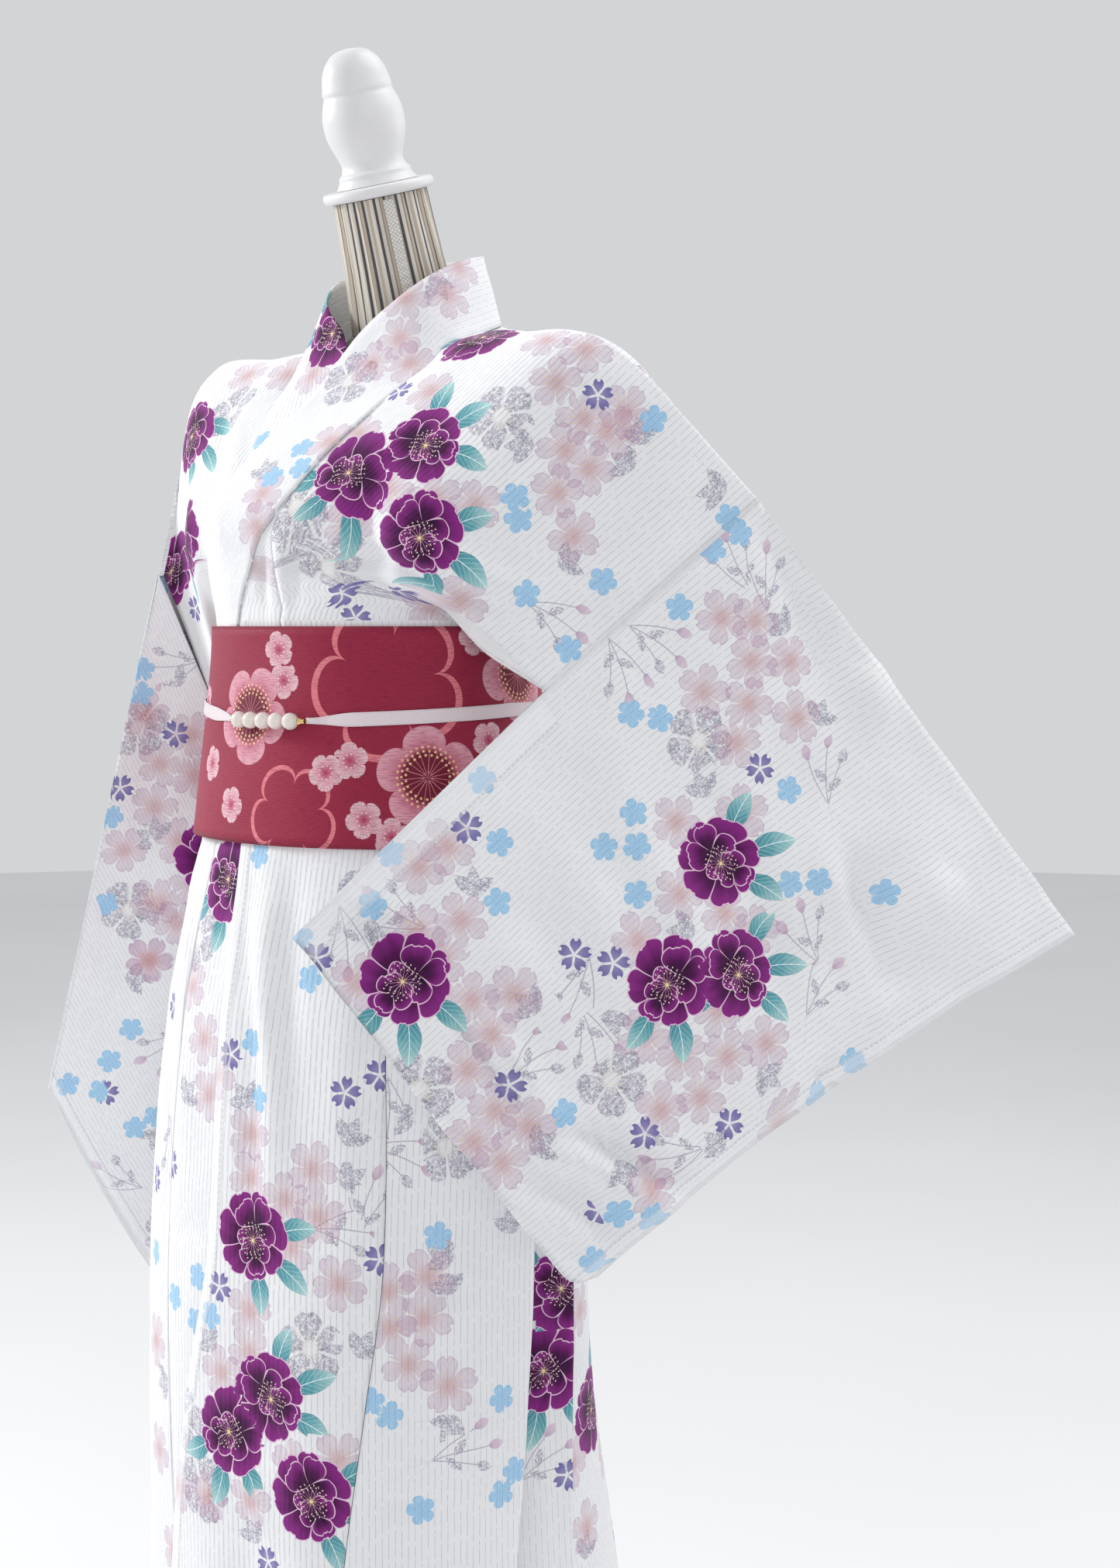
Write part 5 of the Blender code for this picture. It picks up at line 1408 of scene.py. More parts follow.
class Field:
    """A number worked out by shader nodes, so that a pattern is written as a formula."""

    tree = None

    def __init__(self, socket):
        self.socket = socket

    def made(self, operation, *others):
        node = Field.tree.nodes.new("ShaderNodeMath")
        node.operation = operation
        for slot, value in enumerate((self, *others)):
            if isinstance(value, Field):
                Field.tree.links.new(value.socket, node.inputs[slot])
            else:
                node.inputs[slot].default_value = value
        return Field(node.outputs[0])

    def __neg__(self):
        return self.made("MULTIPLY", -1.0)

    def __rsub__(self, other):
        return (-self) + other

    def step(self, low, high):
        """0 at low, 1 at high and an even slope between; it falls where low is above high."""
        node = Field.tree.nodes.new("ShaderNodeMapRange")
        node.interpolation_type = "SMOOTHSTEP"
        falls = low > high
        Field.tree.links.new(self.socket, node.inputs["Value"])
        node.inputs["From Min"].default_value = min(low, high)
        node.inputs["From Max"].default_value = max(low, high)
        node.inputs["To Min"].default_value = 1.0 if falls else 0.0
        node.inputs["To Max"].default_value = 0.0 if falls else 1.0
        return Field(node.outputs["Result"])

    def ridge(self, middle, half):
        """1 at middle and 0 at a half width from it."""
        return (self - middle).size().step(half, half * 0.35)


def field_method(operation):
    return lambda self, *others: self.made(operation, *others)


for method_name, node_operation in FIELD_OPERATIONS.items():
    setattr(Field, method_name, field_method(node_operation))


def angle_of(x, y):
    return y.made("ARCTAN2", x)


def distance(x, y):
    return (x * x + y * y).power(0.5)


def vector_parts(socket):
    node = Field.tree.nodes.new("ShaderNodeSeparateXYZ")
    Field.tree.links.new(socket, node.inputs[0])
    return [Field(output) for output in node.outputs]


def corner_values(name):
    node = Field.tree.nodes.new("ShaderNodeAttribute")
    node.attribute_name = name
    return node.outputs["Vector"]


def joined_vector(x, y, z=0.0):
    node = Field.tree.nodes.new("ShaderNodeCombineXYZ")
    for slot, value in enumerate((x, y, z)):
        if isinstance(value, Field):
            Field.tree.links.new(value.socket, node.inputs[slot])
        else:
            node.inputs[slot].default_value = value
    return node.outputs[0]


def noise_field(vector, scale, detail=2.0, roughness=0.5):
    node = Field.tree.nodes.new("ShaderNodeTexNoise")
    node.inputs["Scale"].default_value = scale
    node.inputs["Detail"].default_value = detail
    node.inputs["Roughness"].default_value = roughness
    Field.tree.links.new(vector, node.inputs["Vector"])
    return Field(node.outputs[0])


def cell_field(vector, scale, feature="F1", output="Distance"):
    node = Field.tree.nodes.new("ShaderNodeTexVoronoi")
    node.feature = feature
    node.inputs["Scale"].default_value = scale
    Field.tree.links.new(vector, node.inputs["Vector"])
    return Field(node.outputs[output])


def mixed(under, over, share):
    """The colour over laid on the colour under by a share."""
    node = Field.tree.nodes.new("ShaderNodeMix")
    node.data_type = "RGBA"
    sockets = [item for item in node.inputs if item.type == "RGBA"]
    for socket, value in zip(sockets, (under, over)):
        if isinstance(value, tuple):
            socket.default_value = (*value, 1.0)
        else:
            Field.tree.links.new(value, socket)
    if isinstance(share, Field):
        Field.tree.links.new(share.socket, node.inputs[0])
    else:
        node.inputs[0].default_value = share
    return [item for item in node.outputs if item.type == "RGBA"][0]


def ramp(value, *stops):
    """A colour that goes through stops of place and colour."""
    node = Field.tree.nodes.new("ShaderNodeValToRGB")
    Field.tree.links.new(value.socket, node.inputs[0])
    elements = node.color_ramp.elements
    for number, (place, colour) in enumerate(stops):
        element = elements[number] if number < 2 else elements.new(place)
        element.position = place
        element.color = (*colour, 1.0)
    return node.outputs[0]


def new_look(name, roughness, sheen=0.0, metallic=0.0, coat=0.0, specular=0.5):
    made = bpy.data.materials.new(name)
    made.use_nodes = True
    Field.tree = made.node_tree
    shader = made.node_tree.nodes["Principled BSDF"]
    shader.inputs["Roughness"].default_value = roughness
    shader.inputs["Metallic"].default_value = metallic
    shader.inputs["Sheen Weight"].default_value = sheen
    shader.inputs["Sheen Roughness"].default_value = 0.5
    shader.inputs["Coat Weight"].default_value = coat
    shader.inputs["Specular IOR Level"].default_value = specular
    return made, shader


def set_look(shader, colour, height, depth, roughness=None):
    """Links a colour, a bump of a depth in metres and, where it varies, the roughness."""
    if isinstance(colour, tuple):
        shader.inputs["Base Color"].default_value = (*colour, 1.0)
    else:
        Field.tree.links.new(colour, shader.inputs["Base Color"])
    bump = Field.tree.nodes.new("ShaderNodeBump")
    bump.inputs["Strength"].default_value = 1.0
    bump.inputs["Distance"].default_value = depth
    Field.tree.links.new(height.socket, bump.inputs["Height"])
    Field.tree.links.new(bump.outputs[0], shader.inputs["Normal"])
    if roughness is not None:
        Field.tree.links.new(roughness.socket, shader.inputs["Roughness"])


def petal_place(angle, count, turned=0.0):
    """The place across a petal, from -1 to 1 with 0 at its middle."""
    return (angle * (count / math.tau) + turned).part() * 2 - 1


def rounded(across, sharpness, power=0.5):
    """1 at a petal's middle and 0 at its sides, as a round lobe."""
    return (1 - across.size().power(sharpness)).most(0.0).power(power)


def swollen(place, power):
    """0 at both ends of a blade or bud and 1 at its middle."""
    return (place * math.pi).wave().most(0.0).power(power)


def held(place):
    """A place kept from 0 to 1."""
    return place.least(1.0).most(0.0)


# The purple blossom: its leaves' lean, reach and half width; its petal layers, outer first, with how
# many petals each has, its edge and the dips between petals, where its ribs start and its centre; and
# the rings of beads on its stamens, by shift, count and turn
PURPLE_LEAVES = ((-0.66, 1.72, 0.25), (0.12, 1.86, 0.26), (0.94, 1.72, 0.25))
PURPLE_LAYERS = (
    {"count": 7, "turned": 0.0, "edge": 1.00, "dip": 0.20, "low": 0.24, "centre": (0.0, 0.0)},
    {"count": 4, "turned": 0.30, "edge": 0.64, "dip": 0.34, "low": 0.02, "centre": (-0.10, 0.24)},
    {"count": 3, "turned": 0.75, "edge": 0.46, "dip": 0.26, "low": 0.02, "centre": (0.34, -0.24)},
)
PURPLE_BEADS = ((0.0, 17, 0.0), (0.07, 21, 0.35), (-0.06, 13, 0.7))
PURPLE_HEART = (0.08, -0.05)
PURPLE_DEEP, PURPLE_HALF, PURPLE_BRIGHT = (0.016, 0.001, 0.022), (0.090, 0.004, 0.080), (0.265, 0.022, 0.235)
PURPLE_RIM, PURPLE_UNDER = (0.84, 0.58, 0.74), (0.30, 0.03, 0.27)


def petal_layer(x, y, layer, bend):
    """One ring of the purple blossom's petals: (share, colour)."""
    across_x = x - layer["centre"][0]
    across_y = y - layer["centre"][1]
    r = distance(across_x, across_y) * (1 + bend * 0.22)
    angle = angle_of(across_x, across_y)
    twist = angle + (angle * 2 + 1.3).wave() * 0.13 + (angle * 3 + layer["turned"]).wave() * 0.06 + r * 0.30
    across = petal_place(twist, layer["count"], layer["turned"])
    curve = rounded(across, 2.8)
    notch = across.size().ridge(0.10, 0.16) * 0.045
    outline = layer["edge"] - layer["dip"] + curve * layer["dip"] - notch
    inside = (r - outline).step(0.006, -0.006)
    rib = (across - 0.95).size().step(0.055, 0.030) * r.step(layer["low"], layer["low"] + 0.10)
    rim = (r - outline).ridge(-0.010, 0.022).most(rib * inside * 0.9)
    shade = (r / outline).step(0.30, 1.0)
    fold = (across * 0.5 + 0.5).step(1.05, 0.45)
    vein = noise_field(joined_vector(twist * 7.0, r * 1.2), 1.6, 3.0)
    tone = shade * 0.74 + fold * 0.20 + vein * 0.26 - 0.12
    body = ramp(tone, (0.0, PURPLE_DEEP), (0.42, PURPLE_HALF), (1.0, PURPLE_BRIGHT))
    return inside, mixed(body, PURPLE_RIM, rim)


def stamens(x, y, colour):
    """The purple blossom's colour with its dark heart, thin stamens and their beads."""
    r = distance(x - PURPLE_HEART[0], y - PURPLE_HEART[1])
    angle = angle_of(x - PURPLE_HEART[0], y - PURPLE_HEART[1])
    reach = noise_field(joined_vector((angle * 4.0).wave(), (angle * 3.0 + 1.0).wave()), 1.3) * 0.30 + 0.16
    spoke = petal_place(angle + (r * 5.0).wave() * 0.10, 17)
    lines = (spoke.size() * r).step(0.030, 0.012) * (r - reach).step(0.02, -0.02) * r.step(0.02, 0.06)
    colour = mixed(colour, (0.045, 0.002, 0.045), r.step(0.30, 0.06) * 0.75)
    colour = mixed(colour, (0.66, 0.36, 0.46), lines * 0.85)
    for shift, count, turned in PURPLE_BEADS:
        bead_x = petal_place(angle, count, turned) * (r * math.pi / count)
        bead = distance(bead_x, r - reach - shift)
        colour = mixed(colour, (0.93, 0.80, 0.66), bead.step(0.020, 0.010))
    star = petal_place(angle, 7).size().step(0.30, 0.1) * r.step(0.13, 0.07)
    return mixed(colour, (0.88, 0.70, 0.36), (star + r.step(0.05, 0.03)).least(1.0))


def purple_blossom(x, y):
    """A dark layered blossom with pale outlines, stamens and three leaves: (share, colour)."""
    bend = noise_field(joined_vector(x, y, 6.0), 0.9) - 0.5
    share = x * 0.0
    colour = PURPLE_UNDER
    for lean, reach, half in PURPLE_LEAVES:
        leaf_share, leaf_colour = leaf(x, y, lean, 0.70, reach, half)
        colour = mixed(colour, leaf_colour, leaf_share)
        share = share.most(leaf_share)
    for layer in PURPLE_LAYERS:
        inside, body = petal_layer(x, y, layer, bend)
        colour = mixed(colour, body, inside)
        share = share.most(inside)
    return share, stamens(x, y, colour)


# The colours of the other motifs, as stops of a wash or as one colour, in linear light
LEAF_WASH = ((0.0, (0.025, 0.19, 0.26)), (0.5, (0.12, 0.38, 0.43)), (1.0, (0.46, 0.70, 0.70)))
LEAF_VEIN = (0.80, 0.92, 0.93)
PALE_WASH = (
    (0.0, (0.50, 0.16, 0.25)),
    (0.26, (0.53, 0.22, 0.33)),
    (0.62, (0.53, 0.29, 0.43)),
    (1.0, (0.48, 0.29, 0.45)),
)
PALE_STAMEN = (0.85, 0.58, 0.16)
SKY_WASH = ((0.25, (0.26, 0.52, 0.80)), (0.75, (0.44, 0.70, 0.90)))
SKY_MARK = (0.16, 0.38, 0.68)
INDIGO_WASH = ((0.15, (0.30, 0.26, 0.52)), (0.85, (0.095, 0.085, 0.33)))
SPECK_WASH = ((0.35, (0.20, 0.20, 0.29)), (0.65, (0.46, 0.41, 0.52)))
SPECK_CORE = (0.80, 0.68, 0.45)
SPECK_LEAF_WASH = ((0.35, (0.21, 0.21, 0.31)), (0.65, (0.42, 0.38, 0.50)))
SPRIG_GROUND, SPRIG_STEM = (0.55, 0.42, 0.55), (0.28, 0.26, 0.36)
SPRIG_LEAF, SPRIG_TIP = (0.27, 0.26, 0.37), (0.28, 0.27, 0.38)
BUD_WASH = ((0.0, (0.40, 0.22, 0.36)), (0.35, (0.60, 0.40, 0.56)), (1.0, (0.74, 0.56, 0.68)))

# The sprig's stems by lean, reach and whether they end in a bud, its leaves by foot and lean, and how
# far its foot is below the motif's middle
SPRIG_STEMS = ((-0.42, 1.45, True), (0.02, 1.65, True), (0.38, 1.25, False))
SPRIG_LEAVES = ((0.35, 0.85), (0.55, -0.80))
SPRIG_FOOT = 0.85
SPECK_LEAF_LEANS = (-0.9, 0.0, 1.0)
PALE_STAMENS = 11


def leaning(x, y, lean):
    """The distance along an axis that leans from y towards x, and the distance aside of it."""
    return y * math.cos(lean) + x * math.sin(lean), x * math.cos(lean) - y * math.sin(lean)


def blade(place, aside, half, soft, curve=0.8):
    """The inside of a pointed leaf or bud, from the place along it and the distance aside."""
    return (aside.size() - swollen(place, curve) * half).step(soft, -soft)


def leaf(x, y, lean, low, high, half):
    """A teal leaf that points away from the motif's middle: (share, colour)."""
    along, aside = leaning(y, x, lean)
    place = held((along - low) / (high - low))
    bend = aside - (place * math.pi).wave() * 0.05
    inside = blade(place, bend, half, 0.006) * along.over(low)
    wash = place + noise_field(joined_vector(along * 3.0, aside * 9.0), 1.0) * 0.35 - 0.15
    side_veins = ((place * 7.0 - bend.size() * 9.0).part() - 0.5).size().step(0.10, 0.04)
    veins = (bend.size().step(0.012, 0.006) + side_veins * 0.35).least(1.0)
    return inside, mixed(ramp(wash, *LEAF_WASH), LEAF_VEIN, veins)


def pale_blossom(x, y):
    """A watercolour cherry blossom: (share, colour)."""
    r = distance(x, y)
    angle = angle_of(x, y)
    wander = noise_field(joined_vector(x, y, 0.3), 1.4) - 0.5
    across = petal_place(angle + wander * 0.25, 5)
    curve = rounded(across, 2.2, 0.6)
    outline = 0.40 + curve * 0.58 - across.size().ridge(0.0, 0.16) * 0.10 + wander * 0.10
    inside = (r - outline).step(0.018, -0.012)
    wash = noise_field(joined_vector(x, y, 1.7), 1.3, 3.0) - 0.5
    streak = noise_field(joined_vector(across * 3.0, r * 0.7, 2.0), 1.5, 3.0) - 0.5
    rim = (r - outline).size().step(0.075, 0.005)
    gap = across.size().step(0.80, 0.97) * r.step(0.20, 0.40)
    fill = 0.34 + rim * 0.24 + r.step(0.55, 0.05) * 0.24 - gap * 0.28
    share = inside * held(fill + wash * 0.30 + streak * 0.34)
    stamen = pale_stamens(r, angle, wander)
    colour = mixed(ramp(r + wash * 0.20, *PALE_WASH), PALE_STAMEN, stamen)
    return share.most(stamen * 0.9 * inside), colour


def pale_stamens(r, angle, wander):
    """Thin stamens with a bead at the end of each."""
    reach = wander * 0.3 + 0.42
    turn = petal_place(angle + 0.2, PALE_STAMENS)
    spokes = (turn.size() * r).step(0.034, 0.014) * (r - reach).step(0.02, -0.02) * r.step(0.02, 0.10)
    beads = distance(turn * (r * math.pi / PALE_STAMENS), r - reach - 0.01).step(0.030, 0.014)
    return (spokes * 0.85 + beads).least(1.0)


def round_petals(x, y):
    """A small flat flower of five round petals: (share, colour)."""
    r = distance(x, y)
    angle = angle_of(x, y)
    across = petal_place(angle, 5)
    outline = 0.46 + rounded(across, 2.4) * 0.52
    inside = (r - outline).step(0.03, -0.03)
    wash = noise_field(joined_vector(angle * 4.0, r * 2.0), 1.3, 3.0)
    mark = across.size().step(0.10, 0.03) * r.step(0.42, 0.30) * r.step(0.05, 0.12)
    return inside * 0.92, mixed(ramp(wash, *SKY_WASH), SKY_MARK, mark * 0.6)


def notched_petals(x, y):
    """A small blossom of five separate notched petals: (share, colour)."""
    r = distance(x, y)
    across = petal_place(angle_of(x, y), 5).size()
    width = ((r - 0.10) / 0.90 * math.pi).wave().most(0.0).power(0.60) * 0.80
    tip = r - 1.0 + across.ridge(0.0, 0.30) * 0.22
    inside = (across - width).step(0.05, -0.05) * tip.step(0.03, -0.03) * r.step(0.10, 0.16)
    wash = noise_field(joined_vector(x, y, 4.0), 1.7, 3.0)
    return inside * 0.93, ramp(r * 0.8 + wash * 0.3 - 0.1, *INDIGO_WASH)


def specks(x, y, scale):
    """Small uneven marks as of a fine brush."""
    cells = cell_field(joined_vector(x, y, 2.0), scale, "DISTANCE_TO_EDGE")
    fill = noise_field(joined_vector(x, y, 5.0), scale * 1.1, 1.0)
    return (cells.step(0.05, 0.12) * fill.step(0.42, 0.50)).most(cells.step(0.055, 0.03) * 0.75)


def speckled_flower(x, y):
    """A flower drawn in fine grey and lilac marks: (share, colour)."""
    r = distance(x, y)
    angle = angle_of(x, y)
    across = petal_place(angle, 5)
    outline = 0.60 + rounded(across, 2.0) * 0.38 - across.size().ridge(0.0, 0.2) * 0.06
    inside = (r - outline).step(0.02, -0.02) * (1 - across.size().step(0.80, 0.95) * r.step(0.15, 0.3))
    share = inside * specks(x, y, 13.0) * r.step(0.14, 0.3)
    tone = noise_field(joined_vector(x, y, 8.0), 3.0)
    core = petal_place(angle, 11).size().step(0.30, 0.10) * r.step(0.40, 0.30)
    dots = specks(x, y, 17.0) * core
    return (share * 0.86).most(dots * 0.8), mixed(ramp(tone, *SPECK_WASH), SPECK_CORE, core)


def sprig(x, y):
    """Buds and speckled leaves on thin dotted stems that rise from the motif's foot: (share, colour)."""
    share = x * 0.0
    colour = SPRIG_GROUND
    rise = y + SPRIG_FOOT
    for lean, reach, budded in SPRIG_STEMS:
        along, aside = leaning(x, rise, lean)
        aside = aside + (along * 2.1).wave() * 0.07
        stem = aside.size().step(0.022, 0.012) * along.step(0.0, 0.05) * along.step(reach, reach - 0.05)
        dots = ((along * 17.0).part() - 0.5).size().step(0.40, 0.28)
        place = held((along - reach * 0.86) / 0.42)
        tip = blade(place, aside, 0.13, 0.012, 0.75)
        colour = mixed(mixed(colour, SPRIG_STEM, stem), ramp(place, *BUD_WASH) if budded else SPRIG_TIP, tip)
        share = share.most(stem * dots * 0.75).most(tip * 0.72 if budded else tip * specks(x, y, 12.0) * 0.8)
    for foot, lean in SPRIG_LEAVES:
        along, aside = leaning(x, rise - foot, lean)
        grown = blade(held(along / 0.50), aside, 0.11, 0.01) * specks(x, y, 12.0)
        colour = mixed(colour, SPRIG_LEAF, grown)
        share = share.most(grown * 0.8)
    return share, colour


def speckled_leaves(x, y):
    """Three leaves in fine grey marks that meet at their foot: (share, colour)."""
    share = x * 0.0
    for lean in SPECK_LEAF_LEANS:
        along, aside = leaning(x, y, lean)
        along = along + 0.25
        share = share.most(blade(held(along / 1.1), aside, 0.24, 0.02) * along.over(0.0))
    tone = noise_field(joined_vector(x, y, 3.0), 2.0)
    return share * specks(x, y, 9.0) * 0.85, ramp(tone, *SPECK_LEAF_WASH)


# The kinds of printed and woven motif: the layer that holds them, the radius in metres, how far they
# reach in radii and the code that the shader picks them by
MOTIFS = {
    "purple": {"layer": "print_a", "radius": 0.0305, "reach": 1.92, "code": 1.0},
    "pale": {"layer": "print_b", "radius": 0.0198, "reach": 1.15, "code": 1.0},
    "pale_over": {"layer": "print_c", "radius": 0.0190, "reach": 1.15, "code": 1.0},
    "speckled": {"layer": "print_d", "radius": 0.0250, "reach": 1.15, "code": 1.0},
    "sprig": {"layer": "print_d", "radius": 0.0270, "reach": 1.35, "code": 2.0},
    "leaves": {"layer": "print_d", "radius": 0.0190, "reach": 1.25, "code": 3.0},
    "sky": {"layer": "print_e", "radius": 0.0098, "reach": 1.45, "code": 1.0},
    "indigo": {"layer": "print_e", "radius": 0.0115, "reach": 1.40, "code": 2.0},
    "plum": {"layer": "print_a", "radius": 0.0355, "reach": 1.10, "code": 1.0},
    "plum_outline": {"layer": "print_b", "radius": 0.0540, "reach": 1.12, "code": 1.0},
    "crinkled": {"layer": "print_e", "radius": 0.0130, "reach": 1.30, "code": 1.0},
    "arc": {"layer": "print_c", "radius": 0.0290, "reach": 1.20, "code": 1.0},
    "plum_small": {"layer": "print_c", "radius": 0.0360, "reach": 1.15, "code": 2.0},
}
PRINT_LAYERS = ("print_a", "print_b", "print_c", "print_d", "print_e")

# The cotton: the distance between its stripes, a dash and a stitch in metres, threads in a metre and
# its colours
STRIPE = 0.0043
DASH = 0.021
STITCH = 0.0042
FINE_THREAD, COARSE_THREAD = 2600.0, 420.0
COTTON_SHADE, COTTON_WHITE = (0.835, 0.842, 0.862), (0.895, 0.898, 0.905)
STRIPE_INK = (0.24, 0.26, 0.34)
HEM_WHITE, HEM_STITCH = (0.93, 0.94, 0.96), (0.62, 0.64, 0.70)


def code_share(kind, code):
    return (kind - code).size().step(0.5, 0.3)


def printed(colour, layer, *motifs):
    """The colour with a layer's motifs laid on it, each given as its code and its formula."""
    x, y, kind = vector_parts(corner_values(layer))
    for code, motif in motifs:
        share, tint = motif(x, y)
        colour = mixed(colour, tint, share * code_share(kind, code))
    return colour


def stripes(line, v):
    """The share of ink in the cotton's thin dashed stripes, from a place counted in stripes."""
    number = line.whole()
    wobble = noise_field(joined_vector(number * 3.7, v * 60.0), 1.0, 1.0) * 0.16 - 0.08
    across = (line.part() - 0.5 + wobble).size()
    shift = (number * 12.98).wave() * 43.7 + noise_field(joined_vector(number, v * 50.0), 1.0) * 0.6
    dash = (v / DASH + shift).part()
    worn = noise_field(joined_vector(number * 5.1, v * 240.0), 1.0, 2.0).step(0.30, 0.52)
    return across.step(0.062, 0.024) * (dash - 0.5).size().step(0.46, 0.40) * (worn * 0.6 + 0.4)


def cotton_look():
    """White cotton with dashed stripes, a soft weave and the printed motifs."""
    made, shader = new_look("printed_cotton", 0.86, sheen=0.12, specular=0.25)
    u, v, _ = vector_parts(uv_socket())
    thread = noise_field(joined_vector(u * FINE_THREAD, v * COARSE_THREAD), 1.0, 1.0)
    cross = noise_field(joined_vector(u * COARSE_THREAD, v * FINE_THREAD), 1.0, 1.0)
    cloud = noise_field(uv_socket(), 26.0, 3.0)
    colour = ramp(cloud * 0.6 + thread * 0.25 + cross * 0.15, (0.25, COTTON_SHADE), (0.75, COTTON_WHITE))
    colour = printed(colour, "print_d", (1.0, speckled_flower), (2.0, sprig), (3.0, speckled_leaves))
    colour = printed(colour, "print_b", (1.0, pale_blossom))
    colour = printed(colour, "print_c", (1.0, pale_blossom))
    colour = printed(colour, "print_e", (1.0, round_petals), (2.0, notched_petals))
    line = u / STRIPE + 0.5
    colour = mixed(colour, STRIPE_INK, stripes(line, v) * 0.54)
    colour = printed(colour, "print_a", (1.0, purple_blossom))
    away, band, along = vector_parts(corner_values("hem"))
    doubled = (away - band).step(0.0008, -0.0008)
    stitched = ((along / STITCH).part() - 0.5).size().step(0.34, 0.28)
    stitch = (away - band + 0.0014).size().step(0.0006, 0.0003) * stitched
    colour = mixed(colour, HEM_WHITE, doubled * 0.35)
    colour = mixed(colour, HEM_STITCH, stitch * 0.55)
    soft = noise_field(joined_vector(u * 34.0, v * 15.0), 1.0, 3.0)
    small = noise_field(joined_vector(u * 160.0, v * 60.0), 1.0, 2.0)
    weave = (thread + cross) * 0.00007
    cords = (line * math.tau).wave() * 0.00006
    height = weave + cords + soft * 0.0011 + small * 0.00022 + doubled * 0.00045 - stitch * 0.0003
    set_look(shader, colour, height, 1.0)
    return made


def uv_socket():
    node = Field.tree.nodes.new("ShaderNodeUVMap")
    node.uv_map = "UVMap"
    return node.outputs[0]


# Colours of the obi's motifs and of the other looks, in linear light
PLUM_WASH = ((0.0, (0.36, 0.035, 0.085)), (0.40, (0.58, 0.15, 0.23)), (1.0, (0.78, 0.38, 0.46)))
PLUM_HEART, PLUM_STAMEN = (0.15, 0.004, 0.022), (0.70, 0.26, 0.34)
PLUM_BEAD, PLUM_CORE = (0.95, 0.60, 0.34), (0.80, 0.34, 0.40)
PLUM_BEADS = ((0.58, 31, 0.0), (0.50, 27, 0.5), (0.42, 23, 0.2))
PLUM_STAMENS = 19
OUTLINE_PINK = (0.78, 0.22, 0.26)
CRINKLED_WASH = ((0.0, (0.45, 0.03, 0.10)), (0.4, (0.72, 0.28, 0.38)), (1.0, (0.84, 0.54, 0.60)))
CRINKLED_RAY, CRINKLED_DOT = (0.90, 0.70, 0.72), (0.92, 0.80, 0.66)
ARC_CREAM, ARC_RING = (0.90, 0.78, 0.66), (0.55, 0.10, 0.16)
OBI_WASH = ((0.28, (0.230, 0.006, 0.032)), (0.72, (0.420, 0.026, 0.076)))
OBI_SLUB = (0.16, 0.006, 0.024)
OBI_RIB, RIBBON_RIB = 0.0011, 0.0010
# The ribbon's colours: painted shade in the rib grooves, with the threads' uneven tone
RIBBON_RIB_SHADE_WASH = ((0.2, (0.72, 0.60, 0.64)), (0.8, (0.88, 0.80, 0.82)))
# The pearl's colours from the middle that faces the camera to its rim, with painted shade and sheen towards
# the rim
PEARL_RIM_SHADE_WASH = ((0.05, (0.86, 0.80, 0.72)), (0.55, (0.82, 0.74, 0.70)), (1.0, (0.66, 0.60, 0.66)))
GOLD_WASH = ((0.3, (0.72, 0.47, 0.16)), (0.7, (0.93, 0.72, 0.36)))
CREAM, BEIGE = (0.74, 0.70, 0.62), (0.55, 0.47, 0.37)
BROWN, CHARCOAL = (0.30, 0.23, 0.18), (0.055, 0.050, 0.055)
LINEN_STRIPES = (
    (0.00, BEIGE),
    (0.14, CREAM),
    (0.32, CHARCOAL),
    (0.44, CREAM),
    (0.60, BROWN),
    (0.66, BEIGE),
    (0.78, CHARCOAL),
    (0.90, CREAM),
)
LINEN_REPEAT, LINEN_BLEND = 0.0190, 0.01
LINEN_DARK, LINEN_PALE = (0.10, 0.09, 0.09), (0.80, 0.76, 0.70)
PAINT_TINT = (0.955, 0.955, 0.965)
BRAID_PLAIT = 0.0030
# The braid's colours: painted grey shade in the grooves between strands, white on the strands
BRAID_GROOVE_SHADE_WASH = ((0.0, (0.48, 0.45, 0.42)), (0.25, (0.84, 0.82, 0.78)))
FLOOR_WASH = ((0.3, (0.80, 0.80, 0.81)), (0.7, (0.83, 0.83, 0.84)))


def plum_blossom(x, y):
    """A woven plum blossom with long stamens: (share, colour)."""
    r = distance(x, y)
    angle = angle_of(x, y)
    across = petal_place(angle, 5)
    outline = 0.62 + rounded(across, 2.0) * 0.36
    inside = (r - outline).step(0.012, -0.012)
    shade = (r / outline).step(0.25, 1.0)
    side = across.size().step(0.6, 1.0)
    colour = ramp(shade - side * 0.16, *PLUM_WASH)
    heart = r.step(0.60, 0.44)
    colour = mixed(colour, PLUM_HEART, heart * 0.97)
    turned = angle + (angle * 5.0).wave() * 0.04
    spoke = petal_place(turned, PLUM_STAMENS).size() * r
    spoke = spoke.step(0.050, 0.024) * r.step(0.52, 0.46) * r.step(0.05, 0.10)
    colour = mixed(colour, PLUM_STAMEN, spoke * 0.85)
    for radius, count, turned in PLUM_BEADS:
        bead = distance(petal_place(angle, count, turned) * (math.pi * radius / count), r - radius)
        colour = mixed(colour, PLUM_BEAD, bead.step(0.030, 0.020))
    core = petal_place(angle, 7).size().step(0.3, 0.1) * r.step(0.14, 0.08)
    return inside, mixed(colour, PLUM_CORE, core)


def plum_outline(x, y):
    """The broad outline of a plum blossom: (share, colour)."""
    r = distance(x, y)
    across = petal_place(angle_of(x, y), 5, 0.13)
    outline = 0.62 + rounded(across, 2.0) * 0.34
    return (r - outline).size().step(0.050, 0.040), OUTLINE_PINK


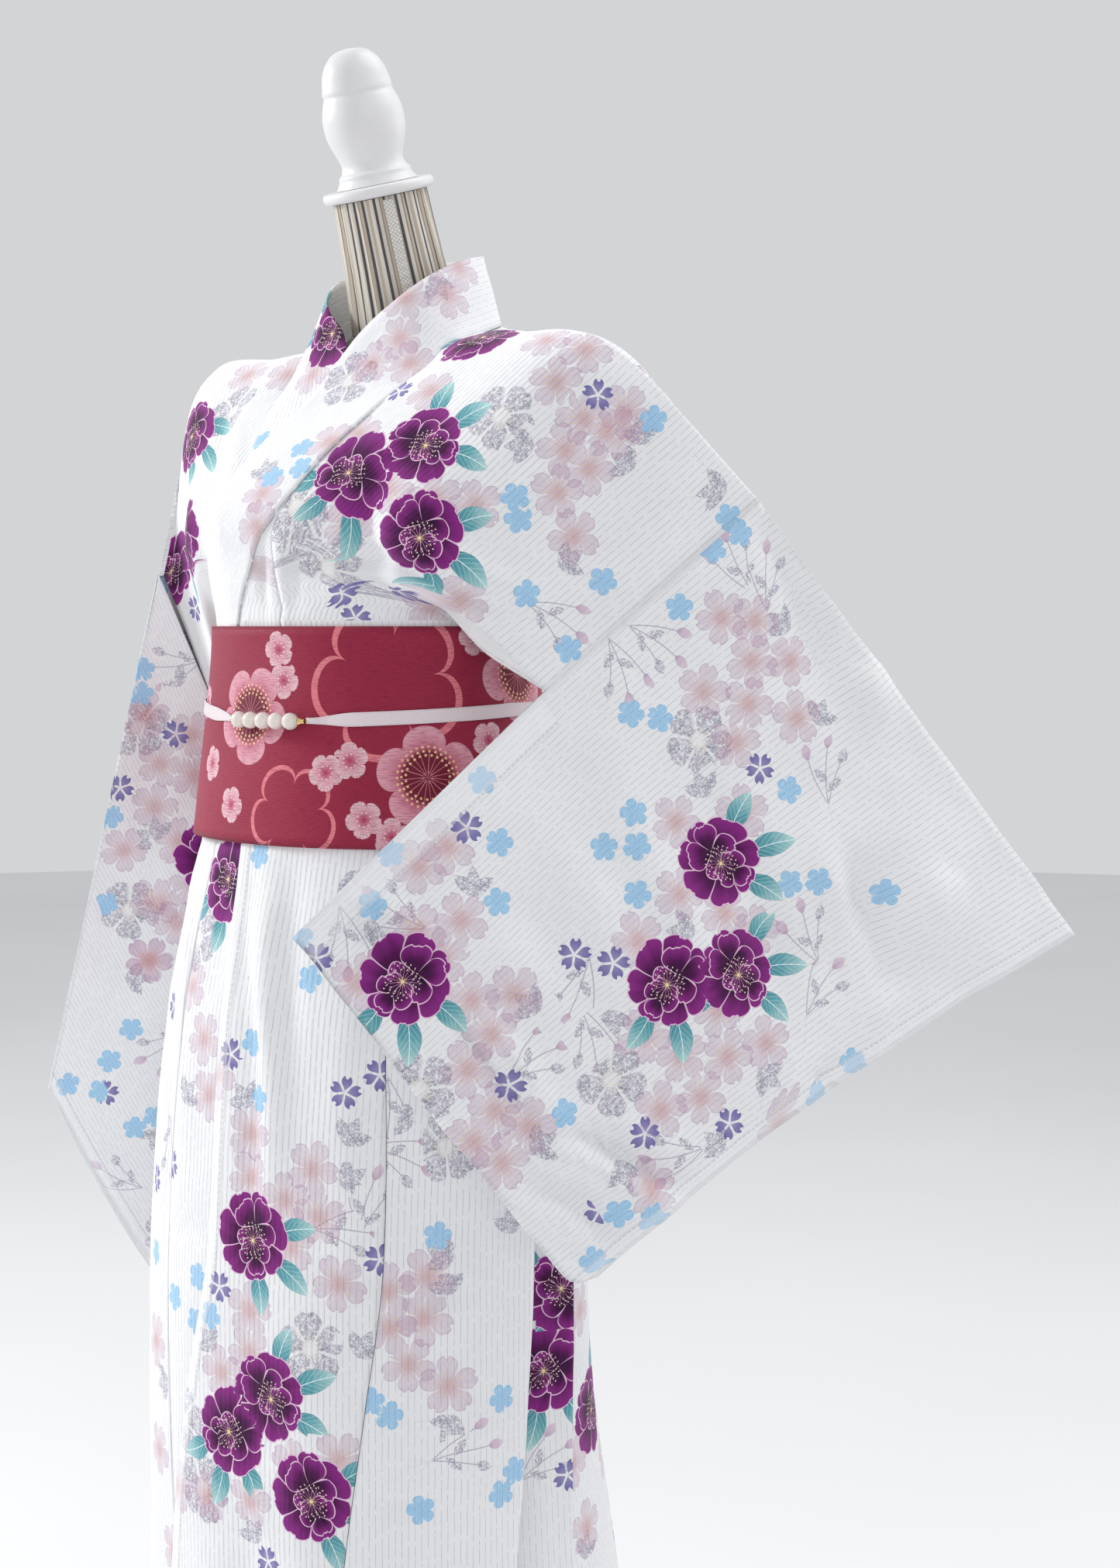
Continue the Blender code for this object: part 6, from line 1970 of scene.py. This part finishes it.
def crinkled_flower(x, y):
    """A small pink flower with crinkled petals and fine rays: (share, colour)."""
    r = distance(x, y)
    angle = angle_of(x, y)
    ruffle = noise_field(joined_vector(angle * 6.0, r), 2.0, 2.0) * 0.16
    across = petal_place(angle, 5)
    outline = 0.60 + rounded(across, 2.4) * 0.30 + ruffle
    inside = (r - outline).step(0.03, -0.03)
    ray = petal_place(angle + ruffle, 30).size().step(0.6, 0.3)
    colour = mixed(ramp(r, *CRINKLED_WASH), CRINKLED_RAY, ray * r.step(0.30, 0.55) * 0.55)
    dots = distance(petal_place(angle, 9) * 0.12, r - 0.36).step(0.055, 0.03)
    return inside * 0.95, mixed(colour, CRINKLED_DOT, dots)


def dotted_arc(x, y):
    """A curved band of small tie-dyed rings: (share, colour)."""
    r = distance(x, y)
    angle = angle_of(x, y)
    scallop = 0.86 + rounded(petal_place(angle, 6), 2.0) * 0.10
    inside = (r - scallop).size().step(0.115, 0.105) * (y + 0.15).step(-0.02, 0.02)
    ring_x = (angle * 24.0 / math.pi).part() - 0.5
    ring_y = ((r - scallop) * 10.5 + 0.5).part() - 0.5
    ring = (distance(ring_x, ring_y) - 0.24).size().step(0.10, 0.05)
    return inside, mixed(ARC_CREAM, ARC_RING, ring * 0.8)


def obi_look():
    """Stiff crimson ribbed weave with woven plum blossoms."""
    made, shader = new_look("obi_crimson", 0.66, sheen=0.12, specular=0.25)
    u, v, _ = vector_parts(uv_socket())
    rib = (v * (math.tau / OBI_RIB)).wave() * 0.5 + 0.5
    thread = noise_field(joined_vector(u * 900.0, v * 1500.0), 1.0, 2.0)
    cloud = noise_field(joined_vector(u * 9.0, v * 9.0), 1.0, 3.0)
    colour = ramp(cloud * 0.35 + thread * 0.65, *OBI_WASH)
    colour = printed(colour, "print_b", (1.0, plum_outline))
    colour = printed(colour, "print_c", (2.0, plum_outline), (1.0, dotted_arc))
    colour = printed(colour, "print_e", (1.0, crinkled_flower))
    colour = printed(colour, "print_a", (1.0, plum_blossom))
    slub = noise_field(joined_vector(u * 160.0, v * 1100.0), 1.0, 2.0)
    colour = mixed(colour, OBI_SLUB, (1 - slub).step(0.42, 0.72) * 0.42)
    edge = vector_parts(corner_values("hem"))[0].step(0.0035, 0.0005)
    soft = noise_field(joined_vector(u * 22.0, v * 30.0), 1.0, 2.0)
    height = rib * 0.00005 + thread * 0.00012 + slub * 0.00014 + soft * 0.0008 - edge * 0.0006
    set_look(shader, colour, height, 1.0, 0.55 + thread * 0.15)
    return made


def ribbon_look():
    made, shader = new_look("ribbon_white", 0.42, sheen=0.3, specular=0.5)
    u, v, _ = vector_parts(uv_socket())
    rib = (u * (math.tau / RIBBON_RIB)).wave() * 0.5 + 0.5
    thread = noise_field(joined_vector(u * 500.0, v * 2400.0), 1.0, 2.0)
    # Painted shade: the colour darkens in the rib grooves and lightens on the rib crests, mixed with the
    # threads' uneven tone
    colour = ramp(thread * 0.7 + rib * 0.3, *RIBBON_RIB_SHADE_WASH)
    edge = vector_parts(corner_values("hem"))[0].step(0.0013, 0.0007)
    height = rib * 0.00006 + thread * 0.00004 + edge * 0.0002
    set_look(shader, colour, height, 1.0)
    return made


def object_socket():
    node = Field.tree.nodes.new("ShaderNodeTexCoord")
    return node.outputs["Object"]


def pearl_look():
    made, shader = new_look("pearl", 0.24, coat=0.6, specular=0.6)
    place = object_socket()
    drift = noise_field(place, 220.0, 3.0)
    facing = Field.tree.nodes.new("ShaderNodeLayerWeight")
    facing.inputs["Blend"].default_value = 0.45
    rim = Field(facing.outputs["Facing"])
    # Painted shade and sheen: the colour darkens and turns greyish lilac towards the rim that the camera
    # sees, mixed with an uneven pearly tone
    colour = ramp(rim * 0.7 + drift * 0.3, *PEARL_RIM_SHADE_WASH)
    set_look(shader, colour, drift, 0.00006, 0.20 + drift * 0.10)
    return made


def gold_look():
    made, shader = new_look("gold_cap", 0.22, metallic=1.0)
    wear = noise_field(object_socket(), 900.0, 3.0)
    colour = ramp(wear, *GOLD_WASH)
    set_look(shader, colour, wear, 0.00004, 0.16 + wear * 0.16)
    return made


def linen_look():
    """The dress form's linen, with woven stripes that run up the form."""
    made, shader = new_look("form_linen", 0.88, sheen=0.15, specular=0.25)
    u, v, _ = vector_parts(uv_socket())
    thread = noise_field(joined_vector(u * 1900.0, v * 300.0), 1.0, 2.0)
    cross = noise_field(joined_vector(u * 300.0, v * 1900.0), 1.0, 2.0)
    drift = noise_field(joined_vector(u * 30.0, v * 7.0), 1.0) * 0.0022
    ends = [start for start, _ in LINEN_STRIPES[1:]] + [1.0]
    stops = []
    for (start, tint), end in zip(LINEN_STRIPES, ends):
        stops += [(start + LINEN_BLEND, tint), (end - LINEN_BLEND, tint)]
    colour = ramp(((u + drift) / LINEN_REPEAT).part(), *stops)
    colour = mixed(colour, LINEN_DARK, (1 - thread) * 0.16)
    colour = mixed(colour, LINEN_PALE, cross * 0.12)
    height = thread * 0.00018 + cross * 0.00018
    set_look(shader, colour, height, 1.0)
    return made


def paint_look(name, tone, roughness):
    """Satin paint on turned wood or metal, a little uneven."""
    made, shader = new_look(name, roughness, coat=0.12, specular=0.5)
    place = object_socket()
    cloud = noise_field(place, 18.0, 4.0)
    fine = noise_field(place, 420.0, 2.0)
    shade = tuple(tone * part for part in PAINT_TINT)
    colour = ramp(cloud, (0.3, shade), (0.7, (tone, tone, tone)))
    set_look(shader, colour, cloud * 0.0004 + fine * 0.00005, 1.0, roughness - 0.06 + fine * 0.12)
    return made


def braid_look():
    made, shader = new_look("braid", 0.75, sheen=0.2)
    u, v, _ = vector_parts(uv_socket())
    first = ((u + v) / BRAID_PLAIT).part()
    second = ((u - v) / BRAID_PLAIT).part()
    plait = (first - 0.5).size().least((second - 0.5).size())
    # Painted shade: the grooves between the plait's strands are darkened to grey and the strands' crests stay
    # white
    colour = ramp(plait, *BRAID_GROOVE_SHADE_WASH)
    set_look(shader, colour, plait, 0.0006)
    return made


def floor_look():
    made, shader = new_look("floor", 0.9, specular=0.15)
    cloud = noise_field(object_socket(), 1.2, 2.0)
    colour = ramp(cloud, *FLOOR_WASH)
    set_look(shader, colour, cloud, 0.0001)
    return made


def add_piece(name, mesh, look):
    mesh.materials.append(look)
    made = bpy.data.objects.new(name, mesh)
    bpy.context.scene.collection.objects.link(made)
    return made


def fine_profile(profile):
    """A turned profile with points at most about TURNED_STEP apart."""
    fine = []
    for (low_r, low_z), (high_r, high_z) in zip(profile, profile[1:]):
        count = max(int(math.hypot(high_r - low_r, high_z - low_z) / TURNED_STEP), 1)
        for step in range(count):
            fine.append((low_r + (high_r - low_r) * step / count, low_z + (high_z - low_z) * step / count))
    return fine + [profile[-1]]


def turned_grid(profile, sides, reach):
    """The points and flat places of a turned surface, which reach bends into soft gathers."""
    rows = []
    flat = []
    along = 0.0
    last = profile[0]
    wide = max(radius for radius, height in profile)
    for radius, height in profile:
        along += math.hypot(radius - last[0], height - last[1])
        last = (radius, height)
        row = []
        places = []
        for number in range(sides + 1):
            turn = math.tau * number / sides
            gathers = math.sin(turn * 23 + 1.1 * math.sin(turn * 3)) + 0.5 * math.sin(turn * 37 + height * 40)
            size = max(radius + reach * gathers * min(radius / wide * 1.2, 1.0), 0.0)
            row.append((size * math.sin(turn), -size * math.cos(turn), height))
            places.append((turn * wide, along))
        rows.append(row)
        flat.append(places)
    return rows, flat


def turned_piece(name, profile, look, sides=72, reach=0.0):
    """A turned solid about local Z from (radius, height) pairs, with cloth coordinates round and up it."""
    points, faces, corners, _ = welded([patch(*turned_grid(fine_profile(profile), sides, reach))])
    normals = vertex_normals(points, faces)
    if np.sum((points - (0, 0, np.mean(points[:, 2]))) * normals) < 0:
        faces, corners = faces[:, ::-1], corners[:, ::-1]
    mesh = bpy.data.meshes.new(name)
    mesh.from_pydata(points.tolist(), [], faces.tolist())
    uv = mesh.uv_layers.new(name="UVMap")
    uv.data.foreach_set("uv", corners.reshape(-1).astype(np.float32))
    mesh.shade_smooth()
    mesh.set_sharp_from_angle(angle=math.radians(SHARP_EDGE))
    return add_piece(name, mesh, look)


def lean_piece(made, along):
    """Places a turned piece on the neck's axis, along from the disc's centre."""
    axis = Matrix.Rotation(NECK_LEAN, 4, "X")
    made.matrix_world = Matrix.Translation(DISC_CENTRE) @ axis @ Matrix.Translation((0, 0, along))


def round_profile(profile, steps_between=5):
    """A turned profile with a smooth curve through its points."""
    count = (len(profile) - 1) * steps_between
    curve = [through(profile, place) for place in np.linspace(0, len(profile) - 1, count + 1)]
    return [(max(float(radius), 0.0), float(height)) for radius, height in curve]


def form_ring(height, sides):
    """A level ring of the form's torso, inside the cloth."""
    clearance = FORM_CLEARANCE + (HIP_CLEARANCE - FORM_CLEARANCE) * smooth(OBI_LOW_Z, 0.945, height)
    clearance += 0.030 * smooth(0.860, FORM_LOW_Z, height)
    clearance += SHOULDER_CLEARANCE * smooth(1.255, 1.300, height)
    right, left, front, back = at_height(SECTIONS, height)
    ring = []
    for number in range(sides):
        turn = 2 * math.pi * number / sides
        across, along = math.sin(turn), -math.cos(turn)
        side = (left if across > 0 else right) - clearance
        depth = max((front if along < 0 else back) - clearance, 0.003)
        ring.append(np.array((side * across, depth * along, height)))
    return ring


def neck_ring(radius, along, sides):
    """A ring round the leaning neck, along its axis from the disc."""
    middle = Vector(DISC_CENTRE)
    lean = Matrix.Rotation(NECK_LEAN, 3, "X")
    turns = [2 * math.pi * number / sides for number in range(sides)]
    return [
        np.array(middle + lean @ Vector((radius * math.sin(turn), -radius * math.cos(turn), along)))
        for turn in turns
    ]


def ride(made, slot, *nodes):
    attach(made, "root")
    if nodes:
        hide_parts(*nodes)
    return made


def torso_rings():
    """The rings of the torso: its closed base, its level rings and the turn up to the neck."""
    heights = [
        *np.linspace(FORM_LOW_Z, CHEST_TOP_Z, CHEST_RINGS),
        *np.linspace(SHOULDER_Z, FORM_HIGH_Z, SHOULDER_RINGS),
    ]
    rings = [np.array(form_ring(height, FORM_SIDES)) for height in heights]
    drop = DISC_HEIGHT / 2 + NECK_LENGTH + 2 * PIECE_GAP
    collar = np.array(neck_ring(NECK_PROFILE[-1][0], -drop, FORM_SIDES))
    top = rings[-1]
    for share, rise in zip(np.linspace(0.15, 1.0, TURN_RINGS), np.linspace(0.0, 1.0, TURN_RINGS) ** 2):
        middle = top + (collar - top) * share
        middle[:, 2] = top[:, 2] + (collar[:, 2] - top[:, 2]) * rise
        rings.append(middle)
    centre = rings[0].mean(axis=0)
    base = [centre + (rings[0] - centre) * share for share in BASE_SHARES]
    return np.array(base + rings)


def build_torso(looks):
    points = torso_rings()
    points = np.concatenate([points, points[:, :1]], axis=1)
    flat = flat_grid(lengths(points), walked(points[:, FORM_SIDES // 8])[:, None])
    torso = plain_cloth("dress_form_torso", [patch(points, flat)], lambda place: np.array(TORSO_MIDDLE))
    torso = finish_cloth(torso, looks["linen"], uneven=TORSO_UNEVEN, wall=TORSO_SHELL)
    ride(torso, "form_linen", "form_torso")


def turned_on_neck(name, profile, look, along, slot, node, sides=96, reach=0.0):
    """A turned piece on the neck's axis, in place of its node."""
    made = turned_piece(name, profile, look, sides, reach)
    lean_piece(made, along)
    ride(made, slot, node)


def build_form(looks):
    """The dress form: torso, neck, braid, disc, finial, pole, hub and base."""
    build_torso(looks)
    half = DISC_HEIGHT / 2
    low_edge = -half - PIECE_GAP
    neck = [(radius - LINEN_INSET, height + low_edge) for radius, height in reversed(NECK_PROFILE)]
    neck = [(0.0, low_edge - NECK_LENGTH), *neck, (0.0, low_edge)]
    turned_on_neck("dress_form_neck", neck, looks["linen"], 0.0, "form_linen", "form_neck", 192, NECK_GATHERS)
    turns = np.linspace(-math.pi / 2, math.pi / 2, 13)
    rim = [
        (DISC_RADIUS - DISC_RIM + DISC_RIM * math.cos(turn), DISC_RIM * 1.35 * math.sin(turn))
        for turn in turns
    ]
    disc = [(radius, min(max(height, -half), half)) for radius, height in rim]
    disc = [(0.0, -half), *disc, (DISC_RADIUS * 0.80, half), (0.0, half)]
    turned_on_neck("dress_form_disc", disc, looks["paint"], 0.0, "white_wood", "form_disc")
    finial = [(0.0, 0.0), *round_profile(FINIAL_PROFILE)]
    turned_on_neck("dress_form_finial", finial, looks["paint"], half + PIECE_GAP, "white_wood", "form_finial")
    build_braid(looks, low_edge)
    build_stand(looks)


def build_braid(looks, low_edge):
    """The flat braid that covers the neck's seam."""
    rows = []
    flat = []
    depth = NECK_LENGTH * 0.86
    for along in np.linspace(low_edge - 0.002, low_edge - depth, 60):
        radius = np.interp(
            low_edge - along, [-height for _, height in NECK_PROFILE], [radius for radius, _ in NECK_PROFILE]
        )
        middle = math.radians(BRAID_ANGLE + 40)
        row = []
        for share in np.linspace(-1, 1, 9):
            turn = middle + BRAID_WIDTH / 2 / radius * share
            out = radius + BRAID_THICKNESS / 2 + 0.0004 + 0.0003 * (1 - share * share) * math.sin(
                along / 0.0010
            )
            row.append((out * math.sin(turn), -out * math.cos(turn), along))
        rows.append(row)
        flat.append([(share * BRAID_WIDTH / 2, along) for share in np.linspace(-1, 1, 9)])
    lean = Matrix.Translation(DISC_CENTRE) @ Matrix.Rotation(NECK_LEAN, 4, "X")
    placed = [[lean @ Vector(point) for point in row] for row in rows]
    axis = np.array(lean @ Vector((0, 0, -0.05)))
    braid = plain_cloth("neck_braid", [patch(placed, flat)], lambda place: axis)
    braid = finish_cloth(braid, looks["braid"], uneven=(0.0, 0.0), wall=0.0011)
    ride(braid, "braid", "form_braid")


def build_stand(looks):
    """The round base with a stepped rim, the turned hub and the pole."""
    base = [
        (0.0, 0.0),
        *((BASE_RADIUS - inset, BASE_HEIGHT * share) for inset, share in BASE_STEPS),
        (0.0, BASE_HEIGHT),
    ]
    ride(turned_piece("round_base", base, looks["paint"], 128), "white_wood", "stand_base")
    hub_z = BASE_HEIGHT + PIECE_GAP
    hub = [
        (0.0, hub_z),
        *((HUB_RADIUS - inset, hub_z + rise) for inset, rise in HUB_STEPS),
        (0.0, hub_z + HUB_HEIGHT),
    ]
    ride(turned_piece("base_hub", hub, looks["paint"], 64), "white_wood", "stand_hub")
    pole_z = hub_z + HUB_HEIGHT + PIECE_GAP
    pole_top = FORM_LOW_Z - PIECE_GAP
    ring_z = pole_z + POLE_RING
    pole = [
        (0.0, pole_z),
        (POLE_RADIUS, pole_z),
        (POLE_RADIUS, ring_z),
        (POLE_RADIUS - POLE_STEP, ring_z + 0.002),
        (POLE_RADIUS - POLE_STEP, pole_top),
        (0.0, pole_top),
    ]
    ride(turned_piece("pole", pole, looks["metal"], 48), "white_metal", "stand_pole")


def set_on_obi(made, angle, out, toward=1):
    """Places a turned piece on the obi's face at an angle, along the ribbon's line."""
    ahead = Vector(body_point(angle + 1, PEARL_Z)) - Vector(body_point(angle - 1, PEARL_Z))
    made.location = body_point(angle, PEARL_Z, OBI_LIFT + OBI_WALL / 2 + PIECE_GAP + out)
    made.rotation_euler = (ahead * toward).to_track_quat("Z", "X").to_euler()


def build_pearls(looks):
    """Five drilled pearls on a thread over the ribbon's gap, with a flared metal cap at each end."""
    turns = np.linspace(PEARL_HOLE_TURN, math.pi - PEARL_HOLE_TURN, 26)
    profile = [(PEARL_RADIUS * math.sin(turn), -PEARL_RADIUS * math.cos(turn)) for turn in turns]
    hole = [(0.0006, PEARL_RADIUS * 0.94), (0.0, PEARL_RADIUS * 0.93)]
    profile = [*((radius, -height) for radius, height in reversed(hole)), *profile, *hole]
    for number, angle in enumerate(PEARL_ANGLES):
        pearl = turned_piece(f"fine_pearl_{number + 1}", profile, looks["pearl"], 40)
        set_on_obi(pearl, angle, PEARL_RADIUS)
        ride(pearl, "pearl", f"pearl_{number + 1}")
    cap_profile = [(CAP_RADIUS * radius, CAP_LENGTH / 2 * height) for radius, height in CAP_STEPS]
    for name, angle, toward in zip(("cap_right", "cap_left"), CAP_ANGLES, (1, -1)):
        cap = turned_piece("fine_" + name, cap_profile, looks["gold"], 32)
        set_on_obi(cap, angle, PEARL_RADIUS * 0.8, toward)
        ride(cap, "gold_cap", name)
        thread = turned_piece("thread_" + name, THREAD_PROFILE, looks["gold"], 12)
        set_on_obi(thread, angle + toward * THREAD_TURN, PEARL_RADIUS * 0.85, toward)
        ride(thread, "gold_cap")


def robe_axis(place):
    """The middle of the body at a place's height, which the robe's cloth faces away from."""
    return place * (0.0, 0.0, 1.0)


def neck_axis(place):
    return place * (0.0, 0.0, 1.0) + (0.0, 0.02, 0.0)


def sleeve_middle(sleeve):
    corners = [np.array(sleeve[corner]) for corner in ("shoulder", "inner", "outer", "cuff")]
    centre = sum(corners) / 4 + np.array(sleeve["back"]) * SLEEVE_DEPTH / 2
    return lambda place: centre


def robe_cloths():
    """The surfaces of the robe's panels, sleeves and collar."""
    made = []
    for side, word, sleeve in ((1, "left", LEFT_SLEEVE), (-1, "right", RIGHT_SLEEVE)):
        made.append(plain_cloth("robe_body_" + word, body_patches(side), robe_axis))
        made.append(plain_cloth("robe_okumi_" + word, okumi_patches(side), robe_axis))
        made.append(plain_cloth("robe_sleeve_" + word, sleeve_patches(sleeve), sleeve_middle(sleeve)))
    made.append(plain_cloth("robe_collar", collar_patches(), neck_axis))
    return made


def build_robe(looks):
    """The robe, the obi and its ribbon, with their creases and prints."""
    cotton_cloths = robe_cloths()
    obi = plain_cloth("robe_obi", obi_patches(), robe_axis)
    prints = photo_prints([*cotton_cloths, obi])
    creases = photo_creases([*cotton_cloths, obi])
    for cloth in cotton_cloths:
        name = cloth["name"]
        node, width, length, rests_on = ROBE_PIECES[name]
        shown = prints[name] + hidden_prints(name, REPEAT_PRINTS)
        wall, lift = (COLLAR_SHELL, COLLAR_LIFT) if node == "collar" else (SHELL, 0.0)
        free = node.startswith("sleeve")
        uneven = SLEEVE_UNEVEN if free else UNEVEN
        made = finish_cloth(cloth, looks["cotton"], creases[name], shown, wall, uneven, lift, free)
        ride(made, "printed_cotton", node)
    shown = prints["robe_obi"] + hidden_prints("robe_obi", OBI_REPEAT_PRINTS)
    made = finish_cloth(obi, looks["obi"], creases["robe_obi"], shown, wall=OBI_SHELL, uneven=OBI_UNEVEN)
    ride(made, "obi_crimson", "obi")
    ribbon = plain_cloth("obi_ribbon", ribbon_patches(), robe_axis)
    made = finish_cloth(ribbon, looks["ribbon"], wall=RIBBON_SHELL, uneven=RIBBON_UNEVEN)
    ride(made, "ribbon_white", "obijime_ribbon")


def build_camera():
    lens = bpy.data.cameras.new("photo_camera")
    lens.sensor_fit = "VERTICAL"
    lens.sensor_height = SENSOR
    lens.lens = FOCAL_PIXELS / PHOTO_HEIGHT * SENSOR
    lens.shift_y = (HORIZON_PIXEL - PHOTO_HEIGHT / 2) / PHOTO_HEIGHT
    lens.dof.use_dof = False
    camera = bpy.data.objects.new("photo_camera", lens)
    bpy.context.scene.collection.objects.link(camera)
    camera.location = CAMERA_PLACE
    camera.rotation_euler = (math.pi / 2, 0.0, CAMERA_TURN)
    bpy.context.scene.camera = camera


def area_light(name, place, size, power):
    light = bpy.data.lights.new(name, "AREA")
    light.shape = "DISK"
    light.size = size
    light.energy = power
    made = bpy.data.objects.new(name, light)
    bpy.context.scene.collection.objects.link(made)
    made.location = place
    made.rotation_euler = (Vector(LIGHT_TARGET) - Vector(place)).to_track_quat("-Z", "Y").to_euler()


def build_studio(looks):
    """A plain pale floor, an even pale surround and large soft lights."""
    bpy.ops.mesh.primitive_circle_add(
        vertices=96, radius=FLOOR_RADIUS, fill_type="NGON", location=(0, 0, -FLOOR_DROP)
    )
    floor = bpy.context.object
    floor.name = "studio_floor"
    floor.data.materials.append(looks["floor"])
    world = bpy.data.worlds.new("studio")
    world.use_nodes = True
    ground = world.node_tree.nodes["Background"]
    ground.inputs["Color"].default_value = WORLD_TINT
    ground.inputs["Strength"].default_value = WORLD_LIGHT
    bpy.context.scene.world = world
    for name, place, size, power in LIGHTS:
        area_light(name, place, size, power)
    bpy.context.scene.view_settings.view_transform = "Standard"


def build_scene():
    looks = {
        "cotton": cotton_look(),
        "obi": obi_look(),
        "ribbon": ribbon_look(),
        "pearl": pearl_look(),
        "gold": gold_look(),
        "linen": linen_look(),
        "paint": paint_look("white_wood", 0.80, 0.42),
        "metal": paint_look("white_metal", 0.74, 0.38),
        "braid": braid_look(),
        "floor": floor_look(),
    }
    build_robe(looks)
    build_pearls(looks)
    build_form(looks)
    build_camera()
    build_studio(looks)


build_scene()
